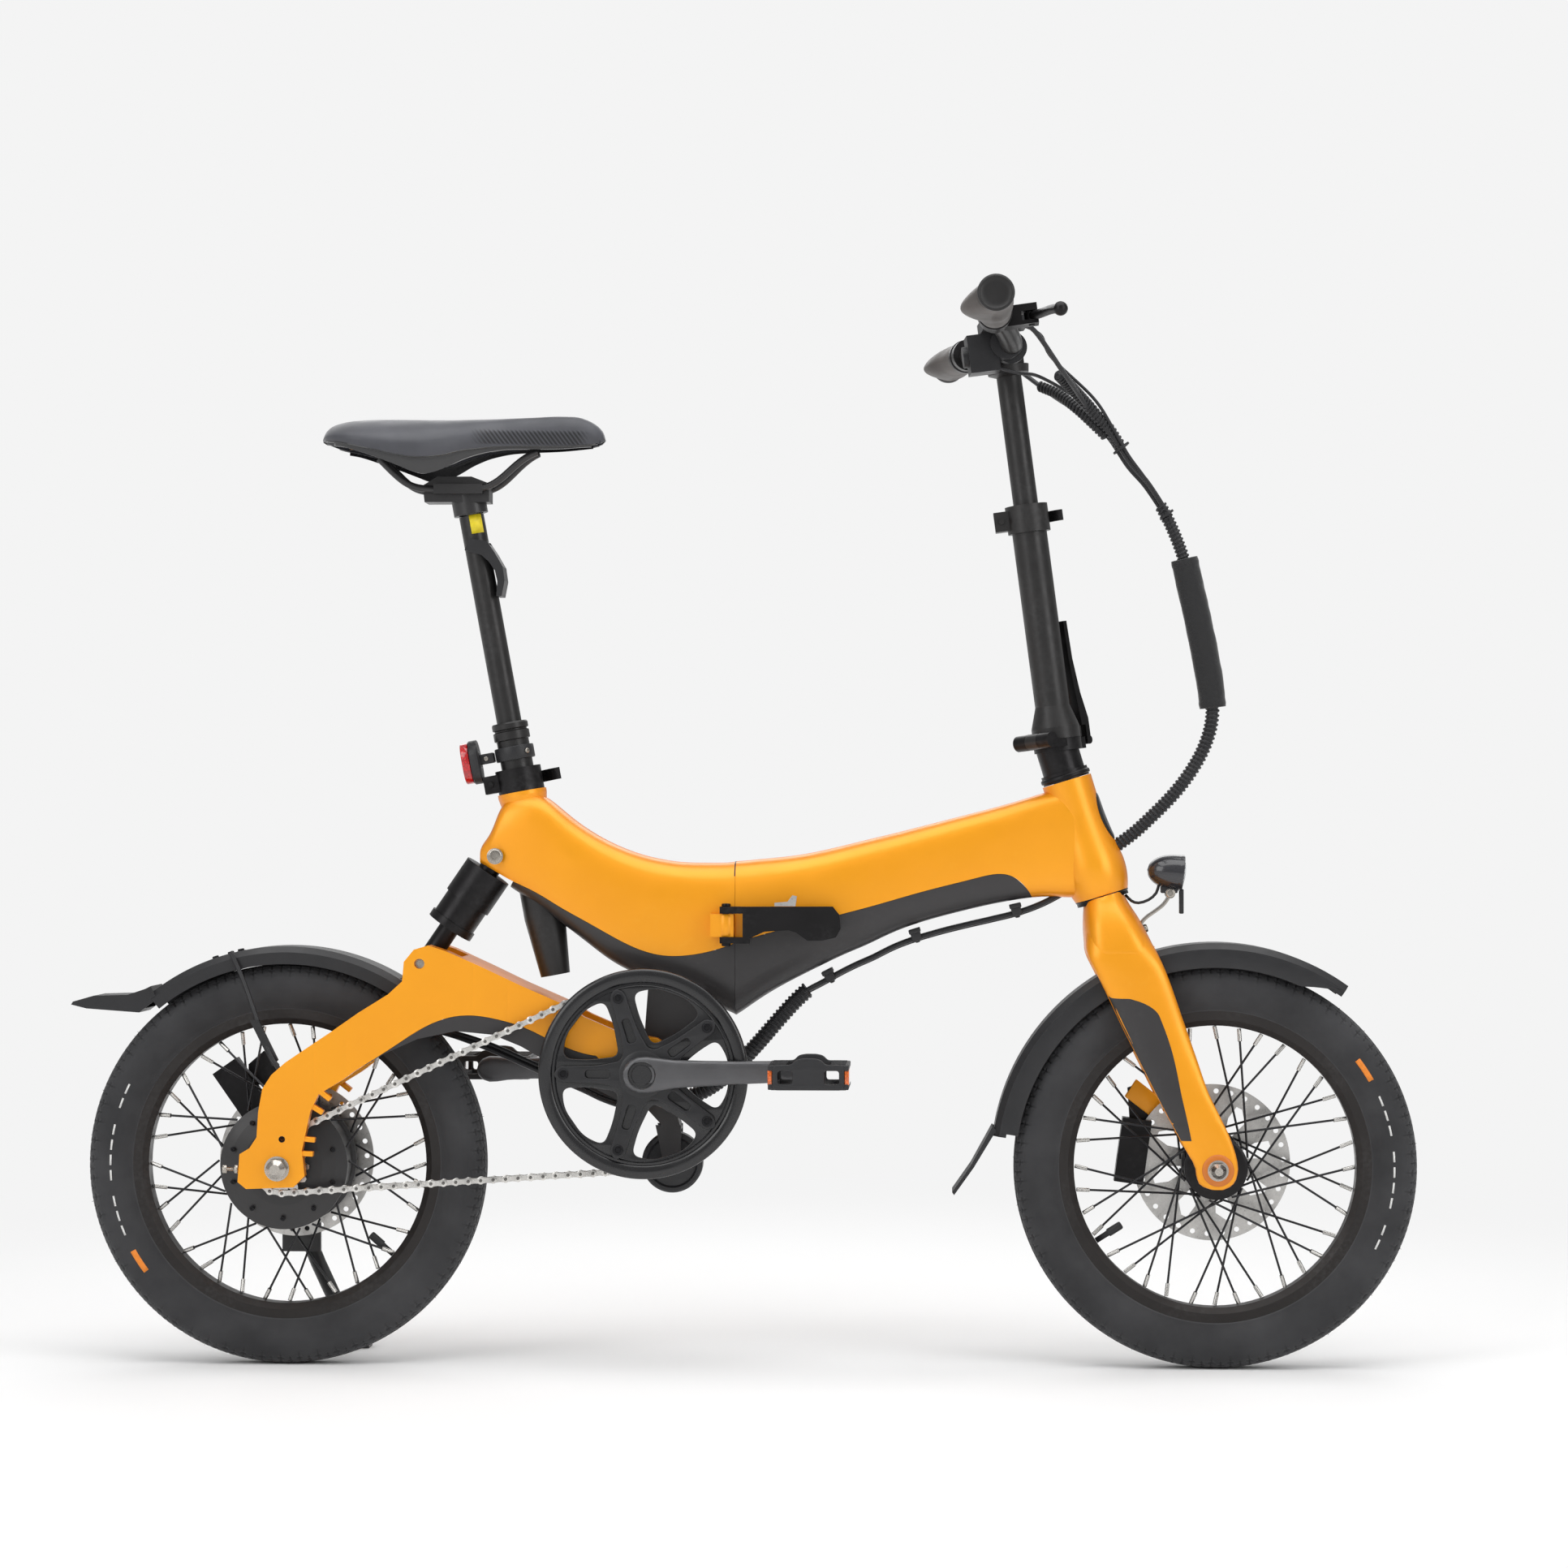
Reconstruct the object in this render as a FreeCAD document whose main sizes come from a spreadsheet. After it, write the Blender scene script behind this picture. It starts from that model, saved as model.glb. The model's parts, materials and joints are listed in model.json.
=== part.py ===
import FreeCAD, Part
import math
import os
import Sketcher
from FreeCAD import Vector, Rotation, Placement

# Folding electric-assist bicycle with 16 inch wheels, in millimetres.
# +X is forward, +Y the rider's left, +Z up; the ground is z = 0 and the wheels' plane y = 0.
# Pieces are drawn about a working x and moved by shift_x, which centres the bicycle on its box.

os.makedirs("parts", exist_ok=True)
doc = FreeCAD.newDocument("folding_bicycle")
sheet = doc.addObject("Spreadsheet::Sheet", "Sizes")

SIZES = [
    ("shift_x", 4.82), ("shift_y", 0.0),
    # wheels
    ("tyre_radius", 203.5), ("tyre_half", 25.0), ("crown_half", 13.0), ("axle_height", 203.5),
    ("front_axle_x", 474.7), ("rear_axle_x", -469.0),
    ("rim_outer", 159.0), ("rim_inner", 142.5), ("rim_half", 15.0), ("rim_bed", 151.5),
    ("spoke_count", 36), ("spoke_radius", 1.15),
    ("front_axle_radius", 4.5), ("rear_axle_radius", 7.0), ("running_gap", 0.06),
    ("front_hub_half", 37.0), ("front_flange", 32.0), ("motor_radius", 61.0),
    ("motor_half", 43.5), ("rotor_radius", 80.0), ("rotor_thick", 1.8),
    ("front_rotor_y", 42.0), ("rear_rotor_y", 51.0),
    # drive
    ("bb_x", -101.0), ("bb_z", 299.0), ("chain_line", 52.0), ("ring_teeth", 48),
    ("sprocket_teeth", 13), ("chain_pitch", 12.7), ("tooth_thick", 3.2),
    ("crank_length", 170.0), ("crank_tilt", 1.4), ("crank_inner", 70.0), ("crank_thick", 14.0),
    ("spindle_radius", 12.0), ("guard_radius", 106.0), ("guard_thick", 4.0),
    ("guard_face", 60.0), ("pedal_width", 84.0), ("pedal_length", 80.0),
    ("pedal_height", 26.0), ("pedal_inner", 98.0), ("trolley_radius", 31.0),
    ("trolley_half", 11.0), ("trolley_x", -75.4), ("trolley_z", 206.0),
    # frame
    ("fold_x", -10.0), ("fold_gap", 0.15), ("fold_y", 46.0), ("knuckle_radius", 9.0),
    ("pin_radius", 4.0), ("shell_wall", 4.0), ("cover_gap", 0.35), ("head_radius", 25.5),
    ("head_angle", 16.9), ("head_top_x", 325.5), ("head_top_z", 594.0),
    ("head_length", 122.0), ("steerer_radius", 17.0),
    # seat
    ("seat_angle", 10.45), ("seat_ref_x", -231.8), ("seat_ref_z", 593.0),
    ("outer_post_radius", 16.5), ("inner_post_radius", 12.7),
    ("seat_tube_radius", 21.0), ("collar_radius", 23.5), ("collar_height", 24.0),
    # handlebar post and bar
    ("post_angle", 7.5), ("post_x", 315.6), ("post_z", 636.0), ("lower_post_radius", 17.7),
    ("upper_post_radius", 12.7), ("lower_post_top", 236.0), ("bar_height", 395.4),
    ("bar_radius", 11.1), ("bar_twist", 4.57), ("bar_offset", 0.0),
    ("grip_start", 168.0), ("grip_end", 290.0),
    # suspension and mudguards
    ("shock_low_x", -328.0), ("shock_low_z", 409.0), ("shock_up_x", -254.0),
    ("shock_up_z", 517.2), ("shock_radius", 25.0), ("rod_radius", 10.5),
    ("swing_inner", 34.2), ("swing_outer", 43.8), ("dropout_inner", 61.5),
    ("dropout_outer", 74.0), ("front_guard_radius", 226.5), ("rear_guard_radius", 222.0),
    ("guard_half", 30.0),
]
for row, (alias, number) in enumerate(SIZES, start=1):
    sheet.set("A%d" % row, alias)
    sheet.set("B%d" % row, repr(number))
    sheet.setAlias("B%d" % row, alias)
doc.recompute()


class size:
    """The sheet's dimensions as attributes, such as size.tyre_radius."""


for alias, _ in SIZES:
    cell = sheet.get(alias)
    setattr(size, alias, float(getattr(cell, "Value", cell)))

# Piece positions bound to the sheet, and the same places as (x, z)
FRONT_WHEEL = dict(x="Sizes.front_axle_x", z="Sizes.axle_height")
REAR_WHEEL = dict(x="Sizes.rear_axle_x", z="Sizes.axle_height")
BRACKET = dict(x="Sizes.bb_x", z="Sizes.bb_z")
FRONT_AXLE = (size.front_axle_x, size.axle_height)
REAR_AXLE = (size.rear_axle_x, size.axle_height)
BB = (size.bb_x, size.bb_z)
TROLLEY = (size.trolley_x, size.trolley_z)
GAP = size.running_gap
ORIGIN = Vector(0, 0, 0)
X, Y, Z = Vector(1, 0, 0), Vector(0, 1, 0), Vector(0, 0, 1)
pieces = []


def value(spec):
    """Number of a spec: a number, or a sum of sheet aliases and numbers as text."""
    if not isinstance(spec, str):
        return float(spec)
    total, sign = 0.0, 1.0
    for word in spec.replace("Sizes.", "").replace("-", "- ").split():
        if word in "+-":
            sign = 1.0 if word == "+" else -1.0
        else:
            is_number = word.replace(".", "", 1).isdigit()
            total += sign * (float(word) if is_number else getattr(size, word))
    return total


def place(piece, x=0.0, y=0.0, z=0.0, rotation=Rotation()):
    """Place a finished piece at (x, y, z) plus the shift, bound to the sheet."""
    base = Vector(value(x) + size.shift_x, value(y) + size.shift_y, value(z))
    piece.Placement = Placement(base, rotation)
    for axis, offset in (("x", x), ("y", y)):
        text = "Sizes.shift_" + axis + (" + %s" % offset if offset else "")
        piece.setExpression(".Placement.Base." + axis, text)
    if isinstance(z, str):
        piece.setExpression(".Placement.Base.z", z)
    pieces.append(piece)


def feature(label, shape, **position):
    """Add a shape as a piece; a shape with its own position is wrapped first."""
    piece = doc.addObject("Part::Feature", label)
    if not shape.Placement.isIdentity():
        shape = Part.makeCompound([shape])
    piece.Shape = shape
    place(piece, **position)


# ---------------------------------------------------------------- shape helpers
def rod(radius, start, direction, length):
    return Part.makeCylinder(radius, length, start, direction)


def rod_y(radius, x, z, y0, y1):
    return Part.makeCylinder(radius, y1 - y0, Vector(x, y0, z), Y)


def rod_z(radius, x, y, z0, z1):
    return Part.makeCylinder(radius, z1 - z0, Vector(x, y, z0))


def box(x0, x1, y0, y1, z0, z1):
    return Part.makeBox(x1 - x0, y1 - y0, z1 - z0, Vector(x0, y0, z0))


def polygon(points):
    return Part.Face(Part.makePolygon(points + [points[0]]))


def prism(points, y0, y1):
    """(x, z) outline pushed from y0 to y1."""
    return polygon([Vector(x, y0, z) for x, z in points]).extrude(Vector(0, y1 - y0, 0))


def plan(points, z0, z1):
    """(x, y) outline pushed from z0 to z1."""
    return polygon([Vector(x, y, z0) for x, y in points]).extrude(Vector(0, 0, z1 - z0))


def front_prism(points, x0, x1):
    """(y, z) outline pushed from x0 to x1."""
    return polygon([Vector(x0, y, z) for y, z in points]).extrude(Vector(x1 - x0, 0, 0))


def spline(points):
    curve = Part.BSplineCurve()
    curve.interpolate(points)
    return curve


def below_curve(seam, drop, corners, half_width):
    """Block under a smooth (x, z) seam lowered by drop, closed through the corners."""
    curve = [Vector(x, -half_width, z - drop) for x, z in seam]
    ring = curve[-1:] + [Vector(x, -half_width, z) for x, z in corners] + curve[:1]
    edges = [Part.makeLine(start, end) for start, end in zip(ring[:-1], ring[1:])]
    wire = Part.Wire([spline(curve).toShape()] + edges)
    return Part.Face(wire).extrude(Vector(0, 2 * half_width, 0))


def pipe(points, radius, smooth=True):
    """Round bar along points (x, y, z), curved or with straight runs."""
    points = [Vector(*point) for point in points]
    if smooth:
        curve = spline(points)
        path = Part.Wire([curve.toShape()])
        tangent = curve.tangent(curve.FirstParameter)[0]
    else:
        path = Part.makePolygon(points)
        tangent = points[1] - points[0]
    ring = Part.Wire([Part.makeCircle(radius, points[0], tangent)])
    return path.makePipeShell([ring], True, True)


def section(x, bottom, top, half_width, power, count=28):
    """Rounded closed section across the bicycle at x."""
    middle, half_height = (bottom + top) / 2, (top - bottom) / 2

    def bulge(number):
        return math.copysign(abs(number) ** (2 / power), number)
    points = []
    for i in range(count):
        angle = 2 * math.pi * i / count
        points.append(Vector(x, half_width * bulge(math.cos(angle)),
                             middle + half_height * bulge(math.sin(angle))))
    curve = Part.BSplineCurve()
    curve.interpolate(points, PeriodicFlag=True)
    return Part.Wire([curve.toShape()])


def loft(stations, power=3.4):
    """Solid through stations (x, bottom, top, half width)."""
    return Part.makeLoft([section(*station, power) for station in stations], True, False)


def fuse(shapes):
    return shapes[0].multiFuse(shapes[1:])


def one_solid(shape):
    return shape.Solids[0] if len(shape.Solids) == 1 else shape


def biggest(shape):
    return max(shape.Solids, key=lambda solid: solid.Volume)


def placed(shape, placement):
    """Copy of the shape moved by the placement."""
    copy = shape.copy()
    copy.Placement = placement.multiply(copy.Placement)
    return copy


def turned(shape, axis, angle):
    return placed(shape, Placement(ORIGIN, Rotation(axis, angle)))


def for_side(shape, side):
    """The left piece as drawn for side 1, or its mirror on the right for side -1."""
    return shape if side > 0 else shape.mirror(ORIGIN, Y)


def leaning(angle):
    """Upward direction leaning back by the angle in degrees."""
    return Vector(-math.sin(math.radians(angle)), 0, math.cos(math.radians(angle)))


# ---------------------------------------------------------------- PartDesign helpers
def origin_part(body, role):
    return [part for part in body.Origin.OriginFeatures if part.Role == role][0]


def new_sketch(body, name, role):
    sketch = body.newObject("Sketcher::SketchObject", name)
    sketch.AttachmentSupport = (origin_part(body, role), [""])
    sketch.MapMode = "FlatFace"
    return sketch


def constrain(sketch, spec, kind, *target):
    """Add a constraint of the spec's value, bound to the sheet if the spec is text."""
    index = sketch.addConstraint(Sketcher.Constraint(kind, *target, value(spec)))
    if isinstance(spec, str):
        sketch.setExpression("Constraints[%d]" % index, spec)


def fix_point(sketch, edge, end, specs):
    """Hold one point of an edge at its two specs, none of them negative."""
    for kind, axis, spec in (("DistanceX", -2, specs[0]), ("DistanceY", -1, specs[1])):
        if abs(value(spec)) < 1e-9:
            sketch.addConstraint(Sketcher.Constraint("PointOnObject", edge, end, axis))
        else:
            constrain(sketch, spec, kind, -1, 1, edge, end)


def polygon_sketch(body, name, role, points):
    sketch = new_sketch(body, name, role)
    corners = [Vector(value(u), value(v), 0) for u, v in points]
    count = len(corners)
    for i in range(count):
        sketch.addGeometry(Part.LineSegment(corners[i], corners[(i + 1) % count]), False)
    for i in range(count):
        sketch.addConstraint(Sketcher.Constraint("Coincident", i, 2, (i + 1) % count, 1))
    for i in range(count):
        fix_point(sketch, i, 1, points[i])
    return sketch


def circle_sketch(body, name, circles):
    """Circles (x, z, radius) on the XZ plane."""
    sketch = new_sketch(body, name, "XZ_Plane")
    for i, (u, v, radius) in enumerate(circles):
        circle = Part.Circle(Vector(value(u), value(v), 0), Z, value(radius))
        sketch.addGeometry(circle, False)
        constrain(sketch, radius, "Radius", i)
        fix_point(sketch, i, 3, (u, v))
    return sketch


def turned_body(label, points, about_z=False):
    """Body turned from a profile (y, radius), or (radius, z) when about_z."""
    body = doc.addObject("PartDesign::Body", label)
    sketch = polygon_sketch(body, "Profile", "XZ_Plane" if about_z else "YZ_Plane", points)
    turn = body.newObject("PartDesign::Revolution", "ProfileTurn")
    turn.Profile = sketch
    turn.ReferenceAxis = (sketch, ["V_Axis" if about_z else "H_Axis"])
    turn.Angle = 360.0
    return body


def cut_ring(body, sketch, name, count):
    """Pocket the sketch through the body and repeat it round the Y axis."""
    pocket = body.newObject("PartDesign::Pocket", name + "Cut")
    pocket.Profile = sketch
    pocket.Length = 60.0
    # Guards against a version whose pocket has Midplane in place of SideType
    try:
        pocket.SideType = "Symmetric"
    except Exception:
        pocket.Midplane = True
    body.Tip = pocket
    doc.recompute()
    pattern = body.newObject("PartDesign::PolarPattern", name + "Ring")
    pattern.Originals = [pocket]
    pattern.Axis = (origin_part(body, "Y_Axis"), [""])
    pattern.Angle = 360.0
    pattern.Occurrences = count
    body.Tip = pattern
    doc.recompute()


# ================================================================ WHEELS
# (part of the tyre's half width, radius), bead to crown outside and inside
TYRE_OUTSIDE = [(0.49, 152.3), (0.49, 159.4), (0.68, 162.2), (0.93, 170.5), (1.0, 181.0),
                (0.96, 190.0), (0.80, 198.6)]
TYRE_INSIDE = [(0.34, 152.3), (0.40, 161.5), (0.72, 170.0), (0.80, 180.0), (0.66, 190.5),
               (0.35, 196.5)]
# (y from the right face, radius)
FRONT_BORE = "Sizes.front_axle_radius + Sizes.running_gap"
FLANGE = "Sizes.front_flange"
FRONT_HUB = [
    (0, FRONT_BORE), (0, 13), (7, 15), (9, 29.5), (10, FLANGE), (13.5, FLANGE), (15, 29.5),
    (18, 20), (24, 17.5), (50, 17.5), (56, 20), (59, 29.5), (60.5, FLANGE), (64, FLANGE),
    (65, 29.5), (68, 22.5), (74, 22), (78.4, 22), (78.4, FRONT_BORE)]
REAR_BORE = "Sizes.rear_axle_radius + Sizes.running_gap"
DRUM = "Sizes.motor_radius"
DRUM_FLANGE = "Sizes.motor_radius + 4"
HUB_MOTOR = [
    (0, REAR_BORE), (0, 20), (4, 24), (5, 40), (8, 54), (10, DRUM), (11, DRUM_FLANGE),
    (14, DRUM_FLANGE), (15, DRUM), (72, DRUM), (73, DRUM_FLANGE), (76, DRUM_FLANGE),
    (77, DRUM), (79, 54), (82, 42), (83, 26), (93.4, 24), (93.4, REAR_BORE)]
ROTOR_WINDOW = [(32, 4), (52, 4), (60, 16), (58, 22), (44, 20), (30, 11)]


def make_tyre(label, wheel):
    half = size.tyre_half
    outside = [(-half * part, radius) for part, radius in TYRE_OUTSIDE]
    outside.append((-size.crown_half, "Sizes.tyre_radius"))
    inside = [(-half * part, radius) for part, radius in TYRE_INSIDE]
    ring = outside + [(-y, radius) for y, radius in reversed(outside)]
    ring += [(-y, radius) for y, radius in inside] + inside[::-1]
    body = turned_body(label, [(round(y + half, 4), radius) for y, radius in ring])
    place(body, y="-Sizes.tyre_half", **wheel)


def make_rim(label, wheel):
    width, wall = 2 * size.rim_half, 2.4
    body = turned_body(label, [
        (0, "Sizes.rim_outer"), (wall, "Sizes.rim_outer"), (wall, "Sizes.rim_bed"),
        (width - wall, "Sizes.rim_bed"), (width - wall, "Sizes.rim_outer"),
        (width, "Sizes.rim_outer"), (width - 0.9, 148.5), (width - 5.5, "Sizes.rim_inner"),
        (5.5, "Sizes.rim_inner"), (0.9, 148.5)])
    place(body, y="-Sizes.rim_half", **wheel)


def spokes(flange_radius, flange_y, cross_angle):
    """Crossed spokes with nipples, from the flanges at +-flange_y to the rim."""
    solids = []
    per_side = int(size.spoke_count) // 2
    rim_radius = size.rim_inner - 0.05
    for side, y in enumerate((-flange_y, flange_y)):
        for i in range(per_side):
            lean = 1 if i % 2 else -1
            at_rim = 2 * math.pi * (i + 0.5 * side) / per_side
            at_hub = at_rim + math.radians(cross_angle) * lean
            start = Vector(flange_radius * math.cos(at_hub), y + 1.4 * lean,
                           flange_radius * math.sin(at_hub))
            end = Vector(rim_radius * math.cos(at_rim), math.copysign(3.0, y),
                         rim_radius * math.sin(at_rim))
            direction = end - start
            length = direction.Length
            direction.normalize()
            spoke = rod(size.spoke_radius, start, direction, length - 4)
            nipple = rod(2.1, end - direction * 14.2, direction, 13)
            solids.append(one_solid(spoke.fuse(nipple).removeSplitter()))
    return Part.makeCompound(solids)


def make_rotor(label, wheel, face_y, bore):
    """Brake disc with windows and vents."""
    body = doc.addObject("PartDesign::Body", label)
    sketch = circle_sketch(body, "Disc", [(0, 0, "Sizes.rotor_radius"), (0, 0, bore)])
    pad = body.newObject("PartDesign::Pad", "DiscPad")
    pad.Profile = sketch
    pad.setExpression("Length", "Sizes.rotor_thick")
    doc.recompute()
    cut_ring(body, polygon_sketch(body, "Window", "XZ_Plane", ROTOR_WINDOW), "Window", 8)
    cut_ring(body, circle_sketch(body, "Vent", [(73, 3, 2.6)]), "Vent", 30)
    place(body, y=face_y - body.Shape.BoundBox.YMin, **wheel)


def axle(radius, half, dropout, nut_half):
    """Axle with a washer and a domed nut outside each dropout; nut_half is half its flats."""
    solids = [rod_y(radius, 0, 0, -half, half)]
    corner = nut_half / math.cos(math.pi / 6)
    face_y = dropout + 0.05
    for side in (-1, 1):
        washer = rod_y(nut_half + 3, 0, 0, face_y, face_y + 2)
        washer = washer.cut(rod_y(radius + 0.03, 0, 0, face_y - 1, face_y + 4))
        hexagon = [(corner * math.cos(math.pi / 3 * k), corner * math.sin(math.pi / 3 * k))
                   for k in range(6)]
        nut = prism(hexagon, face_y + 2.05, face_y + 10.55)
        dome = Part.makeCone(nut_half * 1.02, nut_half * 0.55, 5.0,
                             Vector(0, face_y + 10.55, 0), Y)
        nut = nut.fuse(dome).cut(rod_y(radius + 0.03, 0, 0, face_y, half + 0.3))
        solids += [one_solid(for_side(shape, side)) for shape in (washer, nut)]
    return Part.makeCompound(solids)


for end, wheel in (("front", FRONT_WHEEL), ("rear", REAR_WHEEL)):
    make_tyre(end + "_tyre", wheel)
    make_rim(end + "_rim", wheel)
place(turned_body("front_hub", FRONT_HUB), y="-Sizes.front_hub_half", **FRONT_WHEEL)
place(turned_body("hub_motor", HUB_MOTOR), y="-Sizes.motor_half", **REAR_WHEEL)
feature("front_spokes", spokes(size.front_flange + 1.2, 25.3, 62), **FRONT_WHEEL)
feature("rear_spokes", spokes(size.motor_radius + 5.2, 31.0, 24), **REAR_WHEEL)
make_rotor("front_rotor", FRONT_WHEEL, size.front_rotor_y, 22.1)
make_rotor("rear_rotor", REAR_WHEEL, size.rear_rotor_y - 1.0, 24.2)
feature("front_axle", axle(size.front_axle_radius, 69.0, 58.5, 7.5), **FRONT_WHEEL)
feature("rear_axle", axle(size.rear_axle_radius, 86.0, size.dropout_outer, 9.5), **REAR_WHEEL)

# ================================================================ DRIVE
CHAIN_Y = -size.chain_line
TOOTH_HALF = size.tooth_thick / 2
CRANK_OUTER = size.crank_inner + size.crank_thick
SPIDER_ANGLES = [180 - 72 * k for k in range(5)]
SPIDER_BOLTS = [(80 * math.cos(math.radians(angle)), 80 * math.sin(math.radians(angle)))
                for angle in SPIDER_ANGLES]
SPIDER_ARM = [(10, -9), (84, -7), (89, 0), (84, 7), (10, 9)]
SPIDER_SLOT = [(32, -3.5), (60, -3), (60, 3), (32, 3.5)]
# (y from the inner face, radius)
GUARD_PROFILE = [
    (0, 23), (0, "Sizes.guard_radius - 15"), (0.6, "Sizes.guard_radius - 13"),
    (0.6, "Sizes.guard_radius - 2"), (2.4, "Sizes.guard_radius"), (5, "Sizes.guard_radius"),
    (7, "Sizes.guard_radius - 2.5"), (7.5, "Sizes.guard_radius - 7"),
    (6.5, "Sizes.guard_radius - 13"), ("Sizes.guard_thick", "Sizes.guard_radius - 15"),
    ("Sizes.guard_thick", 23)]
GUARD_WINDOW = [(34, 5), (52, 13), (66, 19), (78, 30), (80, 40), (74, 50), (62, 55),
                (52, 50), (40, 36), (28, 22)]


def pitch_radius(teeth):
    return size.chain_pitch / (2 * math.sin(math.pi / teeth))


RING_RADIUS = pitch_radius(int(size.ring_teeth))
SPROCKET_RADIUS = pitch_radius(int(size.sprocket_teeth))


def toothed(teeth, bore):
    """Toothed plate on the chain line."""
    pitch, step = pitch_radius(teeth), 2 * math.pi / teeth
    tip, seat = pitch + 2.6, pitch - 3.98
    points = []
    for i in range(teeth):
        # flanks and tip of a tooth, then the roller seat after it
        for turn, radius in ((-0.286, pitch - 0.2), (-0.121, tip), (0.121, tip),
                             (0.286, pitch - 0.2), (0.5, seat)):
            angle = (i + turn) * step
            points.append((radius * math.cos(angle), radius * math.sin(angle)))
    y0, y1 = CHAIN_Y - TOOTH_HALF, CHAIN_Y + TOOTH_HALF
    return prism(points, y0, y1).cut(rod_y(bore, 0, 0, y0 - 1, y1 + 1))


def chainring():
    lugs = [rod_y(6.0, x, z, -size.guard_face + 0.02, CHAIN_Y + TOOTH_HALF)
            for x, z in SPIDER_BOLTS]
    return one_solid(fuse([toothed(int(size.ring_teeth), 70.0)] + lugs))


def make_chain_guard():
    """Disc with a thick rounded rim and five windows, outside the chainring."""
    body = turned_body("chain_guard", GUARD_PROFILE)
    doc.recompute()
    cut_ring(body, polygon_sketch(body, "Window", "XZ_Plane", GUARD_WINDOW), "Window", 5)
    place(body, y="-Sizes.guard_face", rotation=Rotation(Z, 180), **BRACKET)


def crank(side):
    """Arm with boss, eye and pedal spindle; side -1 is right, 1 is left."""
    def span(near, far):
        return (near, far) if side > 0 else (-far, -near)
    inner, outer, length = size.crank_inner, CRANK_OUTER, size.crank_length
    arm = prism([(-12, -14), (20, -14.5), (length - 8, -11), (length - 8, 11), (20, 14.5),
                 (-12, 14)], *span(inner, outer - 1.5))
    arm = fuse([arm, rod_y(17.5, 0, 0, *span(inner, outer)),
                rod_y(13.5, length, 0, *span(inner, outer))]).removeSplitter()
    arm = fuse([arm, rod_y(4.5, length, 0, *span(outer, 180.0)),
                rod_y(8, length, 0, *span(outer, outer + 9))])
    return turned(arm, Y, -size.crank_tilt + (0 if side < 0 else 180))


def right_crank():
    """Right crank with the bottom bracket spindle and the five-armed spider."""
    spindle = rod_y(size.spindle_radius, 0, 0, -size.crank_inner - 3, CRANK_OUTER - 2)
    span = (-69.9, -size.guard_face - size.guard_thick - 0.1)
    arms = [turned(prism(SPIDER_ARM, *span), Y, -angle) for angle in SPIDER_ANGLES]
    slots = [turned(prism(SPIDER_SLOT, -75, -50), Y, -angle) for angle in SPIDER_ANGLES]
    bolts = [rod_y(5.2, x, z, -72.4, -69.0) for x, z in SPIDER_BOLTS]
    spider = fuse([rod_y(26, 0, 0, *span)] + arms).cut(Part.makeCompound(slots))
    return one_solid(fuse([crank(-1), spindle, fuse([spider] + bolts)]))


def left_crank():
    clear = rod_y(size.spindle_radius + 0.03, 0, 0, 60, CRANK_OUTER - 1.9)
    return one_solid(crank(1).cut(clear))


def pedal(side):
    half, top = size.pedal_length / 2, size.pedal_height / 2
    edge = top * 0.8
    y0 = size.pedal_inner
    y1 = y0 + size.pedal_width
    block = prism([(-half, -edge), (-half + 6, -top), (half - 6, -top), (half, -edge),
                   (half, edge), (half - 6, top), (-half + 6, top), (-half, edge)], y0, y1)
    block = block.cut(fuse([box(-half + 9, -13, y0 + 10, y1 - 10, -40, 40),
                            box(13, half - 9, y0 + 10, y1 - 10, -40, 40)]))
    hump = [(-15, top - 1), (-11, top + 5.5), (11, top + 5.5), (15, top - 1)]
    block = fuse([block, prism(hump, y0 + 1, y0 + 9), prism(hump, y1 - 9, y1 - 1),
                  rod_y(12, 0, 0, y0, y1)])
    block = block.cut(rod_y(4.5 + GAP, 0, 0, y0 - 1, y1 - 1))
    return one_solid(for_side(block, side))


def freewheel():
    bore = size.rear_axle_radius + 0.5
    hub = rod_y(19.0, 0, 0, -57.5, -44.0).cut(rod_y(bore, 0, 0, -60, -40))
    return one_solid(toothed(int(size.sprocket_teeth), bore).fuse(hub))


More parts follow.
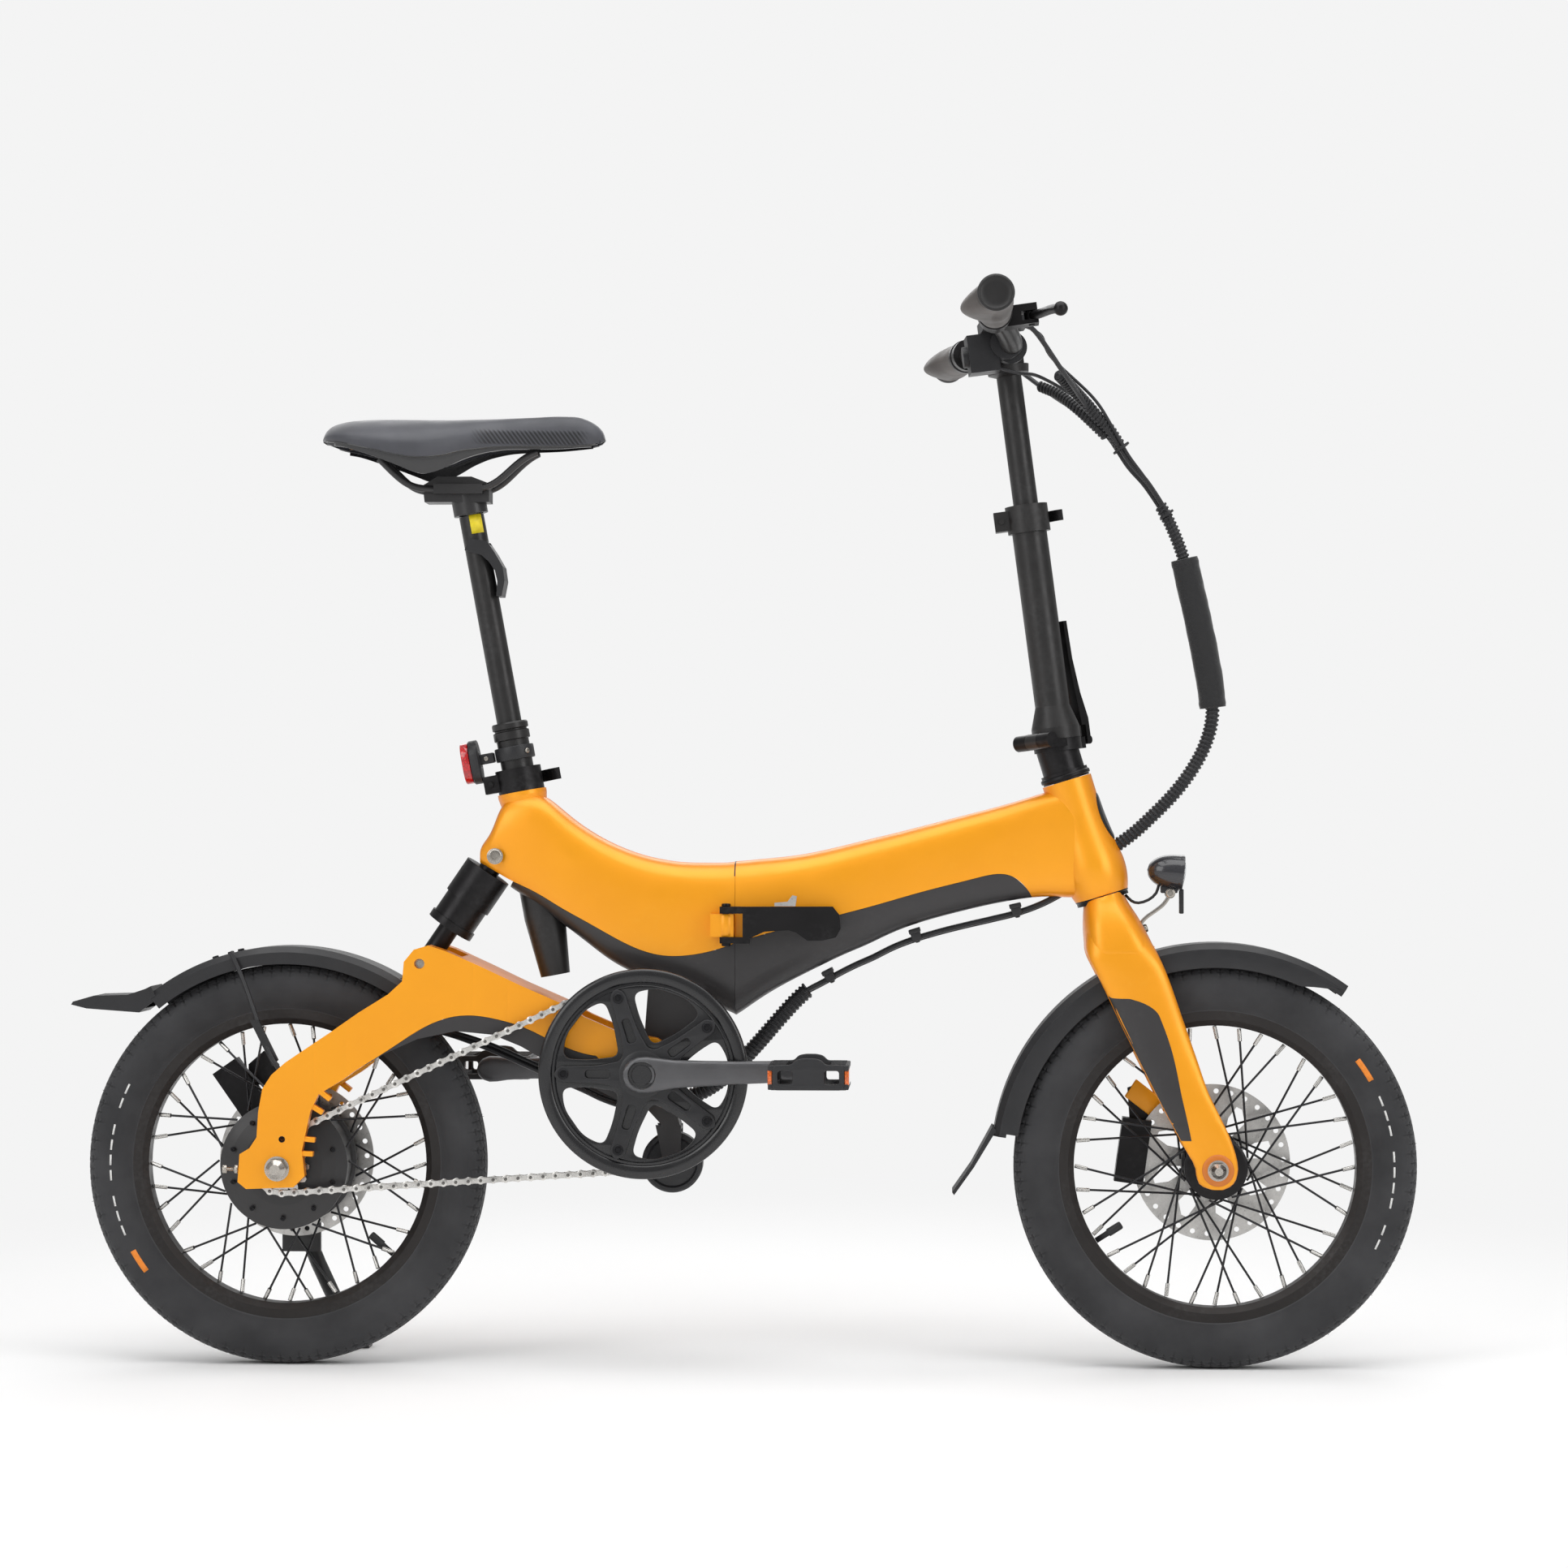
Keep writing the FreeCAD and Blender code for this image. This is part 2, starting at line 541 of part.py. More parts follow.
def chain():
    """Two rows of plates, and the rollers of both straight runs."""
    rise, run = BB[1] - REAR_AXLE[1], BB[0] - REAR_AXLE[0]
    base = math.atan2(rise, run)
    spread = math.asin((RING_RADIUS - SPROCKET_RADIUS) / math.hypot(run, rise))
    # outward normals of the upper and lower run
    normals = [(-math.sin(base + sign * spread) * sign, math.cos(base + sign * spread) * sign)
               for sign in (1, -1)]

    def loop(offset, y):
        def point(centre, radius, normal):
            reach = radius + offset
            return Vector(centre[0] + reach * normal[0], y, centre[1] + reach * normal[1])
        forward = (math.cos(base), math.sin(base))
        back = (-forward[0], -forward[1])
        corner1 = point(REAR_AXLE, SPROCKET_RADIUS, normals[0])
        corner2 = point(BB, RING_RADIUS, normals[0])
        corner3 = point(BB, RING_RADIUS, normals[1])
        corner4 = point(REAR_AXLE, SPROCKET_RADIUS, normals[1])
        front = point(BB, RING_RADIUS, forward)
        rear = point(REAR_AXLE, SPROCKET_RADIUS, back)
        return Part.Wire([Part.makeLine(corner1, corner2),
                          Part.Arc(corner2, front, corner3).toShape(),
                          Part.makeLine(corner3, corner4),
                          Part.Arc(corner4, rear, corner1).toShape()])

    rows = []
    for y in (CHAIN_Y - 4.3, CHAIN_Y + 3.0):
        band = Part.Face([loop(3.9, y), loop(-3.9, y)])
        # the two wires may not orient into a valid face
        if band.Area < 0 or not band.isValid():
            band = Part.Face(loop(3.9, y)).cut(Part.Face(loop(-3.9, y)))
        rows.append(band.extrude(Vector(0, 1.3, 0)))
    rollers = []
    pitch = size.chain_pitch
    for normal in normals:
        start = [REAR_AXLE[i] + SPROCKET_RADIUS * normal[i] for i in (0, 1)]
        end = [BB[i] + RING_RADIUS * normal[i] for i in (0, 1)]
        length = math.dist(start, end)
        step_x, step_z = (end[0] - start[0]) / length, (end[1] - start[1]) / length
        count = int(length / pitch)
        first = (length - (count - 1) * pitch) / 2
        for i in range(2, count - 3):
            along = first + i * pitch
            rollers.append(rod_y(3.5, start[0] + step_x * along, start[1] + step_z * along,
                                 CHAIN_Y - 3.6, CHAIN_Y + 3.6))
    return one_solid(fuse(rows + rollers))


feature("chainring", chainring(), **BRACKET)
make_chain_guard()
feature("right_crank", right_crank(), **BRACKET)
feature("left_crank", left_crank(), **BRACKET)
tilt = math.radians(size.crank_tilt)
reach_x, reach_z = size.crank_length * math.cos(tilt), size.crank_length * math.sin(tilt)
for label, side, sign in (("right_pedal", -1, "+"), ("left_pedal", 1, "-")):
    feature(label, pedal(side), x="Sizes.bb_x %s %r" % (sign, reach_x),
            z="Sizes.bb_z %s %r" % (sign, reach_z))
feature("freewheel_sprocket", freewheel(), **REAR_WHEEL)
feature("chain", chain())

# ================================================================ FRAME
SEAT_DIR = leaning(size.seat_angle)
HEAD_DIR = leaning(size.head_angle)
HEAD_TOP = Vector(size.head_top_x, 0, size.head_top_z)
HEAD_LOW = HEAD_TOP - HEAD_DIR * size.head_length
FOLD_X, FOLD_Y = size.fold_x, size.fold_y
KNUCKLE = size.knuckle_radius
KNUCKLE_CLEAR = KNUCKLE + 0.5
KNUCKLE_Z = (392.0, 420.0, 452.0, 480.0)   # joints of the fold hinge, low to high
LATCH_X, LATCH_Y = -18.3, -50
SHOCK_UP = Vector(size.shock_up_x, 0, size.shock_up_z)
SHOCK_LOW = Vector(size.shock_low_x, 0, size.shock_low_z)
SHOCK_DIR = (SHOCK_LOW - SHOCK_UP).normalize()   # from the upper to the lower bolt
SHOCK_NORMAL = Vector(-SHOCK_DIR.z, 0, SHOCK_DIR.x)
EYE_HALF = 14.0
BOLT_RADIUS = 5.0
BRACKET_JOURNAL = 17.0

# Skins of the two frame halves: (x, z) of the top, (x, z) of the bottom, (x, half width)
REAR_SKIN = (
    [(-271, 524), (-262, 540), (-254, 557), (-247, 571), (-240, 577), (-226, 581), (-210, 580),
     (-200, 574), (-189, 565), (-167, 548), (-140, 532), (-112, 520.5), (-85.7, 513.9),
     (-59, 510.7), (-33, 510.4), (-10, 512)],
    [(-271, 508), (-262, 502), (-250, 493), (-242.5, 487), (-217.7, 470.4), (-180.6, 443.3),
     (-127, 404.7), (-60, 377), (-10, 356)],
    [(-271, 17), (-262, 24), (-250, 28), (-235, 31), (-212, 34), (-182, 36), (-150, 37.5),
     (-112, 38.5), (-60, 39.5), (-10, 40)])
FRONT_SKIN = (
    [(-10, 512), (50, 518), (129, 535.4), (207, 555), (273, 572.4), (294, 579), (320, 586),
     (340, 590)],
    [(-10, 356), (27.8, 381), (72, 404.2), (103, 419.0), (130, 430.5), (155.8, 442.8),
     (207, 458.5), (270, 472.4), (300, 476), (340, 476.5)],
    [(-10, 40), (30, 40), (75, 39), (120, 38), (170, 36), (220, 33), (265, 30), (300, 27.5),
     (340, 25)])
# Seams (x, z) between shell and cover
REAR_SEAM = [(-285, 516), (-262, 506), (-241.7, 494.4), (-215.3, 482.0), (-188.9, 466.5),
             (-163.4, 452.5), (-137.0, 437.8), (-110.7, 424.7), (-84.4, 417.4),
             (-58.1, 417.4), (-31.8, 422.4), (-5, 432)]
FRONT_SEAM = [(-15, 429), (20, 439), (62, 450), (95.3, 458.5), (129.7, 467.6),
              (181.2, 482.3), (233.5, 495.5), (254.8, 499.6), (267.8, 498.0),
              (277.6, 492.0), (287.4, 480.8), (292.0, 470.0)]


def seat_point(z):
    """Point of the seat tube's axis at height z."""
    reference = Vector(size.seat_ref_x, 0, size.seat_ref_z)
    return reference + SEAT_DIR * ((z - reference.z) / SEAT_DIR.z)


def between(table, x):
    """Monotone cubic through (x, value) pairs, so the skin never swells between stations."""
    xs, values = zip(*table)
    last = len(xs) - 1
    rise = [(values[i + 1] - values[i]) / (xs[i + 1] - xs[i]) for i in range(last)]
    slope = [rise[0]]
    for before, after in zip(rise[:-1], rise[1:]):
        level = before * after <= 0
        slope.append(0.0 if level else 2 * before * after / (before + after))
    slope.append(rise[-1])
    i = sum(1 for station in xs[1:-1] if station <= x)
    width = xs[i + 1] - xs[i]
    t = (x - xs[i]) / width
    return ((2 * t ** 3 - 3 * t ** 2 + 1) * values[i]
            + (t ** 3 - 2 * t ** 2 + t) * width * slope[i]
            + (-2 * t ** 3 + 3 * t ** 2) * values[i + 1]
            + (t ** 3 - t ** 2) * width * slope[i + 1])


def skin_loft(skin, xs, wall=0.0):
    """Loft of a skin at stations xs, moved inwards by the wall."""
    top, bottom, width = skin
    return loft([(x, between(bottom, x) + wall * 1.15, between(top, x) - wall * 1.15,
                  between(width, x) - wall) for x in xs])


def below_seam(seam, drop=0.0):
    floor = 330.0
    return below_curve(seam, drop, [(seam[-1][0], floor), (seam[0][0], floor)], 70)


def shock_box(near, far, half_normal, half_y):
    """Block along the shock's axis, measured from the upper bolt."""
    corners = [SHOCK_UP + SHOCK_DIR * along + SHOCK_NORMAL * offset for along, offset in (
        (near, half_normal), (far, half_normal), (far, -half_normal), (near, -half_normal))]
    return prism([(corner.x, corner.z) for corner in corners], -half_y, half_y)


REAR_OUT = skin_loft(REAR_SKIN, [-271, -264, -256, -247, -237, -226, -213, -199, -184, -168,
                                 -151, -133, -114, -94, -73, -52, -31, FOLD_X - size.fold_gap])
REAR_IN = skin_loft(REAR_SKIN, [-213, -199, -184, -168, -151, -133, -114, -94, -73, -52, -33,
                                FOLD_X - 9], size.shell_wall)
FRONT_OUT = skin_loft(FRONT_SKIN, [FOLD_X + size.fold_gap, 12, 34, 56, 78, 100, 122, 145, 168,
                                   192, 216, 240, 264, 288, 312, 338])
FRONT_IN = skin_loft(FRONT_SKIN, [FOLD_X + 9, 14, 34, 56, 78, 100, 122, 145, 168, 192, 216,
                                  240, 264, 288], size.shell_wall)


def rear_frame():
    """Rear shell with seat tube, outer hinge knuckles, hinge pin and latch lug."""
    tube = size.seat_tube_radius
    foot, top = seat_point(455), seat_point(583)
    low, inner_low, inner_high, high = KNUCKLE_Z
    solid = fuse([
        REAR_OUT.cut(REAR_IN).cut(below_seam(REAR_SEAM)),
        rod(tube, foot, SEAT_DIR, (top - foot).Length),
        Part.makeCone(15.0, tube, 60, foot - SEAT_DIR * 60, SEAT_DIR),
        Part.makeCone(tube, 25.0, 22, top - SEAT_DIR * 26, SEAT_DIR),
        rod(25.0, top - SEAT_DIR * 4, SEAT_DIR, 4),
        rod_z(KNUCKLE, FOLD_X, FOLD_Y, low, inner_low),
        rod_z(KNUCKLE, FOLD_X, FOLD_Y, inner_high, high),
        box(FOLD_X - 26, FOLD_X - 0.3, 30, FOLD_Y, low, inner_low),
        box(FOLD_X - 26, FOLD_X - 0.3, 30, FOLD_Y, inner_high, high),
        rod_z(size.pin_radius, FOLD_X, FOLD_Y, low - 3, high + 3),
        box(-34, -10.4, -58, -34, 436.5, 459.5)])
    solid = solid.cut(rod(size.outer_post_radius + GAP, seat_point(412), SEAT_DIR, 200))
    # the front half's knuckle turns round the pin here
    knuckle_room = rod_z(KNUCKLE_CLEAR, FOLD_X, FOLD_Y, inner_low - 0.5, inner_high + 0.5).cut(
        rod_z(size.pin_radius + 0.01, FOLD_X, FOLD_Y, low, low + 100))
    solid = solid.cut(fuse([shock_box(-17.5, 60, 17.5, EYE_HALF + 0.4), knuckle_room]))
    solid = solid.cut(rod_y(BOLT_RADIUS + GAP, SHOCK_UP.x, SHOCK_UP.z, -60, 60))
    return one_solid(solid.cut(rod_z(3.06, LATCH_X, LATCH_Y, 425, 485)))


def rear_frame_cover():
    cover = REAR_OUT.cut(REAR_IN).common(below_seam(REAR_SEAM, size.cover_gap))
    clear = size.seat_tube_radius + 0.3
    return one_solid(cover.cut(fuse([
        rod(clear, seat_point(440), SEAT_DIR, 160),
        Part.makeCone(15.3, clear, 60.4, seat_point(455) - SEAT_DIR * 60.4, SEAT_DIR),
        rod_z(KNUCKLE_CLEAR, FOLD_X, FOLD_Y, 385, 485),
        shock_box(-17.5, 80, 29, EYE_HALF + 18),
        box(FOLD_X - 26.5, FOLD_X, 29.5, FOLD_Y, KNUCKLE_Z[0] - 0.5, KNUCKLE_Z[1] + 0.5),
        box(-34.5, -10, -59, -33.5, 436, 460)])))


def crank_hanger():
    """Bottom bracket shell on its hanger, with the trolley wheel's fork below."""
    hanger = fuse([rod_y(21, *BB, -34, 34), rod_y(BRACKET_JOURNAL, *BB, -44, 44),
                   prism([(-118, 305), (-104, 322), (-98, 400), (-42, 392), (-50, 345),
                          (-84, 288)], -20, 20)])
    blade = [(-92, 244), (-66, 244), (-66, 206), (-84, 206)]
    fork_legs = fuse([
        prism([(-116, 284), (-84, 282), (-72, 262), (-66, 240), (-80, 238), (-102, 262)],
              -16, 16),
        prism(blade, -16, -12.5), prism(blade, 12.5, 16),
        rod_y(9.5, *TROLLEY, -16, -12.5), rod_y(9.5, *TROLLEY, 12.5, 16)])
    wheel_room = rod_y(size.trolley_radius + 2.5, *TROLLEY, -12.4, 12.4)
    hanger = fuse([hanger, fork_legs]).cut(wheel_room)
    hanger = fuse([hanger, rod_y(4.0, *TROLLEY, -17.5, 17.5)])
    bore = rod_y(size.spindle_radius + GAP, *BB, -60, 60)
    return biggest(hanger.cut(REAR_OUT).cut(bore))


def make_trolley_wheel():
    tread, shoulder = "Sizes.trolley_radius", "Sizes.trolley_radius - 2"
    body = turned_body("trolley_wheel", [
        (0, 4.08), (0, 12), (2, 13), (3, 24), (0.5, 26), (0.5, shoulder), (2.5, tread),
        (19.5, tread), (21.5, shoulder), (21.5, 26), (19, 24), (20, 13), (22, 12),
        (22, 4.08)])
    place(body, x="Sizes.trolley_x", y="-Sizes.trolley_half", z="Sizes.trolley_z")


def front_frame():
    """Front shell with the head tube and the middle hinge knuckle."""
    low, high = KNUCKLE_Z[1:3]
    solid = fuse([
        FRONT_OUT.cut(FRONT_IN).cut(below_seam(FRONT_SEAM)),
        rod(size.head_radius, HEAD_LOW, HEAD_DIR, size.head_length),
        Part.makeCone(27.5, size.head_radius, 18, HEAD_LOW, HEAD_DIR),
        rod_z(KNUCKLE, FOLD_X, FOLD_Y, low + 0.3, high - 0.3),
        box(FOLD_X + 0.3, FOLD_X + 26, 30, FOLD_Y, low + 0.3, high - 0.3)])
    solid = solid.cut(fuse([rod_z(size.pin_radius + GAP, FOLD_X, FOLD_Y, 380, 500),
                            rod_z(KNUCKLE_CLEAR, FOLD_X, FOLD_Y, low - 40, low),
                            rod_z(KNUCKLE_CLEAR, FOLD_X, FOLD_Y, high, high + 40)]))
    return biggest(solid.cut(rod(size.steerer_radius + GAP, HEAD_LOW - HEAD_DIR * 5, HEAD_DIR,
                                 size.head_length + 10)))


def front_frame_cover():
    cover = FRONT_OUT.cut(FRONT_IN).common(below_seam(FRONT_SEAM, size.cover_gap))
    return biggest(cover.cut(fuse([
        rod_z(KNUCKLE_CLEAR, FOLD_X, FOLD_Y, 370, 510),
        rod(29.0, HEAD_LOW - HEAD_DIR * 10, HEAD_DIR, size.head_length + 10),
        box(FOLD_X, FOLD_X + 27, 29, FOLD_Y + 1, KNUCKLE_Z[1], KNUCKLE_Z[2])])))


def frame_cables():
    """Two cables clipped under the front half."""
    route = [(312, 466), (276, 461), (224, 449), (171, 435), (129, 417), (96, 402),
             (62, 384), (36, 364), (14, 340), (3, 322)]
    cables = [pipe([(x, y, z) for x, z in route], 2.6) for y in (-6.0, 6.0)]
    clips = [box(266, 280, -11, 11, 455.5, 465), box(164, 178, -11, 11, 429, 440),
             box(72, 86, -11, 11, 384, 398)]
    solids = fuse(cables + clips).cut(FRONT_OUT).Solids
    return Part.makeCompound([solid for solid in solids if solid.Volume > 300])


def frame_latch_lever():
    """Lever on its upright pin, folded shut along the right side."""
    lever = prism([(-1, 467), (89.4, 467.2), (95.9, 459.1), (97.5, 445.2), (92.7, 436.3),
                   (78.8, 433.0), (64.1, 433.0), (52.7, 441.1), (45.4, 443.4),
                   (20.9, 442.0), (6.2, 435.3), (-1, 431)], -64, -55)
    strap = [(LATCH_X - 6, -59.5), (LATCH_X - 3, -62.0), (6, -64), (6, -55),
             (LATCH_X + 2, -43.2), (LATCH_X - 5.5, -43.2)]
    return one_solid(fuse([lever, plan(strap, 460.0, 467.0), plan(strap, 430.0, 436.2),
                           rod_z(3.0, LATCH_X, LATCH_Y, 428.5, 469.5)]))


feature("rear_frame", rear_frame())
feature("rear_frame_cover", rear_frame_cover())
feature("crank_hanger", crank_hanger())
make_trolley_wheel()
feature("front_frame", front_frame())
feature("front_frame_cover", front_frame_cover())
feature("frame_cables", frame_cables())
feature("frame_latch_lever", frame_latch_lever())
feature("latch_catch", prism([(31, 467.5), (52, 467.5), (53.5, 477.5), (49, 478.5), (44, 472),
                              (31, 471)], -63, -57))

# ================================================================ SEAT
SEAT_TURN = Rotation(Y, -size.seat_angle)
COLLAR_Z, TAIL_LIGHT_Z = 583.2, 611.5
OUTER_POST, INNER_BORE = "Sizes.outer_post_radius", "Sizes.inner_post_radius + Sizes.running_gap"
OUTER_BEAD = "Sizes.outer_post_radius + 2"
# (radius, z) of the two seat posts
OUTER_SEATPOST = [
    (INNER_BORE, 0), (OUTER_POST, 0), (OUTER_POST, 222), (OUTER_BEAD, 223), (OUTER_BEAD, 231),
    (OUTER_POST, 232), (OUTER_POST, 233), (OUTER_BEAD, 234), (OUTER_BEAD, 239),
    ("Sizes.outer_post_radius + 1", 240.5), (INNER_BORE, 240.5)]
INNER_SEATPOST = [
    ("Sizes.inner_post_radius - 2.4", 0), ("Sizes.inner_post_radius", 0),
    ("Sizes.inner_post_radius", 318), ("Sizes.inner_post_radius - 2.4", 318)]
# (x, bottom, top, half width), tail to nose
SADDLE_OUTSIDE = [
    (-430, 933, 951, 34), (-418, 930, 958, 62), (-395, 927, 962, 76), (-365, 923, 963, 80),
    (-335, 921, 962, 76), (-305, 922, 962, 62), (-275, 926, 963, 45), (-245, 930, 964.5, 32),
    (-215, 932, 966, 25), (-185, 933, 967, 21), (-160, 935, 963, 17), (-145, 940, 954, 9)]
SADDLE_HOLLOW = [
    (-440, 905, 934, 70), (-395, 905, 935, 62), (-335, 900, 936, 58), (-275, 900, 939, 30),
    (-230, 905, 941, 18), (-190, 910, 941, 12), (-166, 915, 939, 8)]


def make_seatpost(label, profile, z):
    foot = seat_point(z)
    place(turned_body(label, profile, about_z=True), x=foot.x, z=foot.z, rotation=SEAT_TURN)


def on_seat(shape, z):
    """Move a shape drawn about the tube's axis to height z."""
    return placed(shape, Placement(seat_point(z), SEAT_TURN))


def seat_collar():
    """Split ring with ears behind, and its cross skewer."""
    collar = rod_z(size.collar_radius, 0, 0, 0, size.collar_height)
    collar = collar.fuse(box(-36, -15, -11, 11, 3, 21))
    collar = collar.cut(rod_z(size.outer_post_radius + 0.12, 0, 0, -5, 55))
    collar = one_solid(collar.cut(box(-50, -10, -1.2, 1.2, -1, 40)))
    return one_solid(on_seat(fuse([collar, rod_y(2.9, -29, 12, -15, 13)]), COLLAR_Z))


def quick_lever(pivot, points, z0, z1):
    """Curved lever round the left of a tube, along inner points (x, y) about its axis."""
    inner = [Vector(x, y, z0) for x, y in points]
    outer = []
    last = len(inner) - 1
    for i, point in enumerate(inner):
        tangent = (inner[min(i + 1, last)] - inner[max(i - 1, 0)]).normalize()
        normal = Vector(-tangent.y, tangent.x, 0)
        outer.append(point + normal * (5.0 if i < last else 3.0))
    wire = Part.Wire([spline(inner).toShape(), Part.makeLine(inner[-1], outer[-1]),
                      spline(outer[::-1]).toShape(), Part.makeLine(outer[0], inner[0])])
    blade = Part.Face(wire).extrude(Vector(0, 0, z1 - z0))
    return one_solid(fuse([blade, rod_z(6.0, *pivot, z0, z1)]))


def tail_light():
    """Lamp clamped round the outer post, and its lens behind."""
    def upright_slot(radius, x, depth):
        return fuse([rod(radius, Vector(x, 0, 2.5), -X, depth),
                     rod(radius, Vector(x, 0, 15.5), -X, depth),
                     box(x - depth, x, -radius, radius, 2.5, 15.5)])
    clamp = fuse([rod_z(size.outer_post_radius + 3.5, 0, 0, 0, 16),
                  box(-36, -14, -8, 8, 2, 13)])
    clamp = clamp.cut(rod_z(size.outer_post_radius + 0.1, 0, 0, -5, 35))
    lamp = one_solid(clamp.fuse(upright_slot(16, -36, 12)))
    lens = one_solid(upright_slot(14.5, -48.1, 6))
    return Part.makeCompound([on_seat(lamp, TAIL_LIGHT_Z), on_seat(lens, TAIL_LIGHT_Z)])


def seatpost_lever():
    """Lever round the inner post, reaching down in front of it."""
    lever = prism([(-287, 829), (-282, 841), (-264, 838), (-256, 826), (-248, 812),
                   (-246, 798), (-249, 782), (-254.5, 782), (-253.5, 797), (-256, 808),
                   (-262, 817), (-270, 824), (-280, 827)], -17.5, 17.5)
    lever = lever.cut(rod(size.inner_post_radius + 0.6, seat_point(760), SEAT_DIR, 120))
    return biggest(lever.cut(box(-330, -262, -13.6, 13.6, 700, 900)))


def saddle():
    return biggest(loft(SADDLE_OUTSIDE, 2.4).cut(loft(SADDLE_HOLLOW, 2.4)))


def saddle_mount(saddle_shape):
    """Clamp on the inner post with the two rails."""
    clamp = fuse([rod(17.5, seat_point(866.2), SEAT_DIR, 22),
                  prism([(-328, 878), (-262, 878), (-262, 897), (-280, 904), (-315, 904),
                         (-330, 895)], -17, 17)])
    depth = (seat_point(867.5) - seat_point(800)).Length
    clamp = clamp.cut(rod(size.inner_post_radius + 0.05, seat_point(800), SEAT_DIR, depth))
    route = [(-372, 34, 921), (-356, 30, 905), (-340, 24, 894), (-322, 20.5, 891),
             (-290, 20.5, 891), (-262, 20.5, 894), (-236, 17, 914), (-214, 10, 929)]
    rails = [pipe([(x, side * y, z) for x, y, z in route], 3.6) for side in (-1, 1)]
    clamp = fuse([clamp] + rails + [box(-318, -268, -24.5, 24.5, 886, 896)])
    return biggest(clamp.cut(saddle_shape))


make_seatpost("outer_seatpost", OUTER_SEATPOST, 417.0)
make_seatpost("inner_seatpost", INNER_SEATPOST, 552.0)
feature("seat_collar", seat_collar())
feature("seat_collar_lever", on_seat(quick_lever(
    (-29, 21.0), [(-29, 19.5), (-14, 27.5), (2, 27.8), (16, 22.5), (27, 13.0), (40, 6.0)],
    6, 18), COLLAR_Z))
feature("tail_light", tail_light())
feature("seatpost_lever", seatpost_lever())
saddle_shape = saddle()
feature("saddle_mount", saddle_mount(saddle_shape))
feature("saddle", saddle_shape)

# ================================================================ SUSPENSION ARM
# (x, z) outline of the swingarm from the side
SWING_SIDE = prism([
    (-500.4, 183.0), (-452.6, 184.8), (-441.1, 196.3), (-444.0, 221.7), (-435.4, 261.0),
    (-427.2, 278.2), (-404.1, 292.2), (-387.6, 303.7), (-364.6, 317.7), (-330, 333),
    (-292.3, 340.7), (-255, 337), (-226.5, 325.4), (-203.6, 312.3), (-165, 290),
    (-130, 272), (-101, 263), (-75, 272), (-64, 299), (-72, 323), (-88, 334),
    (-109.3, 337.9), (-129.8, 341.1), (-161.8, 354.9), (-187.2, 369.6), (-226.6, 386.7),
    (-266, 405.4), (-302.2, 421.7), (-319.4, 427.4), (-333.4, 423.3), (-343.3, 411.0),
    (-344.9, 391.4), (-358.9, 378.3), (-387.7, 360.2), (-415.7, 340.5), (-461, 310.1),
    (-475, 297.7), (-484, 283.8), (-488.1, 260.8), (-489.8, 235.0), (-497, 224),
    (-507, 218), (-509, 190)], -90, 90)
SWING_SEAM = [(-395, 299), (-387.6, 303.9), (-358.9, 322.0), (-321.9, 345.6),
              (-293.9, 355.5), (-260.2, 354.7), (-239.7, 349.9), (-226.6, 345.8),
              (-203.6, 335.2), (-174.9, 322.2), (-150, 316)]


def whole_swingarm():
    """Both arms, the bridge and the kickstand block, before the cover is parted."""
    inner, outer = size.swing_inner, size.swing_outer
    drop_in, drop_out = size.dropout_inner, size.dropout_outer
    arm_plan = [(-515, drop_out), (-432, drop_out), (-400, drop_out - 4), (-330, outer + 12),
                (-275, outer + 1.5), (-240, outer), (-60, outer), (-60, inner),
                (-305, inner), (-330, inner + 4), (-380, inner + 15), (-425, drop_in),
                (-515, drop_in)]
    arms = [SWING_SIDE.common(plan([(x, side * y) for x, y in arm_plan], 150, 460))
            for side in (1, -1)]
    bridge = SWING_SIDE.common(box(-352, -176, -inner, inner, 300, 440))
    bridge = bridge.cut(rod_y(230.5, *REAR_AXLE, -60, 60))
    swing = fuse(arms + [bridge])
    swing = swing.cut(shock_box(40, 148.1, 29.5, EYE_HALF + 0.4).fuse(
        shock_box(40, 113, 29.5, 27.5)))
    swing = swing.cut(fuse([
        rod_y(BRACKET_JOURNAL + GAP, *BB, -60, 60),
        rod_y(size.rear_axle_radius + 0.05, *REAR_AXLE, -90, 90),
        rod_y(BOLT_RADIUS + GAP, SHOCK_LOW.x, SHOCK_LOW.z, -60, 60)]))
    block = fuse([box(-486, -446, drop_in, drop_out, 150, 190),
                  box(-486, -446, drop_in, drop_in + 6, 106, 152)])
    # the eye for the rear mudguard stay runs through both dropouts
    return fuse([swing, block]).cut(rod_y(2.5, -464.2, 233.0, -90, 90))


def below_swing_seam(drop):
    corner_z = SWING_SEAM[-1][1] - drop - 24
    corners = [(-128, corner_z), (-128, 240), (-330, 240), (-405, 275)]
    return below_curve(SWING_SEAM, drop, corners, 90)


def swingarm(swing):
    return biggest(swing.cut(below_swing_seam(0.0).cut(rod_y(31, *BB, -90, 90))))


def swingarm_cover(swing):
    region = below_swing_seam(size.cover_gap).cut(rod_y(31.4, *BB, -90, 90))
    solids = swing.common(region).Solids
    return Part.makeCompound([solid for solid in solids if solid.Volume > 2000])


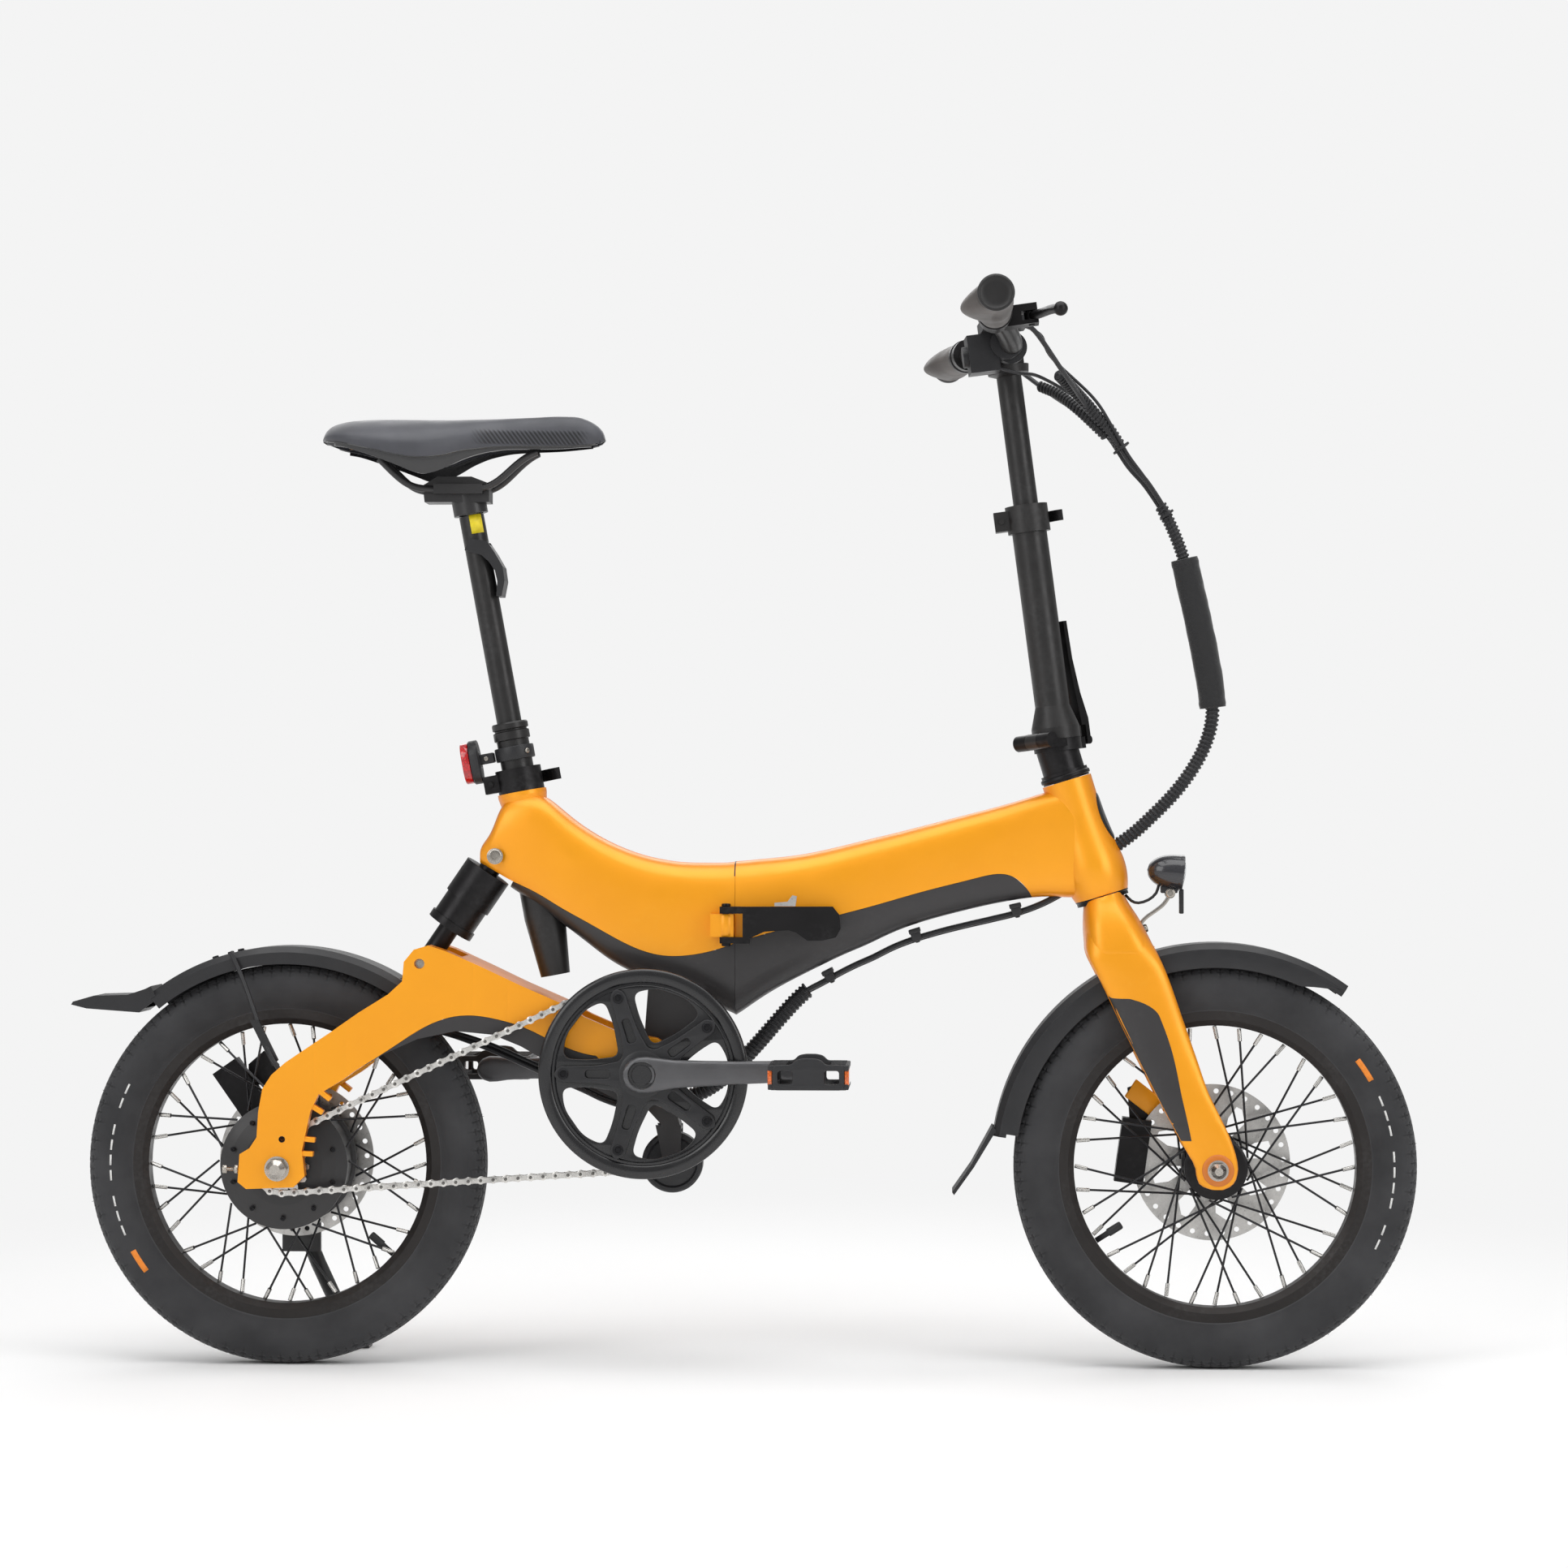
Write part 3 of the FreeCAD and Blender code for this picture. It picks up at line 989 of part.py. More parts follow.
def shock_body():
    """Upper shock half with its eye and bolt, hollow towards the rod."""
    radius = size.shock_radius

    def sleeve(radius, start, length):
        return rod(radius, SHOCK_UP + SHOCK_DIR * start, SHOCK_DIR, length)
    shock = fuse([rod_y(12, SHOCK_UP.x, SHOCK_UP.z, -EYE_HALF, EYE_HALF), sleeve(11, 8, 12),
                  sleeve(radius, 18.5, 38), sleeve(radius - 2, 56.5, 24),
                  sleeve(radius, 80.5, 8)])
    shock = shock.cut(sleeve(size.rod_radius + 1.6, 30, 70))
    return one_solid(fuse([shock, rod_y(BOLT_RADIUS, SHOCK_UP.x, SHOCK_UP.z, -33, 33)]))


def shock_rod():
    stem = fuse([rod_y(12, SHOCK_LOW.x, SHOCK_LOW.z, -EYE_HALF, EYE_HALF),
                 rod(size.rod_radius, SHOCK_LOW - SHOCK_DIR * 8, SHOCK_DIR * -1, 60)])
    return one_solid(fuse([stem, rod_y(BOLT_RADIUS, SHOCK_LOW.x, SHOCK_LOW.z, -48, 48)]))


swing = whole_swingarm()
feature("swingarm", swingarm(swing))
feature("swingarm_cover", swingarm_cover(swing))
feature("shock_body", shock_body())
feature("shock_rod", shock_rod())

# ================================================================ FORK, BRAKES AND MUDGUARDS
# (x, z) outline of the fork from the side
FORK_SIDE = prism([
    (342, 457), (342, 439), (344.4, 418), (353.3, 400), (366.3, 374), (389, 327),
    (415.9, 271), (440.2, 226), (452, 208), (454, 196), (462, 187), (474.7, 183.5),
    (486, 187), (494, 197), (495, 210), (487.5, 235), (465.6, 281), (440.6, 354),
    (425.2, 398), (411.4, 429), (399.3, 452.6), (386.3, 473), (380, 480), (350, 474)],
    -70, 70)
# (y, z) outlines of the fork from the front
FORK_OUTSIDE = [(-27, 485), (27, 485), (42, 455), (50, 420), (52, 335), (58.4, 262),
                (58.4, 150), (-58.4, 150), (-58.4, 262), (-52, 335), (-50, 420), (-42, 455)]
FORK_INSIDE = [(-33, 460), (33, 460), (33, 335), (47.5, 268), (47.5, 150), (-47.5, 150),
               (-47.5, 268), (-33, 335)]


def caliper(centre, axle_point, disc_y, angle, length):
    """Block with a round cap, slotted for the disc at disc_y."""
    block = fuse([box(-15, 15, disc_y - 7.5, disc_y + 11.5, -length / 2, length / 2),
                  rod_y(12.6, 0, 0, disc_y + 11.4, disc_y + 16.4)])
    block = placed(block, Placement(Vector(centre[0], 0, centre[1]), Rotation(Y, angle)))
    return block.cut(rod_y(size.rotor_radius + 2.5, *axle_point, disc_y - 1.6, disc_y + 1.6))


def rear_caliper():
    bracket = prism([(-522, 300), (-506, 314), (-490.5, 300), (-490.5, 285), (-505, 278),
                     (-522, 280)], 63.5, 68.5)
    block = caliper((-526, 274), REAR_AXLE, size.rear_rotor_y, -35, 62)
    return biggest(block.fuse(bracket).cut(SWING_SIDE))


def front_caliper():
    bracket = prism([(389, 279), (400, 283), (415, 268), (410, 235), (392, 235)], 49.5, 54.0)
    block = caliper((394, 215), FRONT_AXLE, size.front_rotor_y + 0.9, 8, 66)
    return biggest(block.fuse(bracket).cut(FORK_SIDE))


def guard_arc(axle_point, radius, start, end, lip):
    """Channel round an axle, from start to end degrees up from the front."""
    half = size.guard_half
    profile = [
        (half, -lip), (half, -6), (half - 6, 0), (6 - half, 0), (-half, -6), (-half, -lip),
        (2 - half, -lip), (2 - half, -6.8), (6.8 - half, -2), (half - 6.8, -2),
        (half - 2, -6.8), (half - 2, -lip)]
    face = polygon([Vector(radius + depth, y, 0) for y, depth in profile])
    face.rotate(ORIGIN, Y, -start)
    arc = face.revolve(ORIGIN, Vector(0, -1, 0), end - start)
    arc.translate(Vector(axle_point[0], 0, axle_point[1]))
    return arc


def rear_mudguard():
    """Guard with its tail and front tab, and the stay with its small plate on the right."""
    tail = prism([(-606, 385), (-600, 372), (-618, 358), (-672, 362), (-687.9, 366.0),
                  (-686, 369), (-665, 375), (-630, 376), (-612, 382)], -29, 29)
    tail = tail.cut(prism([(-602, 378), (-596, 368), (-616, 361), (-640, 363), (-640, 369),
                           (-620, 371)], -27, 27))
    tab = prism([(-352, 393), (-349, 386), (-356, 380), (-362, 390)], -14, 14)
    stay = pipe([(-524, -31.5, 420), (-510, -38, 392), (-492.5, -52, 350), (-478, -62, 318),
                 (-468.5, -66, 303)], 2.4)
    plate = prism([(-499, 352), (-490, 352), (-470, 312), (-476, 306)], -62, -58)
    arc = guard_arc(REAR_AXLE, size.rear_guard_radius, 57.0, 129.0, 18)
    guard = fuse([arc, tail, tab]).cut(SWING_SIDE)
    stays = fuse([stay, plate]).cut(SWING_SIDE).cut(guard).Solids
    return Part.makeCompound([biggest(guard)] + [part for part in stays if part.Volume > 150])


def front_mudguard(fork_shape):
    """Guard with a flap behind the tyre and a block under the fork crown."""
    arc = guard_arc(FRONT_AXLE, size.front_guard_radius, 54.0, 172.0, 13)
    flap = prism([(255.0, 240), (249.5, 244), (228, 205), (209, 178), (211, 175),
                  (231, 203), (251, 236)], -26, 26)
    block = placed(box(-9, 9, -12, 12, size.front_guard_radius - 0.5, 229.9),
                   Placement(Vector(FRONT_AXLE[0], 0, FRONT_AXLE[1]), Rotation(Y, -22)))
    return biggest(one_solid(fuse([arc, flap, block])).cut(fork_shape))


def kickstand():
    """Stand on the left, with its foot on the ground."""
    leg = fuse([rod_y(11, -462, 120, 68.0, 82.0),
                pipe([(-462, 76.5, 120), (-452, 84, 92), (-430, 108, 34), (-421, 118, 12)],
                     8.0, smooth=False)])
    return one_solid(fuse([leg, box(-436, -402, 107, 133, 0, 12)]))


def fork():
    """Blades and crown clear of the wheel, with the steerer."""
    tunnel = rod_y(230.0, *FRONT_AXLE, -70, 70)
    crown = HEAD_LOW - HEAD_DIR * 0.4
    blades = FORK_SIDE.common(front_prism(FORK_OUTSIDE, 250, 560))
    blades = blades.cut(tunnel.common(front_prism(FORK_INSIDE, 250, 560)))
    blades = blades.cut(placed(box(-100, 100, -100, 100, 0, 200),
                               Placement(crown, Rotation(Y, -size.head_angle))))
    crown_disc = rod(27.0, crown - HEAD_DIR * 14, HEAD_DIR, 14)
    steerer = rod(size.steerer_radius, crown - HEAD_DIR * 6, HEAD_DIR, size.head_length + 18)
    whole = fuse([blades, crown_disc.cut(tunnel), steerer])
    return biggest(whole.cut(rod_y(size.front_axle_radius + 0.05, *FRONT_AXLE, -80, 80)))


feature("rear_caliper", rear_caliper())
feature("front_caliper", front_caliper())
feature("rear_mudguard", rear_mudguard())
feature("kickstand", kickstand())
fork_shape = fork()
feature("fork", fork_shape)
feature("front_mudguard", front_mudguard(fork_shape))

# ================================================================ HANDLEBAR POST
# Drawn about the post's foot; z = 0 is the parting plane of the folding joint.
POST_PLACE = Placement(Vector(size.post_x, 0, size.post_z), Rotation(Y, -size.post_angle))
POST_TOP = size.lower_post_top
# hinge across the rear right of the post; the latch is at the front left
HINGE_DIR = Vector(1, -1, 0).normalize()
HINGE_MID = Vector(-22.5, -22.5, 0)
HINGE_RADIUS, HINGE_PIN = 8.0, 3.0
HINGE_MIDDLE, HINGE_ENDS = (-7.8, 7.8), ((-24, -8.2), (8.2, 24))


def on_post(shape):
    return placed(shape, POST_PLACE)


def barrel(start, end, radius=HINGE_RADIUS):
    return rod(radius, HINGE_MID + HINGE_DIR * start, HINGE_DIR, end - start)


def hinge_web(start, end, z0, z1):
    return placed(box(start, end, -2.0, 21.0, z0, z1), Placement(HINGE_MID, Rotation(Z, -45)))


def stem_base():
    """Headset cap and lower joint half, clamped on the steerer."""
    clamp = fuse([rod(24.0, HEAD_TOP + HEAD_DIR * 0.3, HEAD_DIR, 9.5),
                  rod(21.5, HEAD_TOP + HEAD_DIR * 9, HEAD_DIR, 40)])
    clamp = clamp.cut(on_post(box(-100, 100, -100, 100, -0.15, 199.85)))
    ear = turned(box(20, 33.2, -8, 8, -12.15, -0.65), Z, 45)
    parts = [rod_z(24.5, 0, 0, -12.15, -0.15)]
    parts += [barrel(*span) for span in HINGE_ENDS]
    parts += [hinge_web(*span, -8, -0.2) for span in HINGE_ENDS]
    parts += [barrel(-24, 24, HINGE_PIN), ear]
    base = fuse([clamp] + [on_post(part) for part in parts])
    room = barrel(-8.0, 8.0, HINGE_RADIUS + 0.4).cut(barrel(-9, 9, HINGE_PIN))
    base = base.cut(on_post(room))
    return biggest(base.cut(rod(size.steerer_radius + 0.05, HEAD_TOP - HEAD_DIR * 5,
                                HEAD_DIR, 17.8)))


def lower_handlepost():
    """Upper joint half, tube and split clamp for the upper post."""
    radius = size.lower_post_radius
    post = fuse([
        rod_z(24.5, 0, 0, 0.15, 12.15),
        Part.makeCone(24.5, radius, 22, Vector(0, 0, 12.15)),
        rod_z(radius, 0, 0, 12, POST_TOP), rod_z(radius + 4.0, 0, 0, POST_TOP - 24, POST_TOP + 4),
        box(-34, -15, -10, 10, POST_TOP - 20, POST_TOP),
        rod_y(2.8, -27, POST_TOP - 10, -13, 12),
        barrel(*HINGE_MIDDLE), hinge_web(*HINGE_MIDDLE, 0.2, 8)])
    post = post.cut(barrel(-40, -7.95, HINGE_RADIUS + 0.4))
    post = post.cut(barrel(7.95, 40, HINGE_RADIUS + 0.4)).cut(barrel(-30, 30, HINGE_PIN + GAP))
    post = post.cut(rod_z(size.upper_post_radius + GAP, 0, 0, 30, 330))
    post = post.cut(box(-40, -12, -1.2, 1.2, POST_TOP - 25, POST_TOP + 10))
    ear = turned(box(20, 29, -8, 8, 0.15, 11.15), Z, 45)
    return biggest(on_post(fuse([post, ear])))


def stem_latch_lever():
    """Lever at the front left, pivoting at the parting plane."""
    lever = prism([(29.3, -6), (36, -8), (41, 0), (41, 18), (34, 45), (29, 80),
                   (27.5, 119), (22.5, 119), (23.5, 80), (27, 42), (30, 16), (30.0, 12)],
                  -9, 9)
    lever = fuse([lever, rod_y(4.5, 38.5, -4, -9, 9)])
    # room for the ears and the tube
    lever = lever.cut(fuse([box(0, 35.6, -9.6, 9.6, -13, 11.6), rod_z(25, 0, 0, -15, 25)]))
    return biggest(on_post(turned(lever, Z, 45)))


def make_upper_handlepost():
    bore, tube = "Sizes.upper_post_radius - 2.2", "Sizes.upper_post_radius"
    body = turned_body("upper_handlepost", [
        (bore, 0), (tube, 0), (tube, 236), ("Sizes.upper_post_radius + 8", 239),
        ("Sizes.upper_post_radius + 9", 247), (bore, 247)], about_z=True)
    foot = POST_PLACE.multVec(Vector(0, 0, size.bar_height - 12.5 - 247))
    place(body, x=foot.x, z=foot.z, rotation=POST_PLACE.Rotation)


feature("stem_base", stem_base())
feature("lower_handlepost", lower_handlepost())
feature("stem_latch_lever", stem_latch_lever())
feature("handlepost_lever", on_post(quick_lever(
    (-27, 20.0), [(-27, 17.5), (-12, 25.0), (2, 25.4), (14, 20.5), (24, 11.5), (35, 6.0)],
    POST_TOP - 15, POST_TOP - 4)))
make_upper_handlepost()

# ================================================================ HANDLEBAR
# Drawn on the post's axis, then turned about it by bar_twist.
BAR_TURN = Placement(Vector(0, size.bar_offset, 0), Rotation(Z, size.bar_twist))
BAR_Z = size.bar_height
GRIP_START = Vector(-24, size.grip_start, BAR_Z + 22)
GRIP_END = Vector(-33, size.grip_end, BAR_Z + 27)
GRIP_LENGTH = (GRIP_END - GRIP_START).Length
GRIP_DIR = (GRIP_END - GRIP_START).normalize()
GRIP_TURN = Rotation(Y, GRIP_DIR)
MOUNT_POINT = GRIP_START - GRIP_DIR * 18
MOUNT_PLACE = Placement(MOUNT_POINT, GRIP_TURN)
LEVER_PIVOT = (35, 6)   # x, y in the mount's own frame


def on_bar(shape):
    return placed(shape, POST_PLACE.multiply(BAR_TURN))


def on_mount(shape):
    return placed(shape, MOUNT_PLACE)


def half_bar(radius):
    """Left half of the bar, from the middle to the grip's end."""
    bend = Vector(0, 52, BAR_Z)
    curve = Part.BSplineCurve()
    curve.interpolate([bend, Vector(-4, 92, BAR_Z + 5), Vector(-17, 138, BAR_Z + 18),
                       GRIP_START],
                      InitialTangent=Vector(0, 60, 0), FinalTangent=GRIP_DIR * 60)
    middle = Vector(0, 0, BAR_Z)
    path = Part.Wire([Part.makeLine(middle, bend), curve.toShape(),
                      Part.makeLine(GRIP_START, GRIP_END - GRIP_DIR * 2.0)])
    ring = Part.Wire([Part.makeCircle(radius, middle, Y)])
    return path.makePipeShell([ring], True, True)


def handlebar():
    half = half_bar(size.bar_radius)
    whole = fuse([half, half.mirror(ORIGIN, Y), rod_y(17.0, 0, BAR_Z, -23, 23),
                  box(-15.5, 15.5, -17, 17, BAR_Z - 12.3, BAR_Z + 15)])
    return whole.cut(box(-26, 26, -26, 26, BAR_Z - 30, BAR_Z - 12.35))


def grip(side):
    wing = box(-40, -10, 0, 82, -4, 4).fuse(rod_y(6, -38, 0, 0, 82))
    wing = placed(wing, Placement(GRIP_START + GRIP_DIR * 34, GRIP_TURN))
    sleeve = fuse([rod(16.0, GRIP_START, GRIP_DIR, GRIP_LENGTH - 0.5),
                   rod(18.0, GRIP_END - GRIP_DIR * 8, GRIP_DIR, 8),
                   rod(18.0, GRIP_START, GRIP_DIR, 9), wing])
    sleeve = sleeve.cut(rod(size.bar_radius + 0.04, GRIP_START - GRIP_DIR * 2, GRIP_DIR,
                            GRIP_LENGTH + 0.04))
    return on_bar(one_solid(for_side(sleeve, side)))


def lever_mount(side):
    """Clamp band with the brake lever's pivot box in front."""
    mount = fuse([rod(16.5, MOUNT_POINT, GRIP_DIR, 13), on_mount(box(8, 42, -6, 16, -14, 6))])
    mount = mount.cut(on_mount(box(26, 48, -18, 22, -10, -1)))
    mount = mount.cut(on_mount(rod_z(3.05, *LEVER_PIVOT, -20, 10)))
    mount = mount.cut(half_bar(size.bar_radius + 0.04))
    return on_bar(one_solid(for_side(mount, side)))


def brake_lever(side):
    points = [MOUNT_PLACE.multVec(Vector(*point)) for point in (
        (35, 6, -5.5), (42, 22, -7), (48, 50, -10), (54, 82, -14), (60, 104, -18))]
    blade = fuse([pipe(points, 4.6), Part.makeSphere(7.0, points[-1])])
    pivot = on_mount(rod_z(3.0, *LEVER_PIVOT, -15, 6))
    lever = fuse([blade, on_mount(rod_z(6.5, *LEVER_PIVOT, -9.5, -1.5)), pivot])
    lever = lever.cut(on_mount(box(8, 26, -6.2, 16.2, -14.5, 6.5)))
    # keep the blade inside the mount's slot, but leave the pivot pin whole
    limits = (box(8, 68, -18, 22, -1.1, 10.9), box(8, 68, -18, 16, -21.9, -9.9))
    lever = biggest(lever.cut(fuse([on_mount(limit).cut(pivot) for limit in limits])))
    return on_bar(one_solid(for_side(lever, side)))


def handlebar_controls(bar):
    """Display and switch box on the bar, right of the clamp."""
    display = fuse([box(-30, 16, -96, -44, BAR_Z + 16, BAR_Z + 27),
                    rod_y(16.0, -6, BAR_Z + 3, -76, -62)]).cut(bar)
    switch = fuse([box(-44, -14, -66, -32, BAR_Z - 22, BAR_Z + 16),
                   rod(10.5, Vector(-44, -49, BAR_Z - 4), -X, 5),
                   rod_y(16.0, 0, BAR_Z, -58, -44)])
    switch = switch.cut(bar).cut(display)
    return Part.makeCompound([on_bar(biggest(display)), on_bar(biggest(switch))])


def headlight():
    """Egg-shaped lamp with a flat lens, on a bracket at the fork crown."""
    scale = FreeCAD.Matrix()
    scale.scale(24.0, 21.0, 19.5)
    egg = Part.makeSphere(1.0).transformGeometry(scale)
    egg.translate(Vector(430, 0, 504))
    lamp = fuse([egg.common(box(390, 444, -30, 30, 470, 540)),
                 rod(17.0, Vector(441, 0, 504), X, 7)])
    bracket = fuse([box(427, 431, -11, 11, 470, 490), box(424, 440, -7, 7, 478, 486),
                    prism([(427, 472), (431, 472), (431, 456), (412, 440), (404, 440),
                           (404, 444), (410, 446), (427, 459)], -11, 11)])
    return one_solid(fuse([lamp, bracket]).cut(FORK_SIDE))


def cable_harness():
    """Two outer cables, their sleeve, and the loop back to the head tube."""
    return biggest(fuse([
        pipe([(322, -9, 985), (352, -9, 972), (384, -7, 930), (412, -4, 890), (428, 0, 862),
              (438, 0, 834), (444, 0, 816)], 5.2),
        pipe([(322, 9, 990), (356, 9, 968), (388, 8, 932), (414, 5, 893), (428, 0, 862)], 4.6),
        pipe([(444, 0, 820), (455, 0, 782), (465, 0, 735), (471, 0, 700), (473, 0, 672)], 13.5),
        pipe([(473, 0, 676), (471, 0, 648), (461, 0, 618), (442, 0, 588), (418, 0, 563),
              (400, 0, 548)], 8.0)]))


bar = handlebar()
feature("handlebar", one_solid(on_bar(bar)))
feature("grips", Part.makeCompound([grip(1), grip(-1)]))
feature("brake_lever_mounts", Part.makeCompound([lever_mount(1), lever_mount(-1)]))
feature("right_brake_lever", brake_lever(-1))
feature("left_brake_lever", brake_lever(1))
feature("handlebar_controls", handlebar_controls(bar))
feature("headlight", headlight())
feature("cable_harness", cable_harness())

# ================================================================ CHECKS AND FILES
doc.recompute()
faults = ["%s %s" % (item.Label, item.State) for item in doc.Objects
          if "Invalid" in item.State or "Error" in item.State]
for piece in pieces:
    shape = piece.Shape
    if shape.isNull() or not shape.isValid() or not shape.Solids:
        faults.append("%s has no valid solid" % piece.Label)
if len({piece.Label for piece in pieces}) != len(pieces):
    faults.append("repeated names")
if faults:
    raise RuntimeError("; ".join(faults))
for piece in pieces:
    piece.Shape.exportStep("parts/%s.step" % piece.Label)
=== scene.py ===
"""A folding bicycle with a rear hub motor: fine parts, materials and studio for its CAD pieces.

It stands on z = 0 and points along +x, with its left side at +y. `pos` turns design
millimetres, in which the rear axle lies at x = -469, into the scene's metres. Profiles,
radii and box sizes are in millimetres; points and directions are Vectors in metres.
"""
import json
import math
import random

import bmesh
import bpy
import numpy as np
from mathutils import Matrix, Quaternion, Vector, noise
from mathutils.bvhtree import BVHTree

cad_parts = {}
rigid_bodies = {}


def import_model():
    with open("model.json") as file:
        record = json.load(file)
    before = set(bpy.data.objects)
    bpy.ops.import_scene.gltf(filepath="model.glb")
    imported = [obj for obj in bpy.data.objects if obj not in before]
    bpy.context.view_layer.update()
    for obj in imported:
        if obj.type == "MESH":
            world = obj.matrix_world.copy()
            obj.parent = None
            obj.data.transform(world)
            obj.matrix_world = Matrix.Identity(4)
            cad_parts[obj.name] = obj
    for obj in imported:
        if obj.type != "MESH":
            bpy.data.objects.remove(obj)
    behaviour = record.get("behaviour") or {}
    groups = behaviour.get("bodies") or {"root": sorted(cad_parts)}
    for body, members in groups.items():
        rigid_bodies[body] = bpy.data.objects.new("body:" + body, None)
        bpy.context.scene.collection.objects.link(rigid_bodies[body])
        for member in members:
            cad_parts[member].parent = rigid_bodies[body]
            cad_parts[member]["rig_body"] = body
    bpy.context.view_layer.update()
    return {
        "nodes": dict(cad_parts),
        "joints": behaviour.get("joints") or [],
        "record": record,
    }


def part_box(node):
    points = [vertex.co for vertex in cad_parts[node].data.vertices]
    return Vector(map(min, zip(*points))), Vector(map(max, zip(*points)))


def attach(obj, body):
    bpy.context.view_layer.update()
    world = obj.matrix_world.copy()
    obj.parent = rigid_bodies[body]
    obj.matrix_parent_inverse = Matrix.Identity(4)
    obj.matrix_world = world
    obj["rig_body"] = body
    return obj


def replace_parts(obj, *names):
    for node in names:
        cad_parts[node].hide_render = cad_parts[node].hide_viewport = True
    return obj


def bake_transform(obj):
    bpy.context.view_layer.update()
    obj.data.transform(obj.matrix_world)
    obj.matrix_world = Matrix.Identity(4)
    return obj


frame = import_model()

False  # a bare value with no effect
NODES = frame["nodes"]
JOINTS = {joint["name"]: joint for joint in frame["joints"]}


def joint_place(name):
    return Vector(JOINTS[name]["pos_m"])


def joint_axis(name):
    return Vector(JOINTS[name]["axis"]).normalized()


FRONT_AXLE = joint_place("front_wheel_spin")
REAR_AXLE = joint_place("rear_wheel_spin")
REAR_AXLE_X = -469.0
SHIFT_X = JOINTS["rear_wheel_spin"]["pos_m"][0] * 1000 - REAR_AXLE_X
SHIFT_Y = JOINTS["rear_wheel_spin"]["pos_m"][1] * 1000
SIDES = ((-1, "right"), (1, "left"))
X_AXIS, Y_AXIS, Z_AXIS = Vector((1, 0, 0)), Vector((0, 1, 0)), Vector((0, 0, 1))
LEFT, RIGHT = Y_AXIS, Vector((0, -1, 0))


def pos(x, y, z):
    return Vector(((x + SHIFT_X) / 1000, (y + SHIFT_Y) / 1000, z / 1000))


def points(rows):
    return [pos(*row) for row in rows]


def wheel_point(centre, radius, y, angle):
    """Point at a radius and angle about a crosswise axis, with 0 forward and a quarter turn up."""
    return centre + Vector((radius * math.cos(angle), y, radius * math.sin(angle))) / 1000


def clamp(value):
    return max(0.0, min(1.0, value))


def signed_power(value, power):
    return math.copysign(abs(value) ** power, value)


# ---------------------------------------------------------------- material building
def socket_name(key):
    return key.replace("_", " ").title().replace("Ior", "IOR")


class Nodes:
    """Fills a node tree. Inputs may be given as numbers, colours or other nodes' sockets."""

    def __init__(self, tree):
        self.tree = tree
        tree.nodes.clear()

    def feed(self, socket, value):
        if isinstance(value, bpy.types.NodeSocket):
            self.tree.links.new(value, socket)
        elif socket.type == "RGBA":
            socket.default_value = (*value, 1)
        else:
            socket.default_value = value

    def node(self, kind, *numbered, **named):
        node = self.tree.nodes.new("ShaderNode" + kind)
        for i, value in enumerate(numbered):
            self.feed(node.inputs[i], value)
        for key, value in named.items():
            self.feed(node.inputs[socket_name(key)], value)
        return node

    def remap(self, value, ins, outs=(0.0, 1.0)):
        node = self.node("MapRange", value=value, from_min=ins[0], from_max=ins[1],
                         to_min=outs[0], to_max=outs[1])
        return node.outputs[0]

    def math(self, operation, *values):
        node = self.node("Math", *values)
        node.operation = operation
        return node.outputs[0]


class Surface(Nodes):
    """A material with one principled shader."""

    def __init__(self, name):
        self.material = bpy.data.materials.new(name)
        self.material.use_nodes = True
        super().__init__(self.material.node_tree)
        self.output = self.node("OutputMaterial")
        self.shader = self.node("BsdfPrincipled")
        self.feed(self.output.inputs[0], self.shader.outputs[0])

    def coords(self, rotation=(0, 0, 0)):
        place = self.node("TexCoord").outputs["Object"]
        return self.node("Mapping", vector=place, rotation=rotation).outputs[0]

    def noise(self, where, scale, detail=3.0, roughness=0.5):
        node = self.node("TexNoise", vector=where, scale=scale, detail=detail, roughness=roughness)
        return node.outputs[0]

    def mottle(self, where, scale, detail, ins=(0.3, 0.7), outs=(0.0, 1.0)):
        """Noise stretched from the range ins to the range outs."""
        return self.remap(self.noise(where, scale, detail), ins, outs)

    def cells(self, where, scale, feature="F1"):
        node = self.node("TexVoronoi", vector=where, scale=scale)
        node.feature = feature
        return node.outputs[0]

    def mix(self, factor, low, high):
        node = self.node("Mix", factor)
        node.data_type = "RGBA"
        self.feed(node.inputs[6], low)
        self.feed(node.inputs[7], high)
        return node.outputs[2]

    def bump(self, height, strength, distance, **normal):
        node = self.node("Bump", strength=strength, distance=distance, height=height, **normal)
        return node.outputs[0]

    def wear(self):
        """Broad faint patches of wear."""
        return self.mottle(self.coords(), scale=14.0, detail=2.0, ins=(0.45, 0.75), outs=(0, 0.35))

    def finish(self, **inputs):
        """Feeds the shader and gives the material."""
        for key, value in inputs.items():
            self.feed(self.shader.inputs[socket_name(key)], value)
        return self.material


def srgb(*levels):
    """Linear colour from 0 to 255 levels."""
    linear = []
    for level in levels:
        c = level / 255
        linear.append(c / 12.92 if c <= 0.04045 else ((c + 0.055) / 1.055) ** 2.4)
    return tuple(linear)


def shade(colour, factor, lift=0.0):
    return tuple(min(1, c * factor + lift) for c in colour)


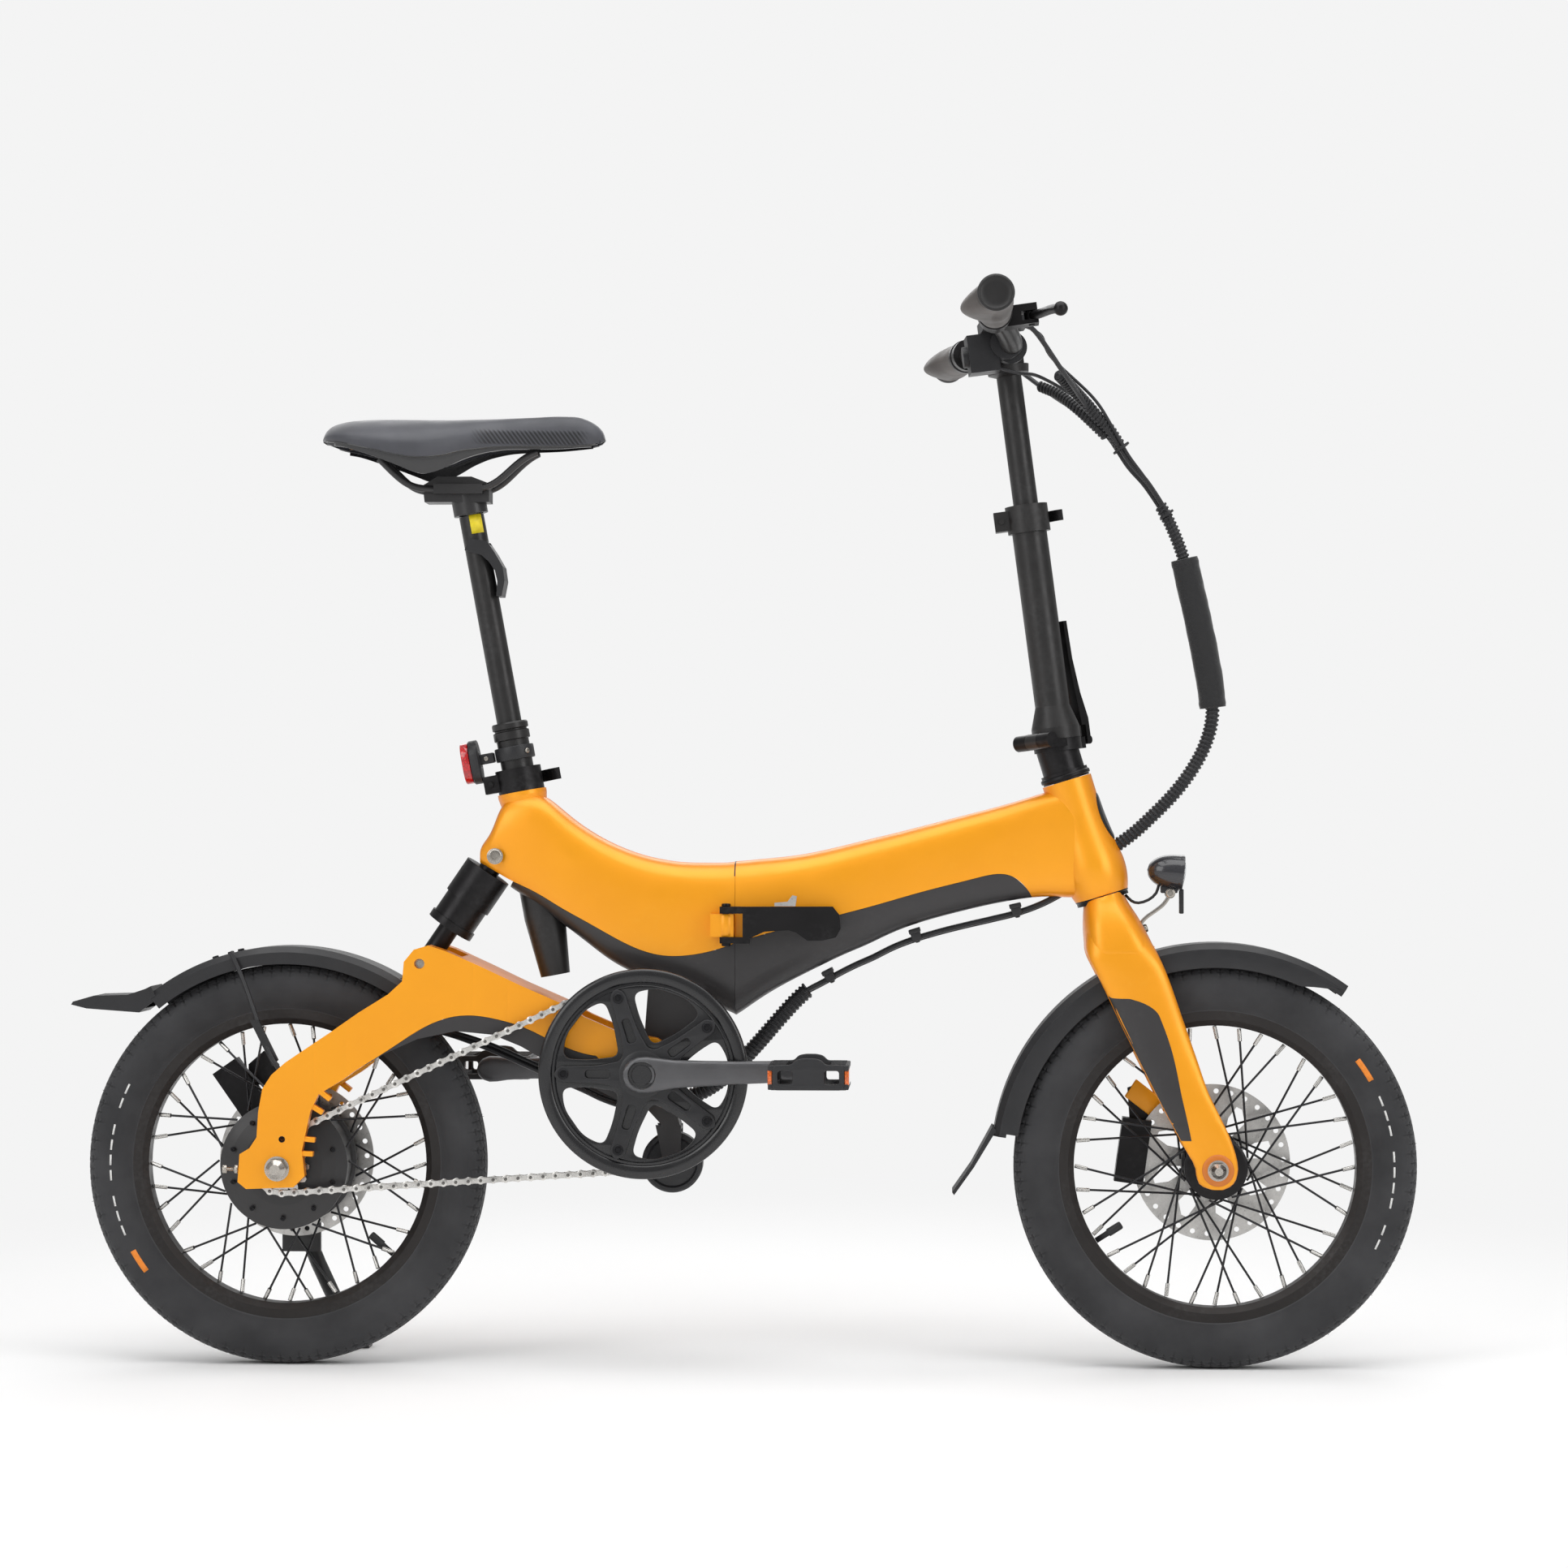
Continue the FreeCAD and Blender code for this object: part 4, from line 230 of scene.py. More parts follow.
def paint(name, light, deep, rough=0.36, coat=0.35, metallic=0.0, flake=0.35):
    """Pearl paint: deeper where the surface turns away from the view, partly pearl flop and partly
    painted shade on the edges, with fine flake and orange peel.
    """
    mat = Surface(name)
    where = mat.coords()
    facing = mat.node("LayerWeight", blend=0.42).outputs["Facing"]
    # light to deep by facing: pearl flop, and painted shade darkening the edges that turn away
    face = mat.mix(mat.remap(facing, ins=(0.05, 0.95)), light, deep)
    cloud = mat.mottle(where, scale=9.0, detail=2.0, ins=(0.35, 0.65), outs=(0.0, 0.10))
    tint = mat.mix(cloud, face, deep)
    flakes = mat.noise(where, scale=5200.0, detail=1.0)
    flake_amount = mat.remap(flakes, ins=(0.62, 0.72), outs=(0.0, flake * 0.22))
    flaked = mat.mix(flake_amount, tint, shade(light, 1.5, lift=0.05))
    specks = mat.mottle(where, scale=160.0, detail=4.0, ins=(0.55, 0.7), outs=(0.0, 0.35))
    chips = mat.math("MULTIPLY", mat.wear(), specks)
    peel = mat.bump(mat.noise(where, scale=420.0, detail=2.0), strength=0.05, distance=0.0004)
    return mat.finish(
        base_color=mat.mix(chips, flaked, shade(light, 1.15, lift=0.04)),
        roughness=mat.mottle(where, scale=38.0, detail=4.0, outs=(rough - 0.05, rough + 0.05)),
        metallic=metallic, coat_weight=coat, coat_roughness=0.16,
        normal=mat.bump(flakes, strength=0.04, distance=0.0002, normal=peel))


def anodised(name, colour, rough=0.34, metallic=0.75, edge=(0.35, 0.35, 0.36), grain=900.0,
             amount=0.05):
    mat = Surface(name)
    where = mat.coords()
    base = mat.mix(mat.mottle(where, scale=26.0, detail=4.0), shade(colour, 0.92),
                   shade(colour, 1.1))
    specks = mat.mottle(where, scale=210.0, detail=5.0, ins=(0.42, 0.66), outs=(0.0, 0.16))
    return mat.finish(
        base_color=mat.mix(mat.math("MULTIPLY", mat.wear(), specks), base, edge),
        metallic=metallic,
        roughness=mat.mottle(where, scale=70.0, detail=5.0, outs=(rough - 0.07, rough + 0.09)),
        normal=mat.bump(mat.noise(where, scale=grain), strength=amount, distance=0.0003))


def moulded(name, colour, rough=0.5, grain=1500.0, amount=0.25, coat=0.0):
    """Moulded plastic: spark-eroded grain, slightly blotchy gloss."""
    mat = Surface(name)
    where = mat.coords()
    pits = mat.cells(where, scale=grain, feature="SMOOTH_F1")
    return mat.finish(
        base_color=mat.mix(mat.mottle(where, scale=30.0, detail=4.0), shade(colour, 0.88),
                           shade(colour, 1.16)),
        roughness=mat.mottle(where, scale=55.0, detail=4.0, outs=(rough - 0.06, rough + 0.07)),
        specular_ior_level=0.45, coat_weight=coat, coat_roughness=0.08,
        normal=mat.bump(pits, strength=amount, distance=0.00012))


def rubber(name, colour, rough=0.62, sheen=0.25):
    mat = Surface(name)
    where = mat.coords()
    base = mat.mix(mat.mottle(where, scale=22.0, detail=5.0, ins=(0.3, 0.72)),
                   shade(colour, 0.85), shade(colour, 1.2))
    specks = mat.mottle(where, scale=120.0, detail=5.0, ins=(0.4, 0.7), outs=(0.0, 0.4))
    dust = mat.math("MULTIPLY", mat.wear(), specks)
    return mat.finish(
        base_color=mat.mix(dust, base, (0.16, 0.155, 0.15)),
        roughness=mat.mottle(where, scale=60.0, detail=4.0, outs=(rough - 0.06, rough + 0.1)),
        specular_ior_level=0.35, sheen_weight=sheen, sheen_roughness=0.5,
        sheen_tint=(0.7, 0.72, 0.76),
        normal=mat.bump(mat.noise(where, scale=1300.0), strength=0.12, distance=0.0002))


def metal(name, colour, rough, scale=260.0, amount=0.12):
    """Bare metal with a fine grain and dark dirt in patches."""
    mat = Surface(name)
    where = mat.coords()
    grain = mat.noise(mat.coords(), scale=scale, detail=6.0, roughness=0.65)
    dirt = mat.mottle(where, scale=34.0, detail=4.0, ins=(0.50, 0.78), outs=(0.0, 0.35))
    clean = mat.mix(mat.remap(grain, ins=(0.3, 0.7)), shade(colour, 0.86), shade(colour, 1.08))
    return mat.finish(
        base_color=mat.mix(dirt, clean, (0.09, 0.085, 0.08)), metallic=1.0,
        roughness=mat.remap(grain, ins=(0.25, 0.75), outs=(max(0.05, rough - 0.08), rough + 0.12)),
        normal=mat.bump(grain, strength=amount, distance=0.00015))


def lens(name, colour):
    """Ribbed lens plastic: its cells are in the bump and in the colour, as a painted highlight in
    each cell's middle and painted shade at its edges.
    """
    mat = Surface(name)
    where = mat.coords()
    corners = mat.cells(where, scale=420.0)
    # painted highlight in the cells' middles, painted shade at their edges
    return mat.finish(
        base_color=mat.mix(mat.remap(corners, ins=(0.0, 0.7)), shade(colour, 1.25),
                           shade(colour, 0.62)),
        roughness=mat.mottle(where, scale=90.0, detail=3.0, outs=(0.08, 0.18)),
        coat_weight=1.0, coat_roughness=0.03,
        subsurface_weight=0.15, subsurface_radius=(0.004, 0.002, 0.001),
        normal=mat.bump(corners, strength=0.35, distance=0.0004))


def clear_lens(name):
    mat = Surface(name)
    where = mat.coords()
    wave = mat.node("TexWave", vector=where, scale=180.0)
    wave.bands_direction = "Y"
    return mat.finish(
        base_color=(0.92, 0.95, 0.97), transmission_weight=0.85, ior=1.49,
        roughness=mat.mottle(where, scale=130.0, detail=3.0, outs=(0.02, 0.09)),
        normal=mat.bump(wave.outputs[1], strength=0.3, distance=0.0006))


def printed(name, colour, rough=0.5):
    mat = Surface(name)
    where = mat.coords()
    worn = mat.mottle(where, scale=240.0, detail=4.0, ins=(0.35, 0.7), outs=(0.0, 0.5))
    return mat.finish(
        base_color=mat.mix(worn, colour, shade(colour, 0.72)),
        roughness=mat.mottle(where, scale=400.0, detail=3.0, outs=(rough - 0.08, rough + 0.12)),
        normal=mat.bump(mat.noise(where, scale=1400.0), strength=0.12, distance=0.0002))


MATS = {
    # each paint's deep colour is partly painted shade, laid where the surface turns away from the
    # view
    "frame_paint": paint("paint_orange", srgb(252, 166, 14), srgb(226, 126, 4),
                         rough=0.36, coat=0.16, metallic=0.28),
    "graphite_paint": paint("paint_graphite", srgb(49, 47, 48), srgb(30, 29, 30),
                            rough=0.46, coat=0.10, flake=0.5),
    "black_paint": paint("paint_black", srgb(40, 39, 40), srgb(24, 24, 25),
                         rough=0.42, coat=0.15, flake=0.2),
    "black_anodised": anodised("black_anodised", srgb(36, 35, 36), rough=0.36),
    "black_plastic": moulded("black_plastic", srgb(36, 36, 38), rough=0.40),
    "grip_rubber": rubber("grip_rubber", srgb(34, 33, 33), rough=0.42, sheen=0.15),
    "black_tube": anodised("black_tube", srgb(43, 42, 42), rough=0.35, metallic=0.35,
                           grain=600.0, amount=0.07),
    "tyre": rubber("tyre_rubber", srgb(74, 74, 80), rough=0.66, sheen=0.35),
    "rim_black": anodised("rim_black", srgb(45, 42, 41), rough=0.40, metallic=0.5),
    "spoke_steel": metal("spoke_black", srgb(58, 58, 60), rough=0.34, scale=500.0),
    "disc_steel": metal("disc_steel", srgb(205, 203, 200), rough=0.30, scale=300.0),
    "chain_steel": metal("chain_steel", srgb(205, 203, 199), rough=0.26, scale=700.0),
    "axle_steel": metal("axle_steel", srgb(196, 190, 182), rough=0.22, scale=500.0),
    "saddle_cover": moulded("saddle_plastic", srgb(52, 52, 54), rough=0.5),
    "guard_plastic": moulded("guard_plastic", srgb(25, 25, 27), rough=0.25, amount=0.10,
                             coat=0.35),
    "cable_jacket": rubber("cable_jacket", srgb(36, 36, 38), rough=0.4, sheen=0.1),
    "pedal_plastic": moulded("pedal_plastic", srgb(40, 40, 42), rough=0.46),
    "red_lens": lens("red_lens", srgb(205, 16, 24)),
    "amber_lens": lens("amber_lens", srgb(236, 108, 22)),
    "clear_lens": clear_lens("clear_lens"),
}

for node_name, cad_node in NODES.items():
    slot_name = next(part["material_slot"] for part in frame["record"]["subparts"]
                     if part["node"] == node_name)
    for polygon in cad_node.data.polygons:
        polygon.material_index = 0
    cad_node.data.materials.clear()
    cad_node.data.materials.append(MATS[slot_name])


# ---------------------------------------------------------------- mesh building
# A mesh here is a pair: its vertices and its faces.
def add_piece(name, mesh, body, slot, material=None, sharp=40):
    """Makes an object riding on body; sharp is the crease angle, or None to smooth it all."""
    verts, faces = mesh
    data = bpy.data.meshes.new(name)
    data.from_pydata([tuple(v) for v in verts], [], faces)
    data.validate()
    work = bmesh.new()
    work.from_mesh(data)
    bmesh.ops.recalc_face_normals(work, faces=work.faces)
    work.to_mesh(data)
    work.free()
    piece = bpy.data.objects.new(name, data)
    bpy.context.scene.collection.objects.link(piece)
    data.materials.append(material or MATS[slot])
    data.polygons.foreach_set("use_smooth", [True] * len(data.polygons))
    if sharp is not None:
        data.set_sharp_from_angle(angle=math.radians(sharp))
    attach(piece, body)
    return piece


def join(parts):
    verts, faces = [], []
    for part_verts, part_faces in parts:
        start = len(verts)
        verts += list(part_verts)
        faces += [tuple(i + start for i in face) for face in part_faces]
    return verts, faces


def ring_faces(count, size, closed):
    """Quads between successive rings of points."""
    faces = []
    for i in range(count if closed else count - 1):
        j = (i + 1) % count
        for k in range(size):
            l = (k + 1) % size
            faces.append((i * size + k, i * size + l, j * size + l, j * size + k))
    return faces


def loft(rings, closed=False, start_forward=False):
    """Skin over rings of points: joined end to end if closed, else capped. The first cap
    runs backwards and the last forwards, or the other way round with start_forward."""
    count, size = len(rings), len(rings[0])
    faces = ring_faces(count, size, closed)
    if not closed:
        first, last = tuple(range(size)), tuple(range((count - 1) * size, count * size))
        faces += [first, last[::-1]] if start_forward else [first[::-1], last]
    return [p for ring in rings for p in ring], faces


def sheet(front, back, columns):
    """Thin closed panel between two grids of points with the same number of columns."""
    base = len(front)
    rows = base // columns
    faces = []
    for i in range(rows - 1):
        for k in range(columns - 1):
            a = i * columns + k
            b = a + columns
            faces.append((a, a + 1, b + 1, b))
            faces.append((base + a, base + b, base + b + 1, base + a + 1))
        a, b = i * columns, (i + 1) * columns
        faces.append((a, b, base + b, base + a))
        a, b = a + columns - 1, b + columns - 1
        faces.append((a, base + a, base + b, b))
    for k in range(columns - 1):
        faces.append((k, base + k, base + k + 1, k + 1))
        b = (rows - 1) * columns + k
        faces.append((b, b + 1, base + b + 1, base + b))
    return list(front) + list(back), faces


def spline(controls, step=0.004):
    """Catmull-Rom through the controls, resampled at about step in their own units."""
    ctrl = [Vector(p) for p in controls]
    ctrl = [ctrl[0] * 2 - ctrl[1]] + ctrl + [ctrl[-1] * 2 - ctrl[-2]]
    out = []
    for i in range(1, len(ctrl) - 2):
        a, b, c, d = ctrl[i - 1:i + 3]
        count = max(2, int((c - b).length / step))
        for k in range(count):
            t = k / count
            out.append(0.5 * ((2 * b) + (c - a) * t + (2 * a - 5 * b + 4 * c - d) * t * t
                              + (3 * b - a - 3 * c + d) * t ** 3))
    out.append(ctrl[-2])
    return out


def running_lengths(path):
    lengths = [0.0]
    for a, b in zip(path, path[1:]):
        lengths.append(lengths[-1] + (b - a).length)
    return lengths


def locate(lengths, stops):
    """Segment number and fraction along it for each of the rising stops."""
    found = []
    i = 0
    for stop in stops:
        while i < len(lengths) - 2 and lengths[i + 1] < stop:
            i += 1
        span = max(1e-9, lengths[i + 1] - lengths[i])
        found.append((i, min(1, (stop - lengths[i]) / span)))
    return found


def path_frames(path):
    """Tangent and two square directions at each point, turned as little as possible."""
    last = len(path) - 1
    tangents = [(path[min(last, i + 1)] - path[max(0, i - 1)]).normalized()
                for i in range(last + 1)]
    up = Z_AXIS if abs(tangents[0].z) < 0.9 else X_AXIS
    first = (up - tangents[0] * up.dot(tangents[0])).normalized()
    out = []
    for i, tangent in enumerate(tangents):
        if i:
            hinge = tangents[i - 1].cross(tangent)
            if hinge.length > 1e-9:
                turn = Quaternion(hinge.normalized(), tangents[i - 1].angle(tangent))
                first = turn @ first
            first = (first - tangent * first.dot(tangent)).normalized()
        out.append((tangent, first, tangent.cross(first)))
    return out


def sweep(path, radius, segments):
    """Tube along the path; radius is a number or a function of 0 to 1."""
    rings = []
    for i, (p, (_, first, second)) in enumerate(zip(path, path_frames(path))):
        r = (radius(i / (len(path) - 1)) if callable(radius) else radius) / 1000
        ring = []
        for k in range(segments):
            angle = 2 * math.pi * k / segments
            ring.append(p + first * (math.cos(angle) * r) + second * (math.sin(angle) * r))
        rings.append(ring)
    return loft(rings)


def square_axes(axis):
    """The axis as a unit vector and two directions square to it."""
    axis = Vector(axis).normalized()
    ref = Z_AXIS if abs(axis.z) < 0.9 else X_AXIS
    first = (ref - axis * ref.dot(axis)).normalized()
    return axis, first, axis.cross(first)


def turned_rings(profile, origin, axis, segments):
    axis, first, second = square_axes(axis)
    rings = []
    for i in range(segments):
        angle = 2 * math.pi * i / segments
        out = first * math.cos(angle) + second * math.sin(angle)
        rings.append([Vector(origin) + out * (r / 1000) + axis * (h / 1000) for r, h in profile])
    return rings


def lathe(profile, origin, axis, segments):
    """Turns a closed profile of (radius, height) about the axis."""
    return loft(turned_rings(profile, origin, axis, segments), closed=True)


def solid_lathe(profile, origin, axis, segments):
    """Turns a profile of (radius, height) that starts and ends on the axis."""
    rings = turned_rings(profile[1:-1], origin, axis, segments)
    axis = Vector(axis).normalized()
    ends = [Vector(origin) + axis * (profile[i][1] / 1000) for i in (0, -1)]
    verts = [ends[0]] + [p for ring in rings for p in ring] + [ends[1]]
    size = len(profile) - 2
    last = len(verts) - 1
    faces = []
    for i in range(segments):
        a, b = 1 + i * size, 1 + (i + 1) % segments * size
        faces.append((0, a, b))
        for q in range(size - 1):
            faces.append((a + q, a + q + 1, b + q + 1, b + q))
        faces.append((last, b + size - 1, a + size - 1))
    return verts, faces


def box(centre, half_x, half_y, half_z, bevel):
    """Box with rounded edges, its half-axis vectors in millimetres."""
    work = bmesh.new()
    bmesh.ops.create_cube(work, size=2.0)
    axes = [Vector(half) / 1000 for half in (half_x, half_y, half_z)]
    place = Matrix(axes).transposed().to_4x4()
    place.translation = Vector(centre)
    for v in work.verts:
        v.co = place @ v.co
    bmesh.ops.bevel(work, geom=list(work.edges), offset=bevel / 1000, segments=3, profile=0.5,
                    affect="EDGES", clamp_overlap=True)
    work.verts.index_update()
    verts = [v.co.copy() for v in work.verts]
    faces = [tuple(v.index for v in face.verts) for face in work.faces]
    work.free()
    return verts, faces


def islands(node):
    """Connected pieces of a CAD node as (polygon indices, high corner), joining vertices
    that share a place."""
    data = node.data
    places = np.zeros(len(data.vertices) * 3)
    data.vertices.foreach_get("co", places)
    places = places.reshape(-1, 3)
    _, merged = np.unique(np.round(places * 1e5).astype(np.int64), axis=0, return_inverse=True)
    merged = merged.ravel()
    parent = list(range(merged.max() + 1))

    def root(a):
        while parent[a] != a:
            parent[a] = parent[parent[a]]
            a = parent[a]
        return a

    for polygon in data.polygons:
        corners = [int(merged[v]) for v in polygon.vertices]
        for corner in corners[1:]:
            a, b = root(corners[0]), root(corner)
            if a != b:
                parent[a] = b
    groups = {}
    for polygon in data.polygons:
        groups.setdefault(root(int(merged[polygon.vertices[0]])), []).append(polygon.index)
    out = []
    for group in groups.values():
        used = sorted({v for i in group for v in data.polygons[i].vertices})
        out.append((group, Vector(places[used].max(0))))
    return out


def material_index(data, material):
    index = data.materials.find(material.name)
    if index < 0:
        data.materials.append(material)
        index = len(data.materials) - 1
    return index


def repaint_islands(node_name, material, test):
    """Gives a CAD node's islands whose high corner passes the test another material."""
    node = NODES[node_name]
    index = material_index(node.data, material)
    for group, high in islands(node):
        if test(high):
            for i in group:
                node.data.polygons[i].material_index = index


def repaint_faces(node_name, material, test):
    """Gives a CAD node's faces whose centre passes the test another material."""
    data = NODES[node_name].data
    index = material_index(data, material)
    for polygon in data.polygons:
        if test(polygon.center):
            polygon.material_index = index


def smooth_table(table):
    """Monotone cubic lookup, so the outline has no kinks."""
    xs = [row[0] for row in table]
    values = [row[1] for row in table]
    count = len(xs)
    rates = [(values[i + 1] - values[i]) / (xs[i + 1] - xs[i]) for i in range(count - 1)]
    slopes = [rates[0]]
    for before, after in zip(rates, rates[1:]):
        slopes.append(0.0 if before * after <= 0 else 2 * before * after / (before + after))
    slopes.append(rates[-1])

    def look_up(x):
        if x <= xs[0]:
            return values[0]
        if x >= xs[-1]:
            return values[-1]
        i = max(i for i in range(count - 1) if xs[i] <= x)
        width = xs[i + 1] - xs[i]
        t = (x - xs[i]) / width
        return hermite(t, values[i], values[i + 1], width * slopes[i], width * slopes[i + 1])
    return look_up


def hermite(t, value0, value1, slope0, slope1):
    return ((2 * t ** 3 - 3 * t ** 2 + 1) * value0 + (t ** 3 - 2 * t ** 2 + t) * slope0
            + (-2 * t ** 3 + 3 * t ** 2) * value1 + (t ** 3 - t ** 2) * slope1)


def curve_table(table, x):
    """Cubic lookup whose slope at a row comes from the rows on either side."""
    if x <= table[0][0]:
        return table[0][1]
    for i in range(len(table) - 1):
        if x <= table[i + 1][0]:
            x0, v0 = table[max(0, i - 1)]
            x1, v1 = table[i]
            x2, v2 = table[i + 1]
            x3, v3 = table[min(len(table) - 1, i + 2)]
            span = x2 - x1
            slope1 = (v2 - v0) / max(1e-6, x2 - x0) * span
            slope2 = (v3 - v1) / max(1e-6, x3 - x1) * span
            return hermite((x - x1) / span, v1, v2, slope1, slope2)
    return table[-1][1]


# ---------------------------------------------------------------- tyres
TYRE_LOW, TYRE_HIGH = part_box("front_tyre")
TYRE_RADIUS = (TYRE_HIGH.z - TYRE_LOW.z) / 2 * 1000
# half section from crown to bead: y, depth below the crown
TYRE_OUTLINE = [
    (0, 0), (7, 0.15), (13, 0.9), (18, 3.4), (22, 8.0), (24.3, 14.0), (24.9, 21.0),
    (23.6, 29.0), (20.6, 36.5), (16.8, 42.5), (15.2, 45.6), (13.2, 46.6)]
# inside of the casing from the bead to the crown: y, depth below the crown
TYRE_LINING = [
    (12.4, 45.2), (14.2, 41.6), (18.6, 33.0), (21.8, 24.0), (21.6, 14.0), (17.0, 6.6),
    (9.0, 4.4), (0, 4.0)]
# sidewall ribs: arc from the crown, height, half width
TYRE_RIBS = ((40.5, 0.35, 0.5), (43.2, 0.45, 0.5), (34.2, 0.22, 0.8), (51.0, 0.3, 0.6))
TREAD_REPEATS = 64
STEPS_PER_REPEAT = 16
TREAD_HALF_ARC = 31.2
WHISKER_TRIES = 150


def tyre_section():
    """Outer line from bead to bead as (y, radius, arc from the crown), finer on the tread."""
    fine = spline([Vector((y, TYRE_RADIUS - depth, 0)) for y, depth in TYRE_OUTLINE], 0.25)
    lengths = running_lengths(fine)
    stops = []
    arc = 0.0
    while arc < lengths[-1]:
        stops.append(arc)
        arc += 0.95 if arc < 31 else 1.9
    stops.append(lengths[-1])
    half = []
    for arc, (i, t) in zip(stops, locate(lengths, stops)):
        p = fine[i].lerp(fine[i + 1], t)
        half.append((p.x, p.y, arc))
    return [(-y, r, -arc) for y, r, arc in reversed(half[1:])] + half


def section_normals(line):
    """Outward directions (y, radial) along the section."""
    normals = []
    for i in range(len(line)):
        a, b = line[max(0, i - 1)], line[min(len(line) - 1, i + 1)]
        along = Vector((b[0] - a[0], b[1] - a[1]))
        along.normalize()
        normals.append((-along.y, along.x))
    return normals


def groove(distance, half):
    """1 inside a groove of this half width, 0 outside, with sloped walls."""
    slope = 0.45
    return clamp((half + slope - abs(distance)) / slope)


def tread(along, across, pitch):
    """Depth of the pattern round and across the tyre, all in millimetres."""
    off = abs(across)
    phase = (along + (0 if across >= 0 else pitch / 2)) % pitch
    # centre: two zigzag grooves and sipes
    zigzag = abs(((along / (pitch / 2)) % 1.0) - 0.5) * 4 - 1
    cuts = [groove(off - (5.2 + 0.9 * zigzag), 0.55), groove(off - (13.4 - 0.8 * zigzag), 0.6)]
    if off < 4.6:
        cuts.append(0.7 * groove(((along + across * 0.9) % (pitch / 4)) - pitch / 8, 0.28))
    if 6.2 < off < 12.6:
        cuts.append(groove(((along - off * 0.8) % (pitch / 3)) - pitch / 6, 0.36))
    # shoulder: long cuts with a cross bar, and shorter ones between them
    from_long, from_short = abs(phase - pitch * 0.25), abs(phase - pitch * 0.75)
    if 14.0 < off < 31.0:
        cuts.append(min(1.0, (31.0 - off) / 1.5) * groove(from_long, 0.62))
        if 21.0 < off < 24.0 and from_long < 3.0:
            cuts.append(groove(off - 22.4, 0.45))
        if off < 24.5:
            cuts.append(groove(from_short, 0.5))
        if 17.6 < off < 20.0 and from_short < 2.6:
            cuts.append(groove(off - 18.8, 0.42))
    if 26.5 < off < 28.5 and from_long < 4.2:
        cuts.append(0.5 * groove(off - 27.4, 0.3))
    return (1.35 if off < 26 else 0.8) * max(cuts)


def tyre_material():
    mat = Surface("tyre_rubber_moulded")
    where = mat.coords()
    base = mat.mix(mat.mottle(where, scale=16.0, detail=5.0, ins=(0.3, 0.72)),
                   srgb(40, 40, 42), srgb(57, 57, 59))
    pointiness = mat.node("NewGeometry").outputs["Pointiness"]
    # painted shade darkens the tread's grooves and hollows, and a painted highlight lightens its
    # sharp edges
    painted_groove_shade = mat.remap(pointiness, ins=(0.49, 0.44), outs=(0.0, 0.75))
    groove_shaded_rubber = mat.mix(painted_groove_shade, base, srgb(18, 18, 19))
    painted_edge_highlight = mat.remap(pointiness, ins=(0.515, 0.56), outs=(0.0, 0.5))
    return mat.finish(
        base_color=mat.mix(painted_edge_highlight, groove_shaded_rubber, srgb(86, 86, 88)),
        roughness=mat.mottle(where, scale=60.0, detail=4.0, outs=(0.58, 0.74)),
        specular_ior_level=0.35, sheen_weight=0.15, sheen_roughness=0.5,
        normal=mat.bump(mat.noise(where, scale=1500.0), strength=0.10, distance=0.0002))


TYRE_RUBBER = tyre_material()
TYRE_LINE = tyre_section()
TYRE_NORMALS = section_normals(TYRE_LINE)


def tyre_carcass(centre):
    steps = TREAD_REPEATS * STEPS_PER_REPEAT
    pitch = 2 * math.pi * TYRE_RADIUS / TREAD_REPEATS
    lining = TYRE_LINING + [(-y, depth) for y, depth in TYRE_LINING[-2::-1]]
    rings = []
    for i in range(steps):
        angle = 2 * math.pi * i / steps
        ring = []
        for (y, r, arc), (out_y, out_r) in zip(TYRE_LINE, TYRE_NORMALS):
            lift = 0.0
            if abs(arc) < TREAD_HALF_ARC:
                lift = -tread(angle * TYRE_RADIUS, arc, pitch)
            for rib, height, half in TYRE_RIBS:
                lift += height * max(0.0, 1 - abs(abs(arc) - rib) / half)
            ring.append(wheel_point(centre, r + out_r * lift, y + out_y * lift, angle))
        ring += [wheel_point(centre, TYRE_RADIUS - depth, y, angle) for y, depth in lining]
        rings.append(ring)
    return loft(rings, closed=True)


def vent_whiskers(centre):
    """Rubber whiskers left by the mould, with none at the very bottom."""
    draw = random.Random(11)
    parts = []
    for _ in range(WHISKER_TRIES):
        angle = draw.uniform(0, 2 * math.pi)
        if math.sin(angle) < -0.93:
            continue
        row = draw.choice([-17.5, -12.0, 12.0, 17.5, -20.5, 20.5])
        i = min(range(len(TYRE_LINE)), key=lambda q: abs(TYRE_LINE[q][2] - row))
        y, r, _ = TYRE_LINE[i]
        out_y, out_r = TYRE_NORMALS[i]
        length = draw.uniform(0.9, 2.0)
        base = Vector((r * math.cos(angle), y, r * math.sin(angle)))
        lean = Vector([draw.uniform(-0.25, 0.25) for _ in range(3)])
        out = Vector((out_r * math.cos(angle), out_y, out_r * math.sin(angle))) + lean
        out.normalize()
        path = [centre + (base + out * reach) / 1000 for reach in (-0.4, length * 0.6, length)]
        parts.append(sweep(path, lambda t: 0.32 * (1 - 0.75 * t), 5))
    return join(parts)


def add_tyre(end, centre):
    body = f"{end}_wheel"
    carcass = add_piece(f"{end}_tyre_moulded", tyre_carcass(centre), body, "tyre", TYRE_RUBBER,
                        sharp=None)
    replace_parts(carcass, f"{end}_tyre")
    add_piece(f"{end}_tyre_moulded_whiskers", vent_whiskers(centre), body, "tyre", TYRE_RUBBER,
              sharp=None)


add_tyre("front", FRONT_AXLE)
add_tyre("rear", REAR_AXLE)

PRINT_WHITE = printed("print_white", srgb(226, 226, 224), rough=0.55)
PRINT_ORANGE = printed("print_orange", srgb(240, 138, 40), rough=0.5)
BAR_STARTS = (20.5, 15.5, 10.5, 2.0, -3.0, -8.0, -13.0, -22.0, -27.0)
BAR_SPAN = 3.4
PATCH = (29.5, 37.5)


